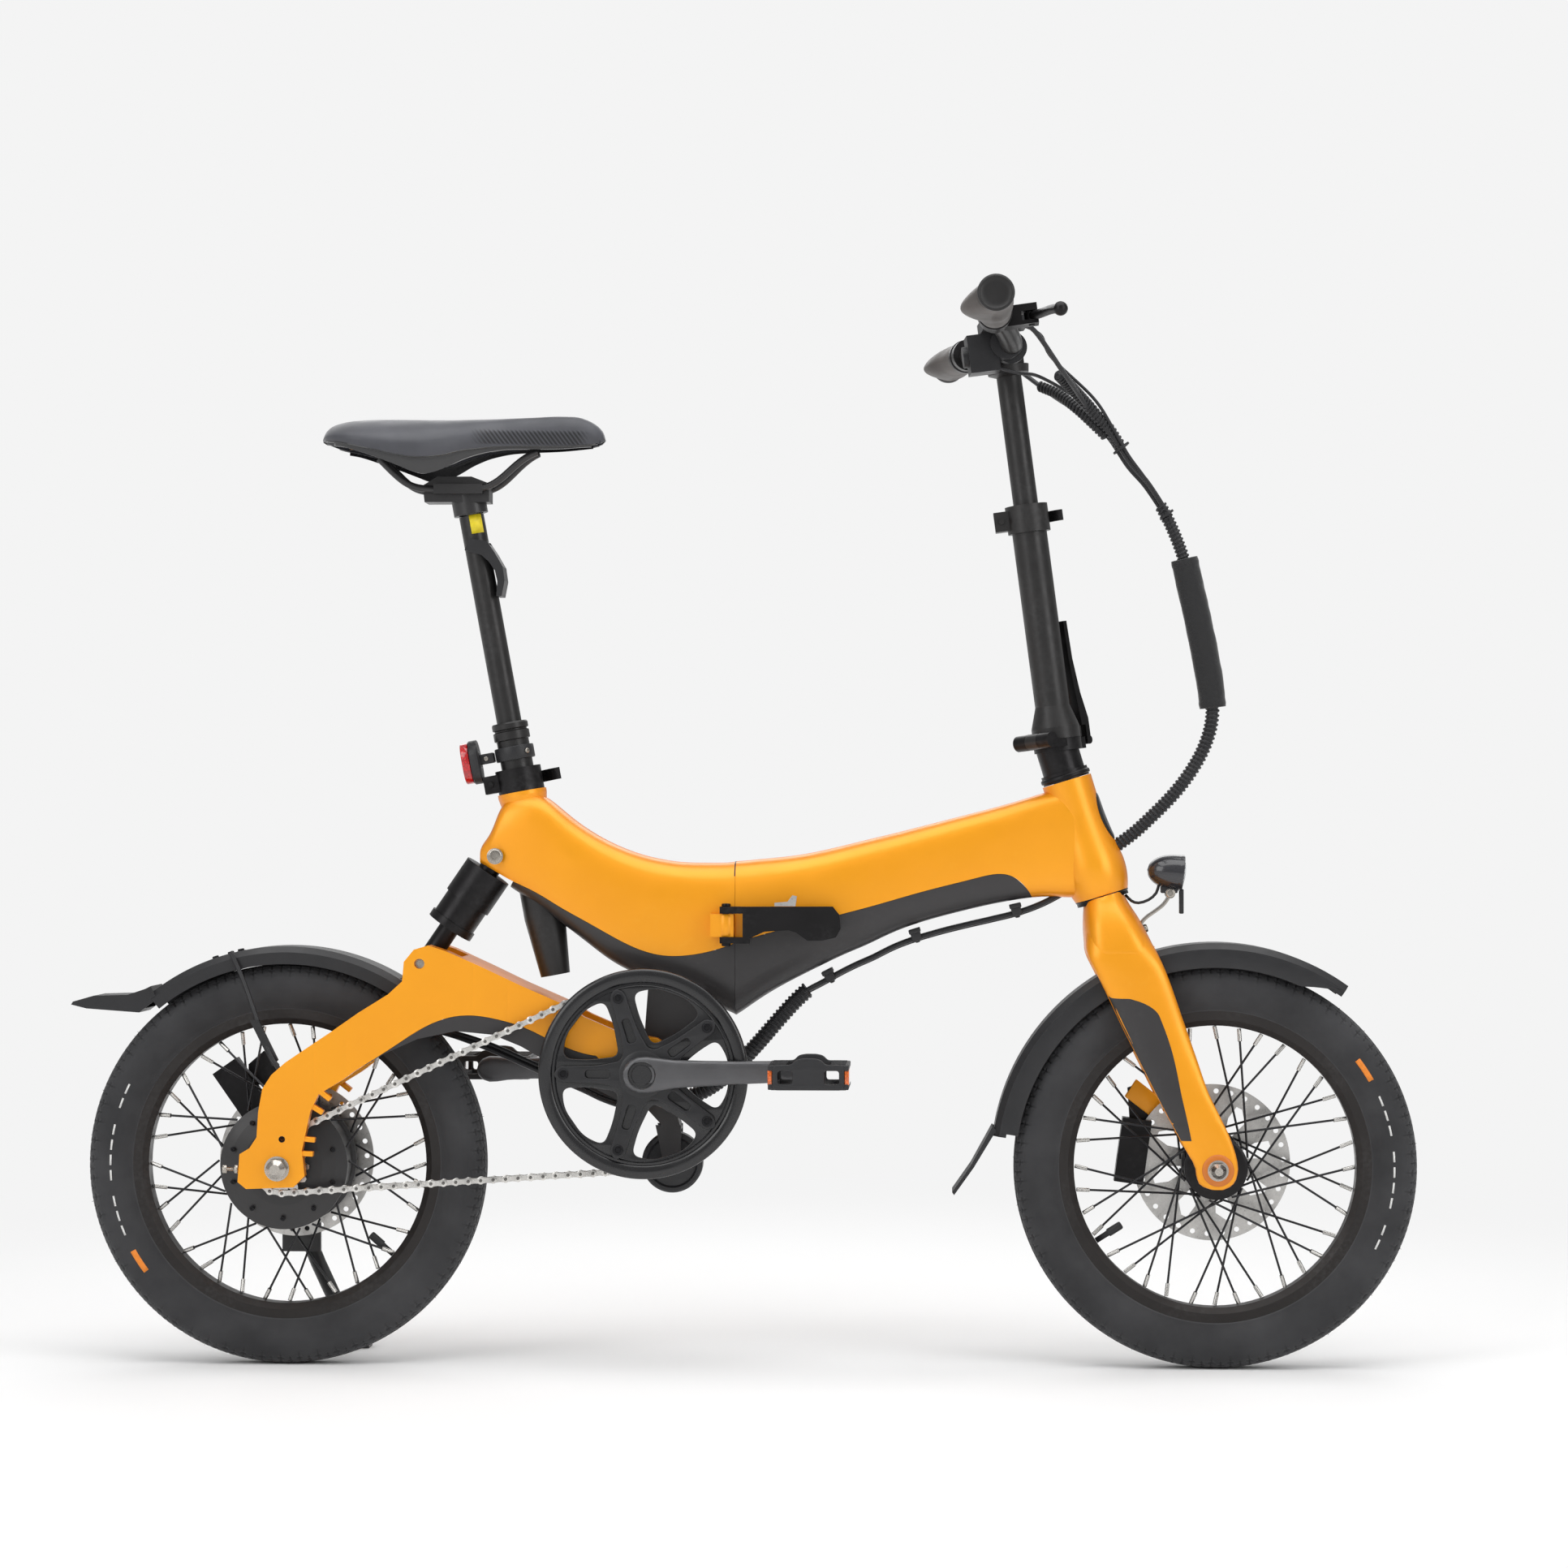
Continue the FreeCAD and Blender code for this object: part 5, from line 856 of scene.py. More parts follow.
def sidewall_marks(centre, side, spans, arc_mid, arc_half):
    """Thin printed bars on the sidewall, each span a (start, end) in degrees."""
    section = [p for p in TYRE_LINE
               if p[2] * side > 0 and abs(abs(p[2]) - arc_mid) <= arc_half + 0.01]
    section.sort(key=lambda p: p[2])
    size = len(section)
    parts = []
    for start, end in spans:
        count = max(2, int((end - start) / 1.5))
        verts, faces = [], []
        for i in range(count + 1):
            angle = math.radians(start + (end - start) * i / count)
            for lift in (0.18, -0.3):
                verts += [wheel_point(centre, r, y + side * lift, angle) for y, r, _ in section]
        for i in range(count):
            a, b = i * 2 * size, (i + 1) * 2 * size
            for q in range(size - 1):
                faces.append((a + q, a + q + 1, b + q + 1, b + q))
                faces.append((a + size + q, b + size + q, b + size + q + 1, a + size + q + 1))
            faces.append((a, b, b + size, a + size))
            faces.append((a + size - 1, a + 2 * size - 1, b + 2 * size - 1, b + size - 1))
        faces.append((*range(size), *range(2 * size - 1, size - 1, -1)))
        last = count * 2 * size
        faces.append(tuple(last + i for i in (*range(size)[::-1], *range(size, 2 * size))))
        parts.append((verts, faces))
    return join(parts)


for end, centre, turn in (("front", FRONT_AXLE, 0.0), ("rear", REAR_AXLE, 180.0)):
    for side, tag in SIDES:
        bars = [(turn + start, turn + start + BAR_SPAN) for start in BAR_STARTS]
        add_piece(f"{end}_tyre_bars_{tag}", sidewall_marks(centre, side, bars, 41.4, 1.9),
                  f"{end}_wheel", "tyre", PRINT_WHITE, sharp=None)
        patch = [(turn + PATCH[0], turn + PATCH[1])]
        add_piece(f"{end}_tyre_patch_{tag}", sidewall_marks(centre, side, patch, 41.6, 3.9),
                  f"{end}_wheel", "tyre", PRINT_ORANGE, sharp=None)


def add_valve(end, centre, degrees):
    """Valve with a threaded stem and ribbed cap, standing out of the rim towards the hub."""
    body = f"{end}_wheel"
    angle = math.radians(degrees)
    base = wheel_point(centre, 142.0, 0, angle)
    inward = -Vector((math.cos(angle), 0, math.sin(angle)))
    thread = [(2.9 + 0.3 * (i % 2), 12 + 0.6 * i) for i in range(1, 18)]
    stem = [(2.9, 0), (2.9, 12)] + thread + [(2.1, 23), (0, 23), (0, 0)]
    add_piece(f"{end}_valve_stem", lathe(stem, base, inward, 20), body, "axle_steel",
              MATS["cable_jacket"], sharp=None)
    cap = [(0, 14.5), (4.0, 14.5), (4.2, 15.0), (4.2, 28.5), (3.8, 30.0), (2.6, 30.6), (0, 30.6)]
    verts, faces = lathe(cap, base, inward, 32)
    # every other column is drawn in to make the ribs
    for i, v in enumerate(verts):
        height = (v - base).dot(inward)
        if 0.0155 < height < 0.0290 and (i // len(cap)) % 2:
            radial = v - base - inward * height
            verts[i] = base + inward * height + radial * 0.93
    add_piece(f"{end}_valve_cap", (verts, faces), body, "black_plastic")


add_valve("front", FRONT_AXLE, 212.5)
add_valve("rear", REAR_AXLE, -41.0)

# ---------------------------------------------------------------- saddle
SADDLE_REAR, SADDLE_NOSE = -432, -144.5
# top line on the centre plane: x, z
SADDLE_TOP = smooth_table([
    (-432, 944), (-427, 953), (-418, 958.0), (-400, 961.5), (-372, 962.8), (-311, 962.2),
    (-258, 963.6), (-222, 966.0), (-194, 967.2), (-176, 966.2), (-163, 962.4), (-152, 956.0),
    (-146.5, 949.5), (-144.5, 943)])
# lower edge of the skirt: x, z
SADDLE_SKIRT = smooth_table([
    (-432, 940), (-420, 936.5), (-407, 934.5), (-392, 931), (-372, 926.5), (-350, 921.5),
    (-330, 919), (-310, 921), (-285, 927.5), (-258, 931.5), (-237, 933), (-194, 933.6),
    (-165, 935), (-150, 937.5), (-144.5, 941)])
# x, half width
SADDLE_WIDTH = smooth_table([
    (-432, 14), (-430, 32), (-424, 50), (-412, 65), (-395, 74.5), (-372, 79), (-350, 79.5),
    (-330, 76.5), (-308, 67), (-285, 54), (-262, 42.5), (-240, 34), (-215, 27.5), (-190, 23.5),
    (-170, 20.5), (-157, 17), (-149, 12), (-144.5, 5)])
# lower edge of the base shell, dipping at the sides: x, z
SHELL_EDGE = smooth_table([
    (-415, 932), (-407, 931), (-385, 924.5), (-365, 917.5), (-345, 909.8), (-334, 905.5),
    (-324, 903.5), (-314, 905.5), (-300, 911.5), (-282, 920.5), (-262, 927.0), (-237, 930.5),
    (-194, 931.5), (-160, 934)])


def wing_share(x):
    """0 on the nose, rising to 1 on the rear wings."""
    return clamp((-255 - x) / 110)


def skirt_tuck(x):
    """How far the skirt's lower edge is drawn in."""
    return (3.2 + 2.0 * wing_share(x)) * (1 if SADDLE_WIDTH(x) > 12 else 0.3)


def saddle_rows(drop=0.0, grow=0.0):
    """Half sections from the centre of the top round the rolled edge to the skirt's edge."""
    sections, across = 132, 44
    rows = []
    for i in range(sections):
        along = 0.5 - 0.5 * math.cos(math.pi * (i / (sections - 1)))
        x = SADDLE_REAR + (SADDLE_NOSE - SADDLE_REAR) * along
        skirt, width = SADDLE_SKIRT(x), SADDLE_WIDTH(x) + grow
        height = SADDLE_TOP(x) - drop - skirt
        wing = wing_share(x)
        crown = 5.5 * wing + 1.5
        # superellipse: flat on top, round over the edge, straight skirt
        power = 2 / (2.9 - 0.4 * wing)
        row = []
        for k in range(across):
            t = k / (across - 1)
            angle = t * math.pi / 2
            rise = abs(math.cos(angle)) ** power
            y = width * abs(math.sin(angle)) ** power
            z = skirt + height * rise
            # crowned wings and the relief channel down the middle
            z -= crown * (y / max(width, 1e-6)) ** 2 * rise
            channel = math.exp(-(y / 9.5) ** 2) * clamp((x + 425) / 60) * clamp((-168 - x) / 60)
            z -= 5.0 * channel * rise
            # the skirt tucks in towards its lower edge
            tuck = max(0.0, t - 0.72) / 0.28
            y -= (3.2 + 2.0 * wing) * tuck ** 2 * (1 if width > 12 else 0.3)
            row.append((x, y, z))
        rows.append(row)
    return rows


def mirrored(row):
    return [(x, -y, z) for x, y, z in reversed(row[1:])] + row


def saddle_cover():
    rings = []
    for outer, inner in zip(saddle_rows(), saddle_rows(drop=5.0, grow=-3.4)):
        lining = [(x, y * 0.96, max(z, SADDLE_SKIRT(x) + 0.2))
                  for x, y, z in reversed(mirrored(inner))]
        rings.append(points(mirrored(outer) + lining))
    return loft(rings, start_forward=True)


def base_shell():
    """Thin dished shell inside the skirt, showing below it at the sides."""
    sections, across, thickness = 90, 30, 2.2
    rear, nose = -415, -158
    rings = []
    for i in range(sections):
        x = rear + (nose - rear) * i / (sections - 1)
        width = SADDLE_WIDTH(x) - 5.2
        edge = SHELL_EDGE(x)
        height = SADDLE_TOP(x) - 9.0 - edge
        row = []
        for k in range(across):
            angle = k / (across - 1) * math.pi / 2
            y = width * abs(math.sin(angle)) ** (2 / 2.6)
            z = edge + height * abs(math.cos(angle)) ** (2 / 2.6)
            y -= max(0.0, SADDLE_SKIRT(x) - z) * 0.55
            row.append((x, max(0, y), z))
        full = mirrored(row)
        inner = []
        for x, y, z in reversed(full):
            drop = thickness if abs(y) < 0.8 * (SADDLE_WIDTH(x) - 5) else 0.0
            sign = 1 if y >= 0 else -1
            inner.append((x, sign * max(0.0, abs(y) - thickness), z - drop))
        rings.append(points(full + inner))
    return loft(rings, start_forward=True)


def saddle_material():
    mat = Surface("saddle_cover_synthetic")
    where = mat.coords()
    pebbles = mat.cells(where, scale=1150.0, feature="SMOOTH_F1")
    base = mat.mix(mat.mottle(where, scale=24.0, detail=4.0), srgb(62, 63, 68),
                   srgb(76, 77, 83))
    # diagonal ribs on the sides of the nose, 4.4 mm apart
    place = mat.node("SeparateXYZ", mat.node("TexCoord").outputs["Object"])
    height = place.outputs["Z"]
    x = mat.math("SUBTRACT", place.outputs["X"], SHIFT_X / 1000)
    diagonal = mat.math("ADD", mat.math("MULTIPLY", x, 1.0), mat.math("MULTIPLY", height, 0.75))
    wave = mat.math("SINE", mat.math("MULTIPLY", diagonal, 2 * math.pi / 0.0044))
    zone_x = mat.math("MULTIPLY", mat.remap(x, ins=(-0.278, -0.262)),
                      mat.remap(x, ins=(-0.160, -0.170)))
    zone_z = mat.math("MULTIPLY", mat.remap(height, ins=(0.9345, 0.9365)),
                      mat.remap(height, ins=(0.9505, 0.9475)))
    zone = mat.math("MULTIPLY", zone_x, zone_z)
    ribs = mat.math("MULTIPLY", zone, mat.remap(wave, ins=(-0.2, 0.5)))
    # painted shade darkens the grooves between the ribs
    painted_rib_gap_shade = mat.math("MULTIPLY", zone, mat.remap(wave, ins=(0.5, -0.2), outs=(0.0, 0.85)))
    grain = mat.bump(pebbles, strength=0.22, distance=0.00016)
    return mat.finish(
        base_color=mat.mix(painted_rib_gap_shade, base, srgb(22, 22, 24)),
        roughness=mat.mottle(where, scale=45.0, detail=4.0, outs=(0.42, 0.56)),
        specular_ior_level=0.45, sheen_weight=0.25, sheen_roughness=0.35,
        normal=mat.bump(ribs, strength=0.9, distance=0.0007, normal=grain))


def gloss_material():
    mat = Surface("saddle_base_gloss")
    where = mat.coords()
    return mat.finish(
        base_color=mat.mix(mat.mottle(where, scale=24.0, detail=4.0), srgb(20, 20, 22),
                           srgb(30, 30, 32)),
        roughness=mat.mottle(where, scale=60.0, detail=5.0, outs=(0.12, 0.24)),
        coat_weight=0.6, coat_roughness=0.06,
        normal=mat.bump(mat.noise(where, scale=300.0), strength=0.03, distance=0.0002))


GLOSS = gloss_material()
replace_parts(add_piece("saddle_cover_moulded", saddle_cover(), "seatpost_inner", "saddle_cover",
                      saddle_material(), sharp=60), "saddle")
add_piece("saddle_base_shell", base_shell(), "seatpost_inner", "saddle_cover", GLOSS, sharp=50)

# welt along the skirt's lower edge
for side, tag in SIDES:
    welt = []
    for i in range(120):
        x = -424 + (424 - 152) * i / 119
        y = SADDLE_WIDTH(x) - skirt_tuck(x) - 0.2
        welt.append(pos(x, side * y, SADDLE_SKIRT(x) + 0.4))
    add_piece(f"saddle_edge_welt_{tag}", sweep(welt, 0.9, 6), "seatpost_inner", "saddle_cover",
              GLOSS, sharp=None)


def seatpost_sticker():
    """Blank sticker bent round the back and right of the inner seatpost."""
    axis = joint_axis("seatpost_inner_height")
    base = pos(-231.8, 0, 593)
    back = axis.cross(Y_AXIS).normalized()
    verts = []
    for z in (846, 865):
        centre = base + axis * ((z / 1000 - base.z) / axis.z)
        for k in range(15):
            angle = math.radians(-97 + 62 * k / 14)
            out = back * math.cos(angle) * -1 + Y_AXIS * math.sin(angle)
            verts += [centre + out * r / 1000 for r in (12.85, 12.5)]
    faces = []
    for k in range(14):
        a, b = k * 2, 30 + k * 2
        faces += [(a, a + 2, b + 2, b), (a + 1, b + 1, b + 3, a + 3),
                  (a, a + 1, a + 3, a + 2), (b, b + 2, b + 3, b + 1)]
    faces += [(0, 30, 31, 1), (28, 29, 59, 58)]
    return verts, faces


add_piece("seatpost_sticker", seatpost_sticker(), "seatpost_inner", "black_tube",
          printed("sticker_yellow", srgb(236, 214, 40), rough=0.4), sharp=None)

# ---------------------------------------------------------------- grips
# the bar's own frame: leaning with the handlepost and twisted a little about it
POST_FOOT = pos(315.6, 0, 636)
POST_LEAN = Matrix.Rotation(math.radians(-7.5), 4, "Y")
BAR_TWIST = Matrix.Rotation(math.radians(4.57), 4, "Z")
BAR_HEIGHT = 395.4
GRIP_START = Vector((-24, 168, BAR_HEIGHT + 22))
GRIP_STOP = Vector((-33, 290, BAR_HEIGHT + 27))
GRIP_AXIS = (GRIP_STOP - GRIP_START).normalized()
GRIP_LENGTH = (GRIP_STOP - GRIP_START).length
GRIP_FORWARD = (X_AXIS - GRIP_AXIS * GRIP_AXIS.x).normalized()
GRIP_UP = GRIP_FORWARD.cross(GRIP_AXIS).normalized()
GRIP_SEGMENTS = 48


def bar_point(x, y, z):
    return POST_FOOT + (POST_LEAN @ (BAR_TWIST @ Vector((x, y, z)))) / 1000


def grip_point(side, along, forward, up):
    """Point of a grip, measured along its axis from the inner end."""
    p = GRIP_START + GRIP_AXIS * along + GRIP_FORWARD * forward + GRIP_UP * up
    return bar_point(p.x, side * p.y, p.z)


def grip_rings(side, profile):
    """Rows of a profile of (along, radius) turned round the grip's axis."""
    rings = []
    for k in range(GRIP_SEGMENTS):
        angle = 2 * math.pi * k / GRIP_SEGMENTS
        rings.append([grip_point(side, along, r * math.cos(angle), r * math.sin(angle))
                      for along, r in profile])
    return rings


def grip_palm(side):
    rings = []
    for i in range(64):
        t = i / 63
        along = 9.5 + (GRIP_LENGTH - 18.0) * t
        # the palm wing grows out towards the rider and droops, widest past the middle
        wing = 17.0 * math.sin(math.pi * clamp((t - 0.02) / 1.02) ** 1.25) ** 1.1
        bulge = 1.2 * math.sin(math.pi * t)
        waist = -0.9 * math.exp(-((t - 0.25) / 0.14) ** 2)
        ring = []
        for k in range(GRIP_SEGMENTS):
            angle = 2 * math.pi * k / GRIP_SEGMENTS
            forward, up = math.cos(angle), math.sin(angle)
            r = 16.2 + bulge + waist
            # fine finger ribs underneath and in front
            if forward > -0.2:
                fade = max(0.0, math.sin(math.pi * t)) * max(0.0, 0.4 - up)
                r += 0.32 * math.sin(2 * math.pi * along / 3.4) * fade
            back = max(0.0, -forward)
            x = r * forward - wing * back ** 1.5
            z = r * up * (1 - 0.16 * back ** 2.0 * min(1.0, wing / 16))
            z -= 0.16 * wing * back ** 2.2
            ring.append(grip_point(side, along, x, z))
        rings.append(ring)
    return loft(rings, start_forward=True)


def grip_clamp(side):
    profile = [(0.2, 16.4), (0.8, 17.4), (8.0, 17.4), (8.6, 16.4), (8.6, 11.3), (0.2, 11.3)]
    return loft(grip_rings(side, profile), closed=True)


def grip_end(side):
    """Dished rubber end disc with a rounded lip."""
    # distance before the grip's outer end, radius
    lip = [(8.8, 15.5), (6.6, 17.4), (2.0, 17.9), (0.6, 17.2), (0.2, 15.6), (1.4, 14.4),
           (1.6, 10), (1.5, 5)]
    rings = grip_rings(side, [(GRIP_LENGTH - before, r) for before, r in lip])
    verts = [p for ring in rings for p in ring]
    verts.append(grip_point(side, GRIP_LENGTH - 1.5, 0, 0))
    verts.append(grip_point(side, GRIP_LENGTH - 8.8, 0, 0))
    outer, inner = len(verts) - 2, len(verts) - 1
    size = len(lip)
    faces = []
    for k in range(GRIP_SEGMENTS):
        a, b = k * size, (k + 1) % GRIP_SEGMENTS * size
        for q in range(size - 1):
            faces.append((a + q, b + q, b + q + 1, a + q + 1))
        faces.append((a + size - 1, b + size - 1, outer))
        faces.append((a, inner, b))
    return verts, faces


def grip_material():
    mat = Surface("grip_rubber_textured")
    where = mat.coords()
    dimples = mat.cells(where, scale=620.0)
    return mat.finish(
        base_color=mat.mix(mat.mottle(where, scale=30.0, detail=4.0), srgb(60, 56, 54),
                           srgb(80, 75, 72)),
        roughness=mat.mottle(where, scale=70.0, detail=4.0, outs=(0.46, 0.60)),
        sheen_weight=0.12, sheen_roughness=0.4,
        normal=mat.bump(dimples, strength=0.35, distance=0.00022))


GRIP_MATERIAL = grip_material()
for side, tag in reversed(SIDES):
    palm = add_piece(f"grip_palm_{tag}", grip_palm(side), "handlebar", "grip_rubber",
                     GRIP_MATERIAL, sharp=None)
    add_piece(f"grip_clamp_{tag}", grip_clamp(side), "handlebar", "grip_rubber",
              MATS["black_anodised"])
    add_piece(f"grip_end_{tag}", grip_end(side), "handlebar", "grip_rubber", sharp=55)
    if tag == "left":
        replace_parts(palm, "grips")

# ---------------------------------------------------------------- cables
# blends: two bodies, and where the change from one to the other starts and ends
TOP_BLEND = ("handlebar", "handlepost_lower", pos(345, 0, 990), pos(440, 0, 835))
ARM_BLEND = ("rear_frame", "swingarm", pos(-104, 28, 263), pos(-190, 28, 288))
# section of the spiral wrap's strip: across, out
STRIP_SECTION = ((-1.55, -0.475), (-1.085, 0.5225), (0, 0.95), (1.085, 0.5225), (1.55, -0.475),
                 (0, -0.95))


def blend_piece(piece):
    """Frees a piece from its one body, leaving it on none with its place baked into its mesh."""
    place = piece.matrix_world.copy()
    piece.parent = None
    piece.matrix_world = place
    if "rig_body" in piece:
        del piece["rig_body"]
    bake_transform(piece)


def spiral_strip(path, radius, pitch):
    lengths = running_lengths(path)
    turns = lengths[-1] / (pitch / 1000)
    steps = max(12, int(turns * 14))
    directions = path_frames(path)
    helix = []
    stops = [lengths[-1] * i / steps for i in range(steps + 1)]
    for i, (j, t) in enumerate(locate(lengths, stops)):
        centre = path[j].lerp(path[j + 1], t)
        first = directions[j][1].lerp(directions[j + 1][1], t).normalized()
        second = directions[j][2].lerp(directions[j + 1][2], t).normalized()
        angle = 2 * math.pi * turns * i / steps
        out = first * math.cos(angle) + second * math.sin(angle)
        helix.append((centre + out * (radius / 1000), out))
    rings = []
    for i, (p, out) in enumerate(helix):
        before, after = helix[max(0, i - 1)][0], helix[min(steps, i + 1)][0]
        across = (after - before).normalized().cross(out).normalized()
        rings.append([p + across * (a / 1000) + out * (b / 1000) for a, b in STRIP_SECTION])
    return loft(rings)


def add_wrap(name, controls, radius, body, pitch):
    """Spiral wrap: a flattened strip wound round a plain core, which stays on its body."""
    path = spline(controls, 0.0016)
    strip = add_piece(name, spiral_strip(path, radius, pitch), body, "cable_jacket", sharp=None)
    add_piece(name + "_core", sweep(path[::3] + [path[-1]], radius - 0.7, 14), body,
              "cable_jacket", sharp=None)
    blend_piece(strip)


def add_cable(name, controls, radius, body, blend=None):
    cable = add_piece(name, sweep(spline(controls), radius, 10), body, "cable_jacket", sharp=None)
    if blend:
        blend_piece(cable)
    return cable


def nylon_material():
    """Plain woven nylon: crossed threads in the bump and a little in the colour, where the low
    places of the weave are darker as painted shade.
    """
    thread_frequency = 900.0 * 4.2
    mat = Surface("sleeve_nylon")
    where = mat.coords(rotation=(0.0, 0.35, 0.0))
    place = mat.node("SeparateXYZ", where)
    flat = mat.math("ADD", place.outputs["X"], place.outputs["Y"])
    weft = mat.math("SINE", mat.math("MULTIPLY", flat, thread_frequency))
    warp = mat.math("SINE", mat.math("MULTIPLY", place.outputs["Z"], thread_frequency))
    threads = mat.math("MULTIPLY", weft, warp)
    fuzz = mat.noise(where, scale=900.0, detail=4.0)
    height = mat.math("ADD", threads, mat.math("MULTIPLY", fuzz, 0.8))
    # colour follows the weave's height: painted shade where the threads sink, and a random tone
    # from the fuzz
    return mat.finish(
        base_color=mat.mix(mat.remap(height, ins=(-0.8, 1.4)), srgb(15, 15, 16),
                           srgb(30, 30, 32)),
        roughness=mat.remap(fuzz, ins=(0.3, 0.7), outs=(0.72, 0.9)),
        sheen_weight=0.5, sheen_roughness=0.45,
        normal=mat.bump(height, strength=0.45, distance=0.0003))


NYLON = nylon_material()


def lever_mount(side):
    return [grip_point(side, -30, 22, -6), grip_point(side, -40, 38, -16)]


# from the bar, meeting in front of the post
add_cable("brake_cable_right", lever_mount(-1) + points([
    (318, -78, 1004), (338, -30, 982), (352, -9, 965), (370, -6, 946), (390, -5, 917),
    (408, -4, 896), (428, -3, 864), (441, -2, 834)]), 2.5, "handlebar", TOP_BLEND)
add_cable("brake_cable_left", lever_mount(1) + points([
    (312, 84, 996), (330, 34, 978), (348, 10, 962), (368, 5, 944), (388, 5, 914),
    (406, 4, 893), (426, 4, 862), (440, 3, 832)]), 2.5, "handlebar", TOP_BLEND)
add_wrap("spiral_upper", points([
    (316, -56, 1001), (330, -32, 990), (345, -14, 976), (358, -7, 962), (368, -3, 952),
    (380, 0, 934)]), 5.6, "handlebar", pitch=4.4)
add_wrap("spiral_lower_branch", points([
    (300, 46, 1000), (318, 30, 990), (336, 12, 974), (352, 4, 958), (366, 2, 944)]),
    4.9, "handlebar", pitch=4.2)
add_cable("control_lead", [
    bar_point(-22, -58, BAR_HEIGHT - 16), bar_point(4, -52, BAR_HEIGHT - 26),
    bar_point(26, -34, BAR_HEIGHT - 30)] + points([
        (330, -8, 986), (352, 2, 968), (374, 7, 940), (394, 7, 911), (411, 6, 890),
        (430, 4, 860), (442, 2, 830)]), 1.8, "handlebar", TOP_BLEND)
add_cable("display_lead", [
    bar_point(6, -74, BAR_HEIGHT + 22), bar_point(30, -64, BAR_HEIGHT + 8),
    bar_point(42, -30, BAR_HEIGHT - 12)] + points([
        (352, -14, 982), (372, -9, 952), (388, -8, 924), (404, -7, 902), (424, -5, 872),
        (438, -4, 840)]), 1.6, "handlebar", TOP_BLEND)
add_wrap("spiral_middle", points([
    (421, 0, 873), (429, 0, 858), (436, 0, 842), (442, 0, 826), (446, 0, 812)]),
    5.8, "handlepost_lower", pitch=4.3)


def add_cable_tie(name, place, radius):
    """Band round the cables with its square head on the right."""
    axis = Vector((0.6, 0, -0.8)).normalized()
    out = (RIGHT - axis * RIGHT.dot(axis)).normalized()
    band = lathe([(radius, -1.3), (radius + 1.1, -1.1), (radius + 1.1, 1.1), (radius, 1.3)],
                 place, axis, 32)
    head = box(place + out * (radius + 1.6) / 1000, out * 1.8, axis.cross(out) * 2.1,
               axis * 1.9, 0.4)
    blend_piece(add_piece(name, join([band, head]), "handlepost_lower", "cable_jacket",
                          MATS["black_plastic"]))


add_cable_tie("cable_tie_upper", pos(381, 0, 932), 8.6)
add_cable_tie("cable_tie_middle", pos(427, 0, 864), 7.2)

# middle line of the fabric sleeve: x, z
SLEEVE_LINE = [(444.5, 819), (451, 790), (458.5, 757), (465.5, 722), (471, 690), (473.5, 668)]


def cable_sleeve():
    """Padded fabric wrap with a lap; it bellies and creases between its hemmed ends."""
    middle = spline(points([(x, 0, z) for x, z in SLEEVE_LINE]), 0.0014)
    directions = path_frames(middle)
    count, around = len(middle), 56
    verts = []
    for i, centre in enumerate(middle):
        t = i / (count - 1)
        tangent = directions[i][0]
        forward = (X_AXIS - tangent * tangent.x).normalized()
        sideways = tangent.cross(forward).normalized()
        hem = 1.0
        for place in (0.03, 0.97):
            hem += 0.045 * math.exp(-((t - place) / 0.02) ** 2)
        belly = 1.0 + 0.05 * math.sin(math.pi * t) + 0.012 * math.sin(9 * t + 1.0)
        for k in range(around):
            angle = 2 * math.pi * k / around
            x = signed_power(math.cos(angle), 0.82) * 13.2 * belly * hem
            y = signed_power(math.sin(angle), 0.92) * 8.6 * belly * hem
            crease = (noise.noise(Vector((angle * 1.2, t * 9.0, 0.3))) * 0.7
                      + noise.noise(Vector((angle * 2.6, t * 26.0, 3.3))) * 0.35)
            lap = 0.03 if math.radians(12) < angle < math.radians(66) else 0
            scale = 1 + crease * 0.045 + lap
            verts.append(centre + forward * (x * scale / 1000) + sideways * (y * scale / 1000))
    faces = ring_faces(count, around, closed=False)
    # the hemmed ends turn inwards
    for end, depth in ((0, 0.0016), (count - 1, -0.0016)):
        centre = middle[end]
        inward = directions[end][0] * depth
        outer = end * around
        inner = len(verts)
        verts += [centre + (p - centre) * 0.66 + inward for p in verts[outer:outer + around]]
        tip = len(verts)
        verts.append(centre + inward * 1.4)
        for k in range(around):
            l = (k + 1) % around
            faces.append((outer + k, outer + l, inner + l, inner + k))
            faces.append((inner + k, inner + l, tip))
    return verts, faces


def sleeve_stitches():
    """Short threads along the front right of the sleeve."""
    seam = []
    for t in np.linspace(0.02, 0.98, 60):
        place = t * (len(SLEEVE_LINE) - 1)
        i = min(len(SLEEVE_LINE) - 2, int(place))
        (x0, z0), (x1, z1) = SLEEVE_LINE[i:i + 2]
        x = x0 + (x1 - x0) * (place - i)
        z = z0 + (z1 - z0) * (place - i)
        seam.append(pos(x + 9.2, -6.7 - 0.4 * math.sin(math.pi * t), z + 1.5))
    return join(sweep([a, a.lerp(b, 0.5), b], 0.42, 6) for a, b in zip(seam[::2], seam[1::2]))


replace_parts(add_piece("cable_sleeve_fabric", cable_sleeve(), "handlepost_lower", "cable_jacket",
                      NYLON, sharp=None), "cable_harness")
add_piece("cable_sleeve_stitching", sleeve_stitches(), "handlepost_lower", "cable_jacket",
          printed("thread_grey", srgb(84, 84, 88), rough=0.7), sharp=None)
add_wrap("spiral_lower", points([
    (473, 0, 674), (473, 0, 660), (470, 0, 643), (463, 0, 624), (453, 0, 606), (441, 0, 589),
    (428, 0, 574), (412, 0, 558), (396, 0, 543), (383, 0, 533), (374, 0, 527)]),
    6.4, "handlepost_lower", pitch=4.5)

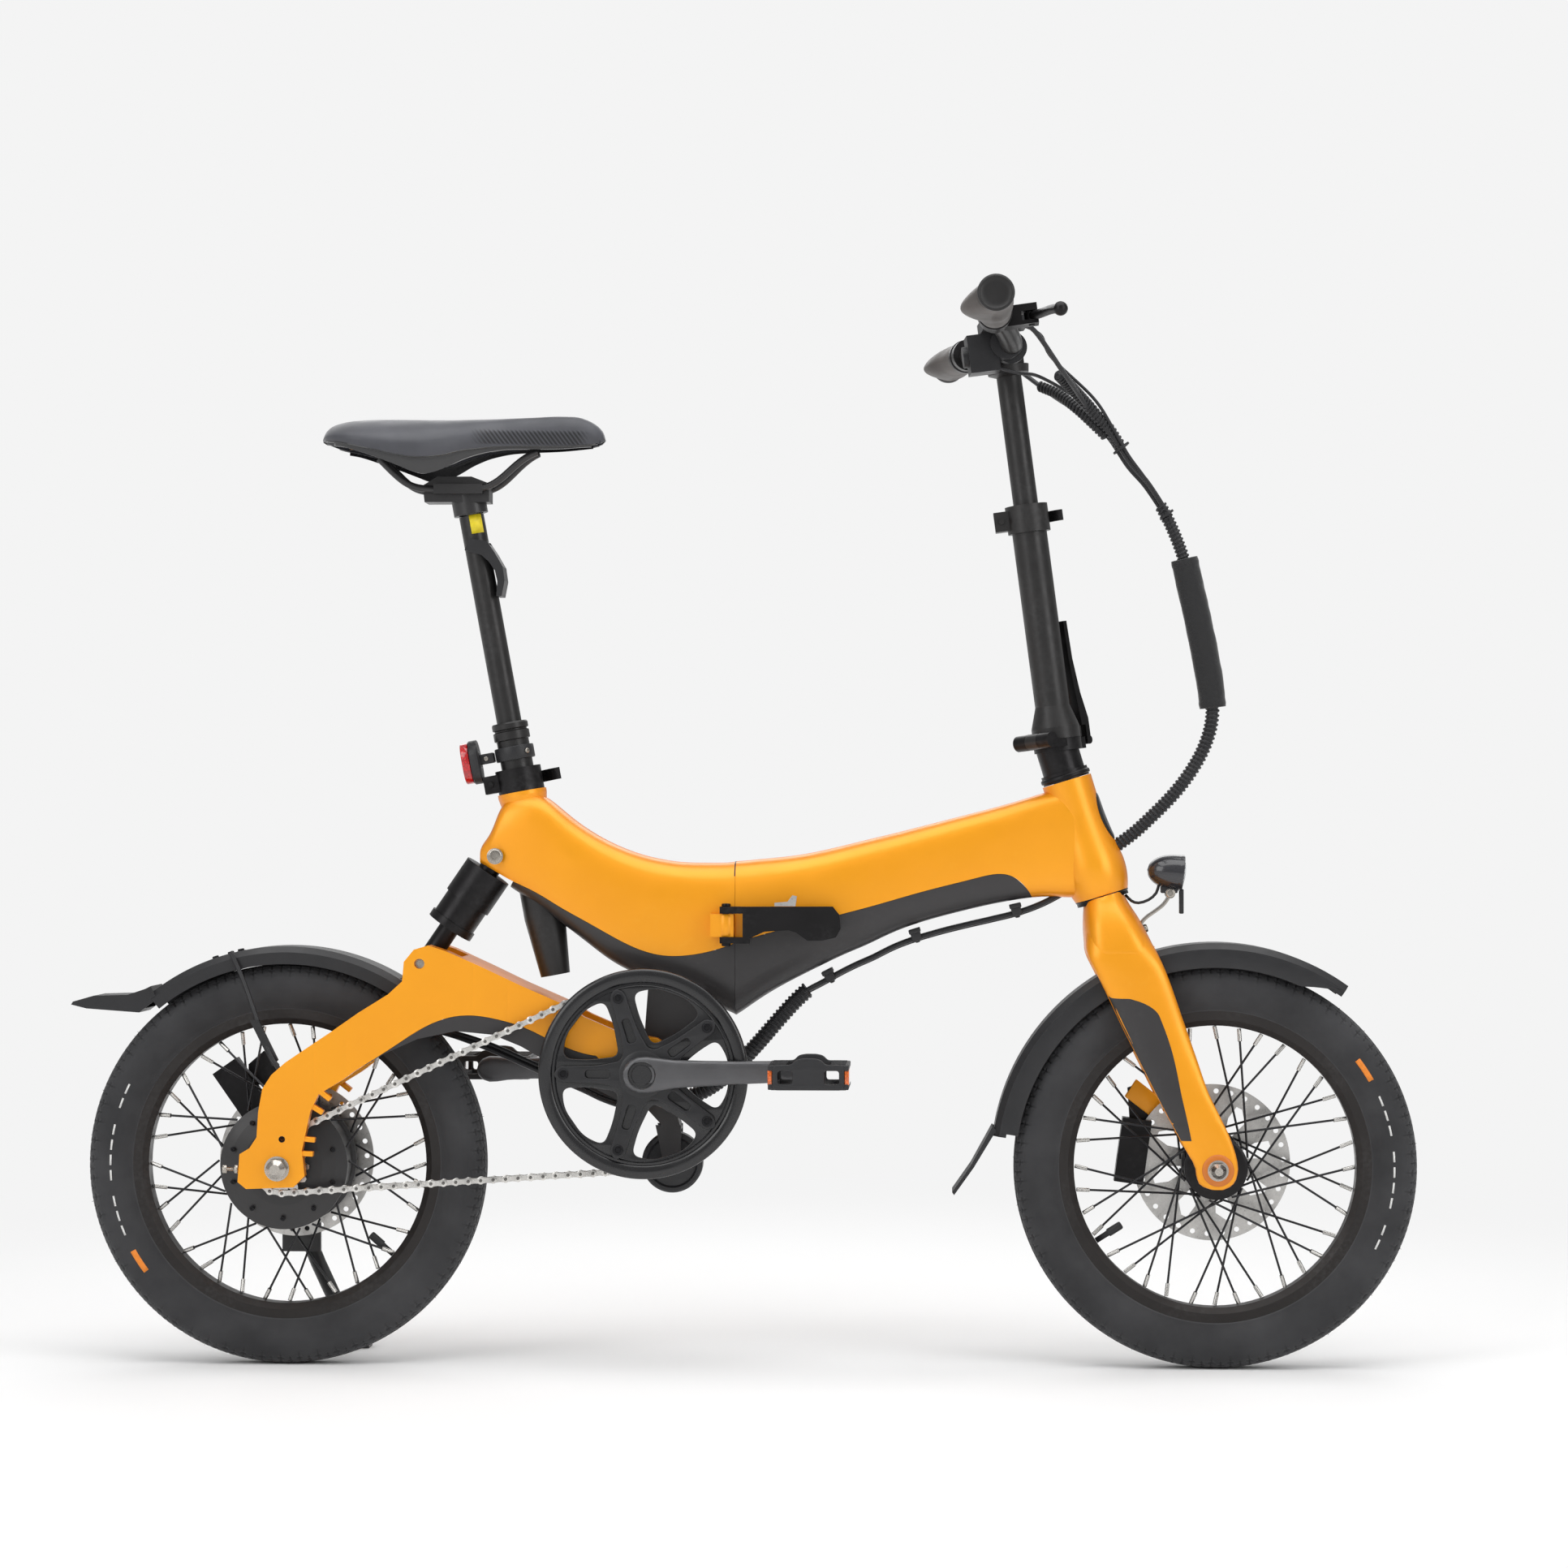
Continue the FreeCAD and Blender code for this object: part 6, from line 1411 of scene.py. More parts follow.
# line of the cables under the front frame: x, z
UNDER_FRAME = [
    (330, 489), (316, 480), (298, 471), (276, 463), (250, 456.5), (224, 450.5), (198, 444),
    (171, 436), (150, 428), (129, 417.5), (112, 410), (96, 402), (78, 392)]
# y, lift, radius
FRAME_CABLES = ((-7.0, 0.0, 2.6), (-1.4, -1.5, 2.6), (4.2, 0.0, 2.6), (9.0, 0.4, 1.9))
for number, (y, lift, radius) in enumerate(FRAME_CABLES, 1):
    route = [(x, y, z - 2.5 + lift) for x, z in UNDER_FRAME]
    route += [(62, y * 0.6, 381 + lift), (50, y * 0.4, 371)]
    cable = add_cable(f"frame_cable_{number}", points(route), radius, "front_frame")
    if number == 1:
        first_frame_cable = cable
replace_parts(first_frame_cable, "frame_cables")


def cable_clip(x, z, slope):
    """Clip under the frame, its slope in degrees: a saddle, two cheeks, a strap and a stud."""
    angle = math.radians(slope)
    along = Vector((math.cos(angle), 0, math.sin(angle)))
    up = Vector((-math.sin(angle), 0, math.cos(angle)))
    centre = pos(x, 0, z)
    parts = [box(centre + up * 0.0035, along * 6, Y_AXIS * 14.5, up * 2.2, 0.8),
             box(centre - up * 0.0058, along * 5, Y_AXIS * 11.8, up * 1.2, 0.6)]
    for side in (-1, 1):
        parts.append(box(centre + Y_AXIS * (side * 0.0122) - up * 0.0012, along * 5,
                         Y_AXIS * 1.2, up * 5.2, 0.6))
    parts.append(solid_lathe([(0, 0), (2.6, 0), (2.6, 1.2), (1.6, 2.0), (0, 2.0)],
                             centre - up * 0.0070, -up, 20))
    return join(parts)


for number, clip in enumerate(((274, 463.5, 13), (172, 438.0, 17), (84, 396.5, 27)), 1):
    add_piece(f"frame_cable_clip_{number}", cable_clip(*clip), "front_frame", "black_plastic")
add_wrap("spiral_fold_loop", points([
    (62, 0, 381), (50, 0, 370), (38, 1, 357), (24, 2, 341), (10, 6, 325), (-6, 12, 308),
    (-24, 19, 291), (-46, 25, 276), (-72, 28, 267), (-100, 28.5, 263)]),
    7.6, "front_frame", pitch=4.6)
# line of the cables along the swingarm: x, y, z, share of each cable's y and z offsets
ARM_LINE = [
    (-96, 28.5, 263, 0.6, 0.6), (-112, 28, 262.5, 1, 1), (-129, 27, 263, 1, 1),
    (-150, 26, 270, 1, 1), (-169, 25.5, 279, 0.9, 1), (-216, 26, 299, 0.7, 1),
    (-262, 28.5, 319, 0.45, 1), (-296, 30, 331, 0.3, 0.7), (-316, 30.6, 336, 0.2, 0.3)]
for number, (off_y, off_z) in enumerate(((0, 2.6), (3.2, -2.2), (-3.0, -2.4)), 1):
    route = [(x, y + off_y * share_y, z + off_z * share_z)
             for x, y, z, share_y, share_z in ARM_LINE]
    add_cable(f"arm_cable_{number}", points(route), 2.6, "swingarm", ARM_BLEND)

# ---------------------------------------------------------------- fasteners and small fittings
BOLT_STEEL = metal("bolt_steel", srgb(176, 170, 162), rough=0.24, scale=700.0)
BLACK_BOLT = anodised("bolt_black", srgb(36, 36, 38), rough=0.3, metallic=0.8,
                      edge=(0.3, 0.3, 0.3))


def hex_fold(angle):
    """Angle from the middle of the nearest of six flats."""
    return (angle + math.pi / 6) % (math.pi / 3) - math.pi / 6


def bolt(place, axis, radius, height, socket=0.5, washer=0.0, segments=30):
    """Button-head bolt standing on place: optional washer, domed head, hexagonal recess."""
    parts = []
    base = 0.0
    if washer:
        base = height * 0.25
        parts.append(solid_lathe([(0, 0), (washer, 0), (washer, 0.7 * base),
                                  (washer - 0.3, base), (0, base)], place, axis, segments))
    recess = radius * socket
    # radius, height, whether hexagonal
    profile = [
        (radius, base, False), (radius, base + height * 0.65, False),
        (radius * 0.93, base + height * 0.8425, False), (radius * 0.78, base + height, False),
        (recess * 1.06, base + height, True), (recess, base + height * 0.85, True),
        (recess * 0.98, base + height * 0.45, True)]
    axis, first, second = square_axes(axis)
    rings = []
    for r, z, hexagonal in profile:
        ring = []
        for k in range(segments):
            angle = 2 * math.pi * k / segments
            reach = r
            if hexagonal:
                reach = r * math.cos(math.pi / 6) / math.cos(hex_fold(angle))
            ring.append(place + (first * (reach * math.cos(angle))
                                 + second * (reach * math.sin(angle)) + axis * z) / 1000)
        rings.append(ring)
    parts.append(loft(rings))
    return join(parts)


def add_bolts(name, items, body, material=BOLT_STEEL, **shape):
    """Bolts given as (place, axis, radius, height)."""
    mesh = join(bolt(*item, **shape) for item in items)
    return add_piece(name, mesh, body, "axle_steel", material, sharp=35)


add_bolts("shock_upper_bolt_heads", [(pos(-254, -33.0, 517.2), RIGHT, 7.2, 2.4),
                                     (pos(-254, 33.0, 517.2), LEFT, 7.2, 2.4)],
          "shock_body", washer=8.2)
add_bolts("shock_lower_bolt_heads", [(pos(-328, -48.0, 409), RIGHT, 7.2, 2.6),
                                     (pos(-328, 48.0, 409), LEFT, 7.2, 2.6)],
          "shock_rod", washer=8.4)

screws = []
for k in range(10):
    angle = math.radians(18 + 36 * k)
    for y, axis in ((-37.9, RIGHT), (37.2, LEFT)):
        screws.append((wheel_point(REAR_AXLE, 53.5, y, angle), axis, 2.6, 1.6))
add_bolts("motor_cover_screws", screws, "rear_wheel", BLACK_BOLT, segments=18)

add_bolts("front_rotor_bolts",
          [(wheel_point(FRONT_AXLE, 25.5, 43.8, math.radians(60 * k + 15)), LEFT, 3.4, 1.6)
           for k in range(6)], "front_wheel", BLACK_BOLT, segments=18)


def threaded_rod(place, axis, radius, length, pitch):
    count = int(length / (pitch / 2))
    profile = [(radius - (0.25 if i % 2 else 0.0), length * i / count) for i in range(count + 1)]
    return solid_lathe([(0, 0)] + profile + [(0, length)], place, axis, 18)


def hex_nut(place, axis, half_flats, height):
    """Bored hexagonal nut with its corners turned off at both faces."""
    axis, first, second = square_axes(axis)
    # greatest radius over half the width across flats, height
    profile = ((0.9858, 0), (1.155, 0.35), (1.155, height - 0.35), (0.9858, height),
               (0.5, height), (0.5, height - 0.6))
    rings = []
    for limit, z in profile:
        ring = []
        for k in range(36):
            angle = 2 * math.pi * k / 36
            reach = half_flats * min(1 / math.cos(hex_fold(angle)), limit)
            ring.append(place + (first * reach * math.cos(angle)
                                 + second * reach * math.sin(angle) + axis * z) / 1000)
        rings.append(ring)
    return loft(rings)


for side, tag in SIDES:
    y = side * 67.5
    rod = threaded_rod(pos(-506, y, 202.5), -X_AXIS, radius=2.4, length=19.0, pitch=0.8)
    nuts = [hex_nut(pos(-509.3, y, 202.5), -X_AXIS, 4.0, 3.6),
            hex_nut(pos(-520.5, y, 202.5), -X_AXIS, 3.9, 4.6)]
    add_piece(f"chain_adjuster_{tag}", join([rod] + nuts), "swingarm", "axle_steel", BOLT_STEEL,
              sharp=35)

# dark rims inside the holes above the dropouts
for side, tag in SIDES:
    rim = lathe([(2.45, -6), (2.45, 0), (2.9, 0.3), (3.3, 0), (3.3, -6)],
                pos(-464.2, side * 74.0, 233), (0, side, 0), 24)
    add_piece(f"rack_eyelet_liner_{tag}", rim, "swingarm", "axle_steel", BLACK_BOLT, sharp=None)

# tabs down the front edge of both dropout legs: x, z, slope in degrees
DROPOUT_TABS = ((-421.5, 277.5, -38), (-429.5, 263.5, -32), (-438.5, 233.0, -6),
                (-440.5, 218.5, -3))
tabs = []
for x, z, slope in DROPOUT_TABS:
    angle = math.radians(slope)
    along = Vector((math.cos(angle), 0, math.sin(angle)))
    up = Vector((-math.sin(angle), 0, math.cos(angle)))
    for side in (-1, 1):
        tabs.append(box(pos(x, side * 68.6, z), along * 7.5, Y_AXIS * 4.6, up * 2.6, 0.8))
add_piece("dropout_cable_tabs", join(tabs), "swingarm", "frame_paint")

guard_bolts = []
for degrees, y in ((109.5, -8), (106.0, 8), (102.5, -8)):
    angle = math.radians(degrees)
    out = Vector((math.cos(angle), 0, math.sin(angle)))
    guard_bolts.append((wheel_point(REAR_AXLE, 221.8, y, angle), out, 3.4, 2.0))
add_bolts("rear_mudguard_bolts", guard_bolts, "swingarm", BLACK_BOLT, washer=4.6)

HEAD_AXIS = joint_axis("steering")
HEAD_TOP = joint_place("steering")
HEAD_FOOT = HEAD_TOP - HEAD_AXIS * 0.122
add_piece("headset_lower_race", lathe(
    [(26.8, -3.0), (27.6, -2.2), (27.6, -0.6), (26.8, 0), (24.0, 0), (24.0, -3.0)],
    HEAD_FOOT + HEAD_AXIS * 0.0014, HEAD_AXIS, 64), "front_frame", "black_anodised")
add_piece("headset_upper_race", lathe(
    [(24.9, 0), (25.6, 0.8), (25.6, 3.2), (24.9, 4.2), (24.4, 4.6), (24.4, 0)],
    HEAD_TOP + HEAD_AXIS * 0.0022, HEAD_AXIS, 64), "fork", "black_anodised")
# darker copy of the orange paint: painted shade for the fork's dropout rings
PAINTED_SHADE_ORANGE = paint("paint_orange_painted_shade", srgb(214, 120, 30), srgb(150, 74, 12),
                     rough=0.42, coat=0.2)

# ---------------------------------------------------------------- cranks and chain guard
CRANK_CENTRE = joint_place("crank_spin")
CRANK_CENTRE.y = SHIFT_Y / 1000
CRANK_GREY = anodised("crank_forged", srgb(92, 92, 94), rough=0.38, metallic=0.55, grain=500.0,
                      amount=0.08)
SPIDER_BLACK = moulded("spider_black", srgb(36, 36, 38), rough=0.38, amount=0.12)
CHAIN_PITCH = 12.7
CHAINRING_TEETH = 48
SPROCKET_TEETH = 13
SPIDER_ANGLES = [180 - 72 * k for k in range(5)]


def pitch_radius(teeth):
    return CHAIN_PITCH / (2 * math.sin(math.pi / teeth))


def plate_mesh(name, loops, y, thick, bevel, origin, resolution):
    """Flat plate with rolled edges, drawn in x and z about origin; its outline comes first
    and its holes after."""
    curve = bpy.data.curves.new(name, "CURVE")
    curve.dimensions = "2D"
    curve.fill_mode = "BOTH"
    curve.extrude = thick / 2000 - bevel / 1000
    curve.bevel_depth = bevel / 1000
    curve.bevel_resolution = resolution
    curve.offset = -bevel / 1000
    for outline in loops:
        line = curve.splines.new("POLY")
        line.points.add(len(outline) - 1)
        for i, (x, z) in enumerate(outline):
            line.points[i].co = (x / 1000, z / 1000, 0, 1)
        line.use_cyclic_u = True
    drawn = bpy.data.objects.new(name + "_c", curve)
    bpy.context.scene.collection.objects.link(drawn)
    graph = bpy.context.evaluated_depsgraph_get()
    data = bpy.data.meshes.new_from_object(drawn.evaluated_get(graph))
    verts = [origin + Vector((v.co.x, (y / 1000) + v.co.z, v.co.y)) for v in data.vertices]
    faces = [tuple(polygon.vertices) for polygon in data.polygons]
    bpy.data.objects.remove(drawn)
    bpy.data.curves.remove(curve)
    bpy.data.meshes.remove(data)
    return weld(verts, faces)


def weld(verts, faces):
    """Joins vertices at one place, since a curve's fill and bevel are separate shells."""
    index, welded, places = {}, [], []
    for v in verts:
        key = (round(v.x, 6), round(v.y, 6), round(v.z, 6))
        if key not in index:
            index[key] = len(welded)
            welded.append(v)
        places.append(index[key])
    kept = []
    for face in faces:
        corners = []
        for i in face:
            if not corners or corners[-1] != places[i]:
                corners.append(places[i])
        if len(corners) > 2 and corners[0] == corners[-1]:
            corners.pop()
        if len(set(corners)) > 2:
            kept.append(tuple(corners))
    return welded, kept


def add_plate(name, loops, y, thick, bevel, body, slot, material=None, origin=CRANK_CENTRE,
              resolution=3):
    mesh = plate_mesh(name, loops, y, thick, bevel, origin, resolution)
    return add_piece(name, mesh, body, slot, material)


def rounded(outline, radii, steps=7):
    """Rounds every corner of an outline by one radius or by a list of them."""
    out = []
    count = len(outline)
    for i in range(count):
        corner, before, after = (Vector(outline[j]) for j in (i, i - 1, (i + 1) % count))
        radius = radii[i] if isinstance(radii, (list, tuple)) else radii
        back, onward = before - corner, after - corner
        reach = min(radius, back.length * 0.45, onward.length * 0.45)
        start = corner + back.normalized() * reach
        end = corner + onward.normalized() * reach
        for k in range(steps + 1):
            s = k / steps
            p = start * (1 - s) ** 2 + corner * 2 * s * (1 - s) + end * s ** 2
            out.append((p.x, p.y))
    return out


def polar(radius, degrees):
    angle = math.radians(degrees)
    return (radius * math.cos(angle), radius * math.sin(angle))


def turned(outline, degrees):
    cosine, sine = polar(1, degrees)
    return [(x * cosine - z * sine, x * sine + z * cosine) for x, z in outline]


def guard_loops():
    """Disc with five rounded windows between the spider arms."""
    # radius, degrees from the window's middle, corner radius
    window = ((30, 0, 9), (58, -23, 10), (83, -26, 9), (87, -12, 14), (87, 10, 14),
              (82, 25, 9), (58, 22, 10))
    loops = [[polar(93.5, 360 * k / 144) for k in range(144)]]
    for angle in SPIDER_ANGLES:
        corners = [polar(radius, angle - 36 + turn) for radius, turn, _ in window]
        loops.append(rounded(corners, [corner for _, _, corner in window]))
    return loops


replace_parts(add_plate("chain_guard_disc", guard_loops(), -62.6, 3.8, 0.9, "crankset",
                      "guard_plastic"), "chain_guard")
guard_rim = []
for k in range(22):
    angle = math.pi * (k / 21)
    guard_rim.append((98.6 - 7.1 * math.cos(angle), 63.4 + 4.0 * math.sin(angle) ** 0.8))
guard_rim += [(105.4, 61.5), (103.8, 60.3), (99, 60.2), (96, 60.4), (95.4, 58.9), (93.0, 58.9),
              (91.6, 60.6)]
add_piece("chain_guard_rim", lathe(guard_rim, CRANK_CENTRE, RIGHT, 160), "crankset",
          "guard_plastic", sharp=50)
guard_step = [(89.8, 64.3), (88.6, 65.2), (87.6, 64.3), (87.6, 62.0), (89.8, 62.0)]
add_piece("chain_guard_step", lathe(guard_step, CRANK_CENTRE, RIGHT, 144), "crankset",
          "guard_plastic", sharp=50)


def chainring_loops():
    """Toothed ring with five bolt lugs inside."""
    # degrees from the tooth's middle, radius beyond the pitch circle
    tooth = ((-3.75, -3.3), (-2.4, -2.6), (-1.35, 1.2), (-0.75, 3.6), (0.75, 3.6), (1.35, 1.2),
             (2.4, -2.6))
    outer = []
    for k in range(CHAINRING_TEETH):
        middle = 360 * k / CHAINRING_TEETH + 180 / CHAINRING_TEETH
        outer += [polar(pitch_radius(CHAINRING_TEETH) + r, middle + turn) for turn, r in tooth]
    inner = []
    for angle in range(0, 360, 2):
        off = min(abs((angle - lug + 180) % 360 - 180) for lug in SPIDER_ANGLES)
        radius = 87.5
        if off <= 8:
            radius -= 14.5 * math.cos(math.radians(off / 8 * 90)) ** 0.6
        inner.append(polar(radius, angle))
    return [outer, inner]


def spider_loops():
    """Five-arm star with a slot down each arm."""
    arm = [(24, -13), (44, -9.0), (70, -8.0), (84, -8.0), (90.5, 0), (84, 8.0), (70, 8.0),
           (44, 9.0), (24, 13)]
    arms = [turned(arm, angle) for angle in SPIDER_ANGLES]
    arms.sort(key=lambda p: math.atan2(sum(q[1] for q in p), sum(q[0] for q in p)))
    slot = rounded([(33, -4.6), (58, -4.0), (58, 4.0), (33, 4.6)], 4.0)
    star = [p for outline in arms for p in outline]
    return [rounded(star, 7)] + [turned(slot, angle) for angle in SPIDER_ANGLES]


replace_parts(add_plate("chainring_teeth", chainring_loops(), -52.0, 2.6, 0.35, "crankset",
                      "black_anodised", resolution=1), "chainring")
add_plate("crank_spider", spider_loops(), -67.4, 5.0, 1.1, "crankset", "guard_plastic",
          SPIDER_BLACK)
add_bolts("chainring_bolts",
          [(wheel_point(CRANK_CENTRE, 80, -69.6, math.radians(angle)), RIGHT, 5.2, 2.4)
           for angle in SPIDER_ANGLES], "crankset", BLACK_BOLT, socket=0.55)

CRANK_LENGTH = 170.0
# stations of a crank arm: distance from the axle, half width, distance from the centre plane
CRANK_STATIONS = [
    (-18.6, 0.4, 76.4), (-18.2, 6, 76.4), (-16, 10.6, 76.4), (-11, 15.0, 76.6),
    (-4, 17.9, 76.8), (5, 18.3, 76.9), (16, 16.8, 76.9), (32, 14.4, 76.9), (60, 12.8, 77.0),
    (95, 11.6, 77.1), (130, 11.0, 77.2), (152, 11.8, 77.3), (163, 13.2, 77.4),
    (171, 13.4, 77.4), (178, 10.8, 77.4), (182, 6.4, 77.4), (183.6, 0.4, 77.4)]


def crank_arm(side):
    """Forged arm, wide at the boss and slimmer towards the pedal eye, with its spindle. The
    right arm points forward and the left one back."""
    tilt = math.radians(1.4)
    along = Vector((math.cos(tilt), 0, math.sin(tilt))) * -side
    across = Vector((-math.sin(tilt), 0, math.cos(tilt))) * -side
    dense = []
    for a, b in zip(CRANK_STATIONS, CRANK_STATIONS[1:]):
        count = max(1, int(abs(b[0] - a[0]) / 3))
        for k in range(count):
            dense.append(tuple(a[j] + (b[j] - a[j]) * k / count for j in range(3)))
    dense.append(CRANK_STATIONS[-1])
    rings = []
    for reach, half_width, middle in dense:
        half_depth = 6.9 - 1.1 * clamp((reach - 10) / 60) + 0.9 * clamp((reach - 150) / 15)
        ring = []
        for k in range(40):
            angle = 2 * math.pi * k / 40
            z = signed_power(math.cos(angle), 2 / 3.0) * half_width
            y = signed_power(math.sin(angle), 2 / 3.2) * half_depth
            ring.append(CRANK_CENTRE + along * (reach / 1000) + across * (z / 1000)
                        + Vector((0, side * (middle + y) / 1000, 0)))
        rings.append(ring)
    spindle = solid_lathe(
        [(0, 84), (7.8, 84), (8.2, 84.5), (8.2, 91.5), (7.8, 92.5), (4.6, 92.8), (4.6, 179),
         (0, 179.5)], CRANK_CENTRE + along * (CRANK_LENGTH / 1000), (0, side, 0), 32)
    return join([loft(rings), spindle])


for side, tag in SIDES:
    arm = add_piece(f"{tag}_crank_forging", crank_arm(side), "crankset", "black_anodised",
                    CRANK_GREY, sharp=50)
    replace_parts(arm, f"{tag}_crank")
    cap = [(0, 83.8), (9.8, 83.8), (10.2, 84.3), (10.6, 83.6), (12.8, 83.6), (13.4, 84.2),
           (14.2, 83.6), (14.6, 81.5), (0, 81.5)]
    add_piece(f"{tag}_crank_cap", solid_lathe(cap, CRANK_CENTRE, (0, side, 0), 56), "crankset",
              "guard_plastic", sharp=30)
add_piece("crank_spindle", lathe([(0.2, -70), (11.8, -70), (11.8, 70), (0.2, 70)],
                                 CRANK_CENTRE, LEFT, 40), "crankset", "axle_steel")
add_piece("spider_hub", lathe(
    [(12.1, 64.5), (23.5, 64.5), (25.5, 66.0), (25.5, 69.0), (21.5, 71.2), (12.1, 71.2)],
    CRANK_CENTRE, RIGHT, 64), "crankset", "guard_plastic", SPIDER_BLACK)

# ---------------------------------------------------------------- chain
SPROCKET_X, SPROCKET_Z = REAR_AXLE_X, 203.5
CHAINRING_X, CHAINRING_Z = -101.0, 299.0
CHAIN_Y = -52.0
PLATE_THICKNESS = 0.95
PLATE_RADIUS = 3.9
OUTER_PLATE_Y = 3.55
INNER_PLATE_Y = 2.45


def chain_path():
    """Loop round the sprocket's back and the chainring's front, as (x, z)."""
    big, small = pitch_radius(CHAINRING_TEETH), pitch_radius(SPROCKET_TEETH)
    run_x, run_z = CHAINRING_X - SPROCKET_X, CHAINRING_Z - SPROCKET_Z
    base = math.atan2(run_z, run_x)
    off = math.asin((big - small) / math.hypot(run_x, run_z))
    upper, lower = base + math.pi / 2 + off, base - math.pi / 2 - off
    arcs = ((SPROCKET_X, SPROCKET_Z, small, lower, upper - 2 * math.pi, 40),
            (CHAINRING_X, CHAINRING_Z, big, upper, lower, 160))
    path = []
    for x, z, radius, start, end, steps in arcs:
        for k in range(steps + 1):
            angle = start + (end - start) * k / steps
            path.append((x + radius * math.cos(angle), z + radius * math.sin(angle)))
    path.append(path[0])
    return path


def chain_pins():
    """Pin places (x, z) spaced evenly round the path, an even number of them."""
    path = chain_path()
    lengths = [0.0]
    for a, b in zip(path, path[1:]):
        lengths.append(lengths[-1] + math.dist(a, b))
    total = lengths[-1]
    count = int(round(total / CHAIN_PITCH / 2) * 2)
    pins = []
    for k in range(count):
        place = k * (total / count) % total
        i = int(np.searchsorted(lengths, place, side="right")) - 1
        i = min(max(i, 0), len(path) - 2)
        t = (place - lengths[i]) / max(1e-9, lengths[i + 1] - lengths[i])
        (x0, z0), (x1, z1) = path[i], path[i + 1]
        pins.append((x0 + (x1 - x0) * t, z0 + (z1 - z0) * t))
    return pins


def link_plate(pin, next_pin, y):
    """Waisted side plate with a chamfered rim."""
    along = Vector((next_pin[0] - pin[0], 0, next_pin[1] - pin[1]))
    half = along.length / 2
    along.normalize()
    across = Vector((-along.z, 0, along.x))
    outline = []
    for centre, turn, waist in ((half, 0, PLATE_RADIUS), (-half, math.pi, -PLATE_RADIUS)):
        for k in range(9):
            angle = turn + math.radians(130) * (2 * k / 8 - 1)
            outline.append((centre + PLATE_RADIUS * math.cos(angle),
                            PLATE_RADIUS * math.sin(angle)))
        outline.append((0.0, waist * 0.66))
    outline.sort(key=lambda p: math.atan2(p[1], p[0]))
    middle = Vector(((pin[0] + next_pin[0]) / 2, 0, (pin[1] + next_pin[1]) / 2))
    face = PLATE_THICKNESS / 2
    rings = []
    for off, scale in ((-face, 0.93), (-face + 0.25, 1.0), (face - 0.25, 1.0), (face, 0.93)):
        ring = []
        for x, z in outline:
            p = middle + along * (x * scale) + across * (z * scale)
            ring.append(pos(p.x, y + off, p.z))
        rings.append(ring)
    return loft(rings)


def add_chain():
    outer, inner, pin_parts = [], [], []
    pins = chain_pins()
    for k, pin in enumerate(pins):
        plates, plate_y = (outer, OUTER_PLATE_Y) if k % 2 else (inner, INNER_PLATE_Y)
        for side in (-1, 1):
            next_pin = pins[(k + 1) % len(pins)]
            plates.append(link_plate(pin, next_pin, CHAIN_Y + side * plate_y))
            pin_parts.append(solid_lathe(
                [(0, 1.65), (1.75, 1.65), (1.75, 4.15), (1.25, 4.35), (0, 4.35)],
                pos(pin[0], CHAIN_Y, pin[1]), (0, side, 0), 12))
    silver = metal("chain_silver", srgb(222, 220, 216), rough=0.30, scale=700.0)
    dark = metal("chain_pin", srgb(120, 118, 115), rough=0.35, scale=700.0)
    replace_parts(add_piece("chain_outer_plates", join(outer), "swingarm", "chain_steel", silver),
                "chain")
    add_piece("chain_inner_plates", join(inner), "swingarm", "chain_steel", silver)
    add_piece("chain_pins", join(pin_parts), "swingarm", "chain_steel", dark)


add_chain()

# ---------------------------------------------------------------- pedals
PEDAL_INNER, PEDAL_OUTER = 98.5, 181.5
# end cheek with an arched crown, and its two windows: x, z
CHEEK = [
    (-35, -9.5), (-32, -12.4), (32, -12.4), (35, -9.5), (35, 9.5), (32, 12.4), (17, 12.4),
    (12, 17.4), (5, 18.8), (-5, 18.8), (-12, 17.4), (-17, 12.4), (-32, 12.4), (-35, 9.5)]
CHEEK_WINDOWS = ([(-30, -6.6), (-15.5, -6.6), (-15.5, 6.6), (-30, 6.6)],
                 [(15.5, -6.6), (30, -6.6), (30, 6.6), (15.5, 6.6)])


def pedal_box(centre, place, half_x, half_y, half_z, bevel):
    return box(centre + Vector(place) / 1000, X_AXIS * half_x, Y_AXIS * half_y,
               Z_AXIS * half_z, bevel)


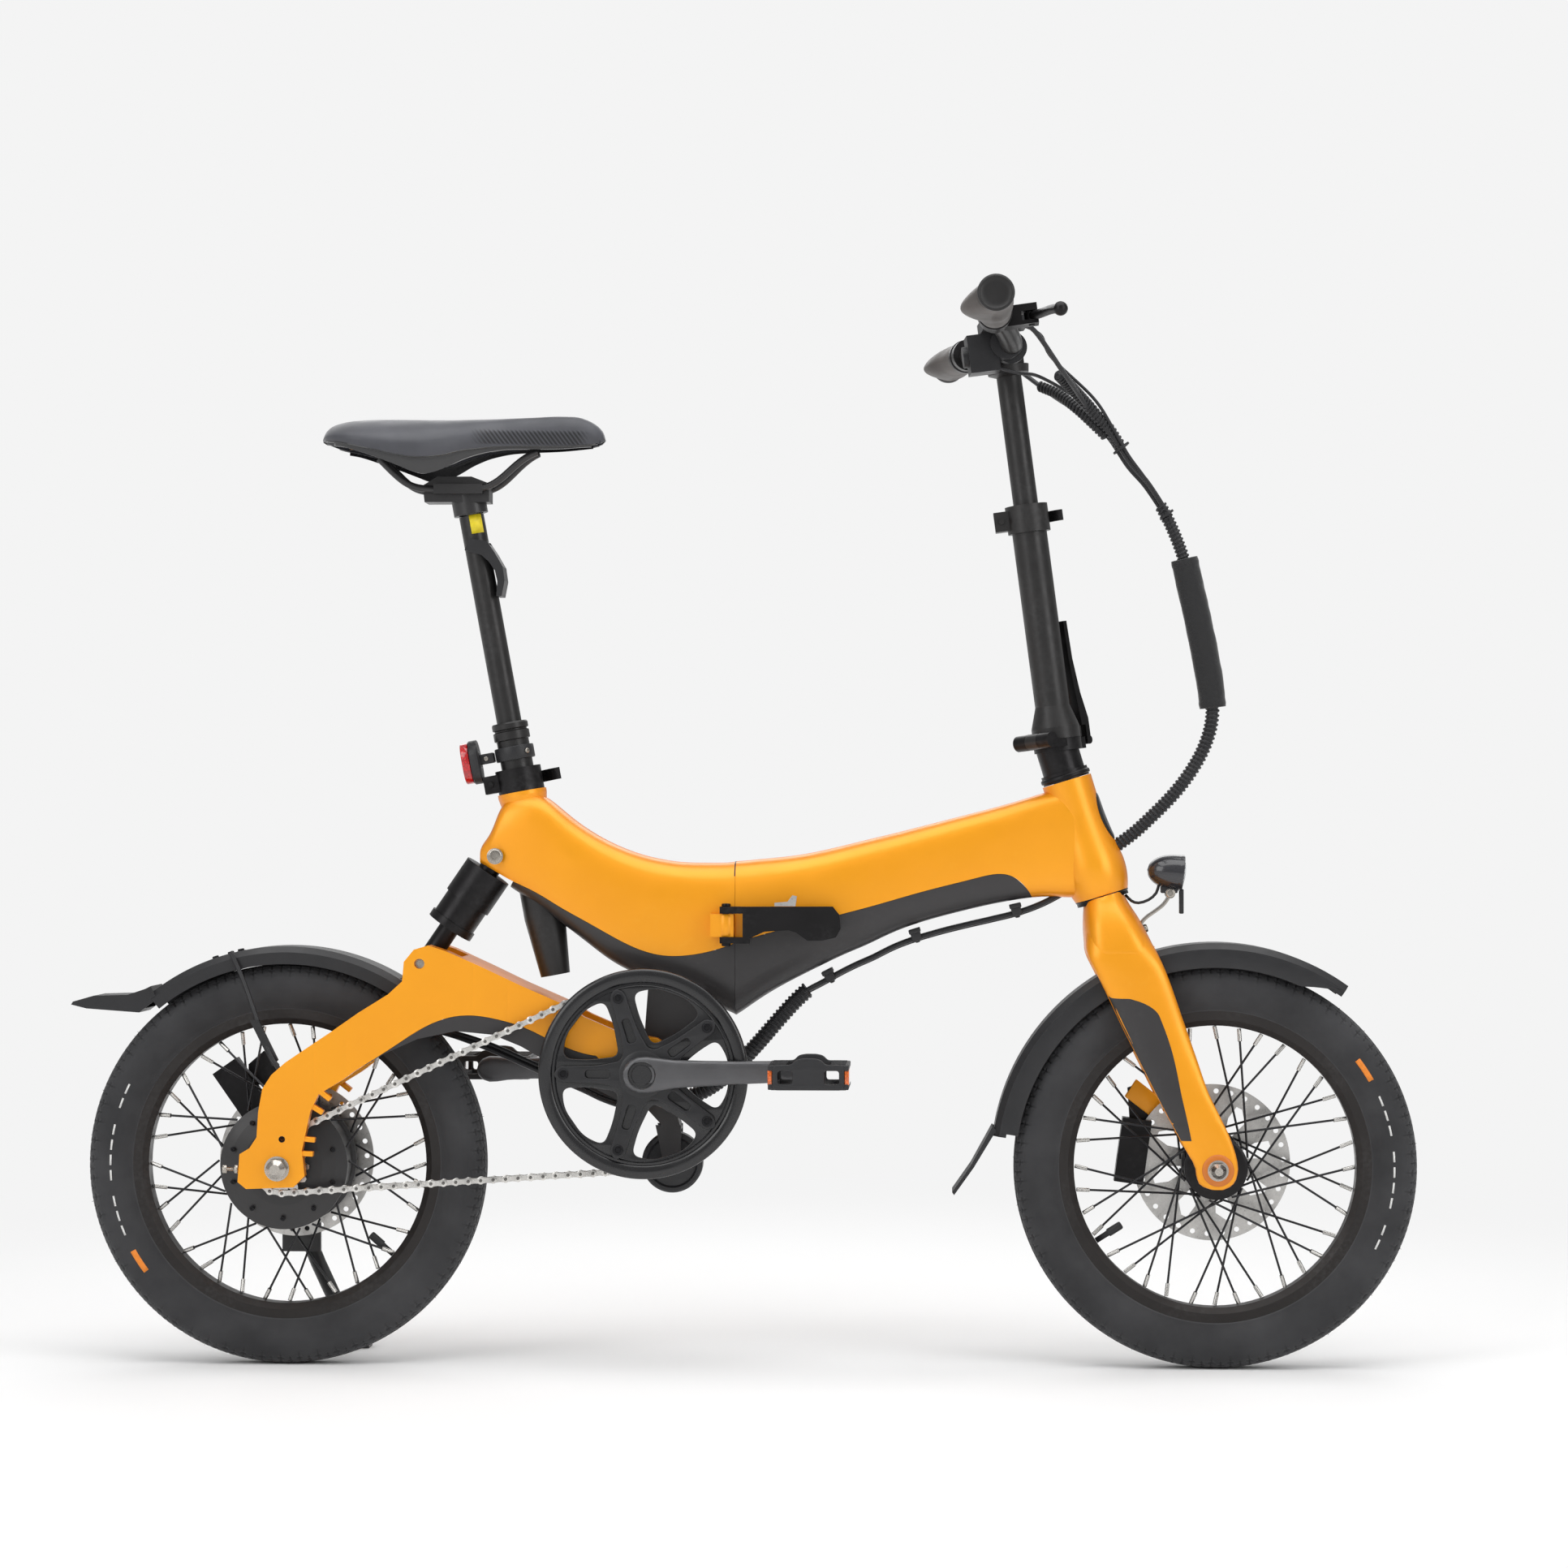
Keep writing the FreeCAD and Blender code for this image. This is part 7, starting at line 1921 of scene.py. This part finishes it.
def add_pedal(side, tag):
    body = f"{tag}_pedal"
    joint = JOINTS[f"{tag}_pedal_spin"]["pos_m"]
    centre = Vector((joint[0], SHIFT_Y / 1000, joint[2]))
    loops = [rounded(CHEEK, 2.5, 4)] + [rounded(window, 3, 4) for window in CHEEK_WINDOWS]
    cheeks = []
    for y in (PEDAL_INNER + 3.2, PEDAL_OUTER - 3.2):
        cheeks.append(add_plate(f"pedal_cheek_{side}_{int(y)}", loops, side * y, 6.2, 0.9, body,
                                "pedal_plastic", origin=centre, resolution=2))
    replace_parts(cheeks[0], body)

    middle = side * (PEDAL_INNER + PEDAL_OUTER) / 2
    bars, reflectors = [], []
    for end in (-1, 1):
        for z in (-8.2, 8.2):
            bars.append(pedal_box(centre, (end * 35.0, middle, z * 1.12), 4.4, 40.5, 2.8, 1.0))
        reflectors.append(pedal_box(centre, (end * 37.5, middle, 0), 2.2, 39.8, 7.8, 0.8))
    for k in range(7):
        y = side * (PEDAL_INNER + 10 + k * (PEDAL_OUTER - PEDAL_INNER - 20) / 6)
        for z in (-11.6, 11.6):
            for end in (-1, 1):
                bars.append(pedal_box(centre, (end * 29.0, y, z), 7.5, 1.1, 1.2, 0.3))
    for z in (-9.6, 9.6):
        bars.append(pedal_box(centre, (0, middle, z), 8.5, 38.5, 2.2, 0.8))
    add_piece(f"pedal_frame_{tag}", join(bars), body, "pedal_plastic")

    radii = (5.0, 9.8, 10.4, 8.8, 8.8, 10.4, 9.8, 5.0)
    stations = sorted(side * y for y in (99.2, 99.2, 101.0, 120, 160, 178.5, 180.5, 180.5))
    add_piece(f"pedal_barrel_{tag}", lathe(list(zip(radii, stations)), centre, LEFT, 40), body,
              "pedal_plastic")
    add_piece(f"pedal_reflectors_{tag}", join(reflectors), body, "pedal_plastic",
              MATS["amber_lens"])


for side, tag in SIDES:
    add_pedal(side, tag)

# ---------------------------------------------------------------- colours of the CAD parts
POST_AXIS = joint_axis("seatpost_outer_height")
POST_X, POST_Z = -230.0, 583
POST_PLACE = pos(POST_X, 0, POST_Z)


def post_radius(place):
    off = place - POST_PLACE
    return (off - POST_AXIS * off.dot(POST_AXIS)).length


# the seat tube carries on below the frame as a black sleeve
repaint_faces("rear_frame", MATS["black_tube"],
              lambda place: place.z < 0.520 and post_radius(place) < 0.0258)
repaint_faces("swingarm", MATS["black_paint"],
              lambda place: place.z < 0.158 and place.x < -0.42)
for node_name, axle in (("front_spokes", FRONT_AXLE), ("rear_spokes", REAR_AXLE)):
    repaint_faces(node_name, MATS["chain_steel"], lambda place: math.hypot(
        place.x - axle.x, place.z - axle.z) > 0.1288)
repaint_islands("tail_light", MATS["black_plastic"], lambda high: high.x > -0.26)

# ---------------------------------------------------------------- head tube and fork
# skin swelling above the crown: height up the steering axis, radius
HEAD_SKIN = [
    (0.4, 27.6), (3, 28.6), (10, 30.6), (20, 32.2), (31, 32.4), (44, 30.6), (60, 27.9),
    (78, 26.0), (96, 25.1), (110, 24.7), (117, 24.5), (120.4, 23.9)]
head_profile = [(curve_table(HEAD_SKIN, h), h) for h in np.linspace(0.4, 120.4, 48)]
head_profile += [(21.5, 120.4), (21.5, 0.4)]
add_piece("head_tube_skin", lathe(head_profile, HEAD_FOOT, HEAD_AXIS, 96), "front_frame",
          "frame_paint", sharp=50)

# edges of the fork against height: z, x of the rear edge
FORK_REAR = [
    (183.5, 470), (188, 458), (196, 453.6), (208, 451.4), (226, 441.0), (250, 428.2),
    (271, 417.0), (300, 402.4), (327, 389.0), (350, 377.6), (374, 366.4), (400, 353.8),
    (418, 345.2), (439, 342.2), (457, 342.0), (480, 343.5)]
# z, x of the front edge
FORK_FRONT = [
    (183.5, 479), (188, 488.4), (196, 493.4), (210, 494.6), (235, 487.4), (258, 476.6),
    (281, 465.6), (318, 453.0), (354, 440.6), (398, 425.2), (429, 411.4), (452.6, 399.3),
    (473, 386.3), (490, 378)]
# z, distance of the blade's outer face from the centre plane
FORK_OUTER = [
    (150, 58.2), (220, 58.4), (262, 57.6), (300, 55.0), (335, 52.6), (380, 51.6), (410, 50.6),
    (430, 48.2), (448, 43.8), (462, 37.5), (474, 31.0), (486, 28.2)]
# z, distance of the blade's inner face from the centre plane
FORK_INNER = [
    (150, 48.4), (230, 48.2), (268, 47.4), (300, 41.6), (335, 34.2), (372, 32.4), (400, 31.2),
    (412, 27.0), (420, 18.0), (428, 8.0), (438, 2.0), (456, 0.0)]
BLADE_HEIGHTS = [184.2, 185.2, 187, 190, 194, 199, 205, 212, 220, *np.arange(228, 452, 5.0)]
GUARD_CLEARANCE = 0.2305


def fork_edges(z):
    """Rear x, front x, outer y and inner y at a height."""
    return [curve_table(table, z) for table in (FORK_REAR, FORK_FRONT, FORK_OUTER, FORK_INNER)]


def blade_power(z):
    return 2.5 if z > 250 else 3.2


def below_head(p):
    """Keeps the crown under its seam with the head tube, square to the steering axis."""
    height = (p - (HEAD_FOOT - HEAD_AXIS * 0.0006)).dot(HEAD_AXIS)
    return p - HEAD_AXIS * height if height > 0 else p


def fork_ring(centre, half_x, half_y, power, count):
    """Superellipse lying flat, trimmed under the head tube."""
    ring = []
    for i in range(count):
        angle = 2 * math.pi * i / count
        ring.append(below_head(
            centre + X_AXIS * (signed_power(math.cos(angle), 2 / power) * half_x)
            + Y_AXIS * (signed_power(math.sin(angle), 2 / power) * half_y)))
    return ring


def fork_blade(side):
    rings = []
    for z in BLADE_HEIGHTS:
        rear, front, outer, inner = fork_edges(z)
        scale = 1 - 0.10 * clamp((z - 422) / 26) ** 1.3
        centre = pos((rear + front) / 2, side * (outer + inner) / 2, z)
        rings.append(fork_ring(centre, (front - rear) / 2000 * scale,
                               side * (outer - inner) / 2000 * scale, blade_power(z), 56))
    return loft(rings)


def fork_crown():
    rings = []
    for z in np.arange(408, 490, 4.0):
        rear, front, outer, _ = fork_edges(z)
        power = 3.6 - 1.1 * clamp((z - 428) / 44)
        half_x, half_y = (front - rear) / 2000, outer / 1000
        if z < 420:
            rise = (z - 408) / 12
            half_x *= 0.55 + 0.45 * math.sqrt(max(0.0, rise * (2 - rise)))
            half_y *= 0.90 + 0.10 * rise
        rings.append(fork_ring(pos((rear + front) / 2, 0, z), half_x, half_y, power, 96))
    verts, faces = loft(rings)
    # lift the underside clear of the mudguard's curve
    for p in verts:
        radius = math.hypot(p.x - FRONT_AXLE.x, p.z - FRONT_AXLE.z)
        if radius < GUARD_CLEARANCE and abs(p.y) < 0.040:
            scale = GUARD_CLEARANCE / max(radius, 1e-6)
            p.x = FRONT_AXLE.x + (p.x - FRONT_AXLE.x) * scale
            p.z = FRONT_AXLE.z + (p.z - FRONT_AXLE.z) * scale
    return verts, faces


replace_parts(add_piece("fork_blade_right", fork_blade(-1), "fork", "frame_paint", sharp=None),
            "fork")
add_piece("fork_blade_left", fork_blade(1), "fork", "frame_paint", sharp=None)
add_piece("fork_crown_skin", fork_crown(), "fork", "frame_paint", sharp=45)
add_piece("fork_crown_race", lathe([(15.0, -5.0), (26.8, -5.0), (26.8, -0.6), (15.0, 1.0)],
                                   HEAD_FOOT, HEAD_AXIS, 64), "fork", "black_anodised")
add_piece("fork_steerer", lathe([(9.5, -4.0), (13.8, -4.0), (13.8, 130), (9.5, 130)],
                                HEAD_FOOT, HEAD_AXIS, 48), "fork", "axle_steel")


def fork_inlay(side):
    """Thin curved panel on the blade's outer face along its rear edge."""
    columns = 12
    low, high = 233, 377
    face = []
    for z in np.linspace(low, high, 60):
        rear, front, outer, inner = fork_edges(z)
        t = (z - low) / (high - low)
        share = 0.20 + 0.44 * math.sin(min(1.0, t * 1.25) * math.pi / 2)
        round_end = math.sqrt(max(0.0, 1 - max(0.0, (t - 0.86) / 0.14) ** 2))
        width = max((front - rear) * share * round_end, 0.4)
        half_x, half_y = (front - rear) / 2, (outer - inner) / 2
        power = blade_power(z)
        for k in range(columns):
            x = rear + 0.8 + width * k / (columns - 1)
            off = max(-0.9995, min(0.9995, (x - (rear + front) / 2) / half_x))
            rise = half_y * (1 - abs(off) ** power) ** (1 / power)
            face.append(pos(x, side * ((outer + inner) / 2 + rise + 0.35), z))
    back = [Vector((p.x, p.y - side * 0.0012, p.z)) for p in face]
    return sheet(face, back, columns)


for side, tag in SIDES:
    add_piece(f"fork_inlay_{tag}", fork_inlay(side), "fork", "graphite_paint", sharp=50)
    # the dropout rings take the darker orange, which is painted shade
    add_piece(f"fork_dropout_ring_{tag}", lathe(
        [(6.2, 56.0), (15.5, 56.0), (16.0, 58.8), (15.2, 59.6), (12.0, 60.0), (6.2, 60.0)],
        FRONT_AXLE, (0, side, 0), 56), "fork", "frame_paint", PAINTED_SHADE_ORANGE)
add_piece("fork_caliper_tab", box(pos(406, 51.5, 268), (14, 0, -11), (0, 2.4, 0), (6, 0, 9), 1.2),
          "fork", "frame_paint")

# ---------------------------------------------------------------- headlight
LAMP_AXIS = Vector((0.995, 0, -0.10)).normalized()
LAMP_BACK = pos(407, 0, 503.5)
lamp_shell = [(0, 0.0)]
for k in range(1, 26):
    t = k / 25
    lamp_shell.append((18.2 * (1 - (1 - t) ** 2.4) ** 0.5, 33.0 * t))
lamp_shell += [(18.6, 34.2), (18.4, 36.4), (17.2, 37.0), (16.2, 36.2), (16.0, 33.0), (10, 22),
               (0, 19.0)]
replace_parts(add_piece(
    "headlight_housing", solid_lathe(lamp_shell, LAMP_BACK, LAMP_AXIS, 72), "fork",
    "black_plastic", moulded("lamp_gloss_black", srgb(44, 44, 48), rough=0.22, amount=0.05,
                             coat=0.6), sharp=50), "headlight")
add_piece("headlight_reflector", solid_lathe(
    [(0, 19.8), (5, 20.0), (10, 23.2), (15.5, 33.5), (14.9, 33.5), (9.6, 22.6), (0, 19.2)],
    LAMP_BACK, LAMP_AXIS, 64), "fork", "disc_steel",
    metal("reflector_bright", srgb(236, 236, 238), rough=0.08, amount=0.02), sharp=50)
add_piece("headlight_lens", solid_lathe(
    [(0, 39.2), (6, 38.9), (12, 37.8), (15.8, 36.0), (15.8, 34.6), (12.0, 35.6), (0, 36.8)],
    LAMP_BACK, LAMP_AXIS, 64), "fork", "black_plastic", MATS["clear_lens"], sharp=50)
add_piece("headlight_foot", join([
    box(pos(429, 0, 483.5), X_AXIS * 8.5, Y_AXIS * 7.5, Z_AXIS * 3.6, 1.2),
    box(pos(441.5, 0, 471.5), X_AXIS * 2.2, Y_AXIS * 6.0, Z_AXIS * 12.5, 1.0)]),
    "fork", "black_plastic")


def headlight_bracket():
    """Flat bent strap, wide across the bicycle."""
    # middle line: x, z
    line = [(430, 481.5), (428, 475), (423, 468), (415.5, 462), (407, 456), (401.5, 450),
            (400, 443), (401.5, 436)]
    half_width, half_thickness = 6.5, 1.7
    # corners over the half width and half thickness
    corners = ((-1, -0.6), (-0.96, -1), (0.96, -1), (1, -0.6), (1, 0.6), (0.96, 1), (-0.96, 1),
               (-1, 0.6))
    path = spline(points([(x, 0, z) for x, z in line]), 0.001)
    rings = []
    for i, p in enumerate(path):
        along = (path[min(len(path) - 1, i + 1)] - path[max(0, i - 1)]).normalized()
        normal = Vector((-along.z, 0, along.x))
        rings.append([p + Vector((0, half_width * y / 1000, 0))
                      + normal * (half_thickness * out / 1000) for y, out in corners])
    return loft(rings)


add_piece("headlight_bracket", headlight_bracket(), "fork", "axle_steel", BOLT_STEEL)
add_bolts("headlight_bolts", [
    (pos(403.2, 0, 443.5), Vector((0.95, 0, 0.3)), 4.2, 3.4),
    (pos(430, -8.0, 479.5), RIGHT, 4.4, 2.2), (pos(430, 8.0, 479.5), LEFT, 4.4, 2.2)],
    "fork", washer=5.0)
add_cable("headlight_lead", points([
    (419, -2, 490), (416, -3, 480), (408, -4, 473), (398, -4, 470), (391, -3, 472),
    (385, 0, 478)]), 1.5, "fork")

# ---------------------------------------------------------------- tail light
LIGHT_Z = 614.5
LIGHT_PLACE = pos(POST_X - (LIGHT_Z - POST_Z) * 0.18444, 0, LIGHT_Z)
POST_FORWARD = Vector((POST_AXIS.z, 0, -POST_AXIS.x))
LIGHT_MIDDLE = 6.0


def light_point(x, y, z):
    """Point in the tail light's own frame, with z up the outer seatpost."""
    return LIGHT_PLACE + POST_FORWARD * (x / 1000) + Vector((0, y / 1000, 0)) \
        + POST_AXIS * (z / 1000)


def upright_pill(front, rear, radius, half):
    """Block with a stadium face, from front back to rear, half from its middle to each
    end's centre."""
    section = []
    for start, centre in ((0, half), (math.pi, -half)):
        for k in range(15):
            angle = start + math.pi * k / 14
            section.append((radius * math.cos(angle), centre + radius * math.sin(angle)))
    # x, scale of the section
    stations = [(front, 0.93), (front - 0.7, 1.0), (rear + 0.9, 1.0), (rear + 0.2, 0.97),
                (rear, 0.90)]
    return loft([[light_point(x, y * scale, LIGHT_MIDDLE + z * scale) for y, z in section]
                 for x, scale in stations])


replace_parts(add_piece("tail_light_housing", upright_pill(-36.2, -45.5, 16.0, 6.5),
                      "seatpost_outer", "black_plastic"), "tail_light")
add_piece("tail_light_lens", upright_pill(-45.6, -54.0, 14.6, 6.4), "seatpost_outer", "red_lens")
add_piece("tail_light_arm", join([
    box(light_point(-29.5, 0, 7.5), POST_FORWARD * 8.5, Y_AXIS * 6.2, POST_AXIS * 5.2, 1.4),
    box(light_point(-37.2, 0, 7.5), POST_FORWARD * 1.6, Y_AXIS * 9.0, POST_AXIS * 8.5, 1.2)]),
    "seatpost_outer", "black_plastic")
add_piece("tail_light_clamp", lathe(
    [(16.6, 1.0), (19.6, 1.2), (20.1, 2.4), (20.1, 13.6), (19.6, 14.8), (16.6, 15.0)],
    light_point(0, 0, 0), POST_AXIS, 64), "seatpost_outer", "black_plastic")
add_bolts("tail_light_screws", [
    (light_point(-29.5, -6.2, 7.5), RIGHT, 2.4, 1.4),
    (light_point(14, -14.6, 8), Vector((0.7, -0.72, 0)), 2.6, 1.6)], "seatpost_outer")


# ---------------------------------------------------------------- fold line and latch
def fold_gasket():
    """Thin band round the frame at the fold, where rays find an even surface."""
    trees = []
    for name in ("rear_frame", "rear_frame_cover"):
        node = NODES[name]
        trees.append(BVHTree.FromPolygons([node.matrix_world @ v.co for v in node.data.vertices],
                                          [tuple(p.vertices) for p in node.data.polygons]))
    count, height = 240, 452
    centre = pos(-10.9, 0, height)
    outs, radii = [], []
    for k in range(count):
        angle = 2 * math.pi * k / count
        out = Vector((0, math.cos(angle), math.sin(angle)))
        best = 0.0
        for tree in trees:
            hit = tree.ray_cast(centre + out * 0.12, -out, 0.12)[0]
            if hit is not None:
                best = max(best, (hit - centre).length)
        outs.append(out)
        radii.append(best)
    keep, verts, faces = [], [], []
    for k, radius in enumerate(radii):
        jump = max(abs(radius - radii[k - 1]), abs(radius - radii[(k + 1) % count]))
        sideways = abs(radius * math.cos(2 * math.pi * k / count))
        keep.append(radius > 0.010 and sideways < 0.0335 and jump < 0.004)
        for x, lift in ((-11.2, -0.0004), (-11.2, 0.00016), (-10.04, 0.00016),
                        (-10.04, -0.0004)):
            verts.append(pos(x, 0, height) + outs[k] * (radius + lift))
    for k in range(count):
        l = (k + 1) % count
        if keep[k] and keep[l]:
            for j in range(4):
                i = (j + 1) % 4
                faces.append((k * 4 + j, k * 4 + i, l * 4 + i, l * 4 + j))
    used = sorted({i for face in faces for i in face})
    index = {old: new for new, old in enumerate(used)}
    return [verts[i] for i in used], [tuple(index[i] for i in face) for face in faces]


add_piece("fold_gasket", fold_gasket(), "rear_frame", "cable_jacket")

LATCH = joint_place("frame_latch_swing")
for tag, z, way in (("top", 0.4671, 1), ("bottom", 0.4298, -1)):
    pin = solid_lathe([(0, 0), (4.6, 0), (4.8, 1.0), (4.2, 2.8), (0, 3.2)],
                      (LATCH.x, LATCH.y, z), (0, 0, way), 28)
    add_piece(f"latch_pin_{tag}", pin, "frame_latch", "axle_steel", BLACK_BOLT)
add_piece("latch_knuckle", lathe(
    [(3.1, 436.8), (8.6, 436.8), (9.2, 437.6), (9.2, 458.4), (8.6, 459.2), (3.1, 459.2)],
    (LATCH.x, LATCH.y, 0), Z_AXIS, 48), "rear_frame", "frame_paint")


def head_plate():
    """Blank plate bent round the front of the head tube."""
    columns, rows = 22, 26
    low, high = 52.0, 102.0
    forward = Y_AXIS.cross(HEAD_AXIS)
    layers = []
    for outer in (True, False):
        layer = []
        for i in range(rows):
            t = i / (rows - 1)
            height = low + (high - low) * t
            half = 34 * min(1.0, (math.sin(math.pi * (0.06 + 0.88 * t)) ** 0.42))
            for k in range(columns):
                angle = math.radians(-half + 2 * half * k / (columns - 1))
                edge = min(1.0, min(k, columns - 1 - k) / 1.5, min(i, rows - 1 - i) / 1.5)
                lift = 1.7 * (0.35 + 0.65 * edge) if outer else 0.35
                radius = curve_table(HEAD_SKIN, height) + 0.15 + lift - 0.3
                out = forward * math.cos(angle) + Y_AXIS * math.sin(angle)
                layer.append(HEAD_FOOT + HEAD_AXIS * height / 1000 + out * radius / 1000)
        layers.append(layer)
    return sheet(*layers, columns)


add_piece("head_plate_blank", head_plate(), "front_frame", "black_anodised", GLOSS, sharp=50)


def guard_walls():
    """Rolled side walls of the front mudguard, shallow at the front end."""
    top, bottom = 220.0, 201.5
    start, end, steps = 55.0, 171.0, 96
    walls = []
    for side in (-1, 1):
        rings = []
        for i in range(steps + 1):
            t = i / steps
            angle = math.radians(start + (end - start) * t)
            low = top - (top - bottom) * min(1.0, 0.12 + t / 0.10)
            section = ((28.4, top), (29.9, top), (30.35, top - 2), (30.35, low + 1.6),
                       (30.0, low + 0.4), (29.4, low), (28.8, low + 0.5), (28.4, low + 1.6))
            rings.append([wheel_point(FRONT_AXLE, r, side * y, angle) for y, r in section])
        walls.append(loft(rings))
    return join(walls)


add_piece("front_mudguard_walls", guard_walls(), "fork", "black_plastic", sharp=50)

# ---------------------------------------------------------------- studio
BACKGROUND = srgb(244, 244, 244)


def floor_material():
    """Matt white that fades into the background away from the bicycle."""
    mat = Surface("studio_floor")
    where = mat.coords()
    mat.finish(base_color=(0.93, 0.93, 0.93), specular_ior_level=0.1,
               roughness=mat.mottle(where, scale=4.0, detail=3.0, outs=(0.85, 0.95)))
    glow = mat.node("Emission", color=BACKGROUND)
    distance = mat.node("VectorMath", mat.node("TexCoord").outputs["Object"])
    distance.operation = "LENGTH"
    fade = mat.node("MapRange", value=distance.outputs["Value"], from_min=0.75, from_max=2.1)
    fade.interpolation_type = "SMOOTHSTEP"
    mix = mat.node("MixShader", fade.outputs[0], mat.shader.outputs[0], glow.outputs[0])
    mat.feed(mat.output.inputs[0], mix.outputs[0])
    return mat.material


def add_floor():
    """Round floor just under the tyres."""
    radii = [0.5, 1.0, 2.0, 5.0, 20.0, 80.0]
    segments, height = 64, -0.0005
    verts = [(0, 0, height)]
    for radius in radii:
        for k in range(segments):
            x, y = polar(radius, 360 * k / segments)
            verts.append((x, y, height))
    faces = [(0, 1 + k, 1 + (k + 1) % segments) for k in range(segments)]
    for face in ring_faces(len(radii), segments, closed=False):
        a, b, c, d = (1 + i for i in face)
        faces.append((a, d, c, b))
    material = floor_material()
    data = bpy.data.meshes.new("studio_floor")
    data.from_pydata(verts, [], faces)
    floor = bpy.data.objects.new("studio_floor", data)
    data.materials.append(material)
    bpy.context.scene.collection.objects.link(floor)


def add_world():
    """Soft light brightening upwards; the camera sees only the plain background."""
    world = bpy.data.worlds.new("studio")
    bpy.context.scene.world = world
    world.use_nodes = True
    sky = Nodes(world.node_tree)
    output = sky.node("OutputWorld")
    place = sky.node("SeparateXYZ", sky.node("TexCoord").outputs["Generated"])
    ramp = sky.node("ValToRGB", sky.remap(place.outputs["Z"], ins=(-0.2, 1.0)))
    low, high = ramp.color_ramp.elements
    low.position, low.color = 0.0, (0.62, 0.62, 0.62, 1)
    high.position, high.color = 0.75, (1, 1, 1, 1)
    light = sky.node("Background", color=ramp.outputs[0], strength=0.46)
    seen = sky.node("Background", color=BACKGROUND, strength=1.0)
    mix = sky.node("MixShader", sky.node("LightPath").outputs["Is Camera Ray"],
                   light.outputs[0], seen.outputs[0])
    sky.feed(output.inputs[0], mix.outputs[0])


def aim(thing, place, direction):
    thing.location = place
    thing.rotation_mode = "QUATERNION"
    thing.rotation_quaternion = direction.to_track_quat("-Z", "Y")


def add_softbox(name, place, target, width, height, power):
    light = bpy.data.lights.new(name, "AREA")
    light.shape = "RECTANGLE"
    light.size, light.size_y = width, height
    light.energy = power
    lamp = bpy.data.objects.new(name, light)
    bpy.context.scene.collection.objects.link(lamp)
    aim(lamp, place, Vector(target) - Vector(place))


def add_camera():
    """Long lens on the bicycle's right, turned a little to the rear and up (radians)."""
    yaw, pitch = 0.0411058645, 0.0084603871
    lens_data = bpy.data.cameras.new("photo_camera")
    lens_data.lens = 92.42236
    lens_data.sensor_width = 36.0
    lens_data.clip_start, lens_data.clip_end = 0.05, 200
    camera = bpy.data.objects.new("photo_camera", lens_data)
    bpy.context.scene.collection.objects.link(camera)
    aim(camera, pos(206.6, -4099, 556), Vector((-math.sin(yaw) * math.cos(pitch),
                                                math.cos(yaw) * math.cos(pitch),
                                                math.sin(pitch))))
    bpy.context.scene.camera = camera


add_floor()
add_world()
add_softbox("softbox_top", (0.1, -0.5, 3.0), (0, 0, 0.4), width=3.4, height=2.6, power=62)
add_softbox("softbox_front_left", (-2.4, -2.6, 1.9), (0, 0, 0.5), width=1.8, height=2.2,
            power=30)
add_softbox("softbox_front_right", (2.6, -2.2, 1.7), (0, 0, 0.5), width=1.6, height=2.2,
            power=26)
add_softbox("softbox_back", (0.0, 2.8, 2.2), (0, 0, 0.5), width=3.2, height=1.4, power=26)
add_camera()
bpy.context.scene.view_settings.view_transform = "Standard"
bpy.context.scene.view_settings.look = "None"
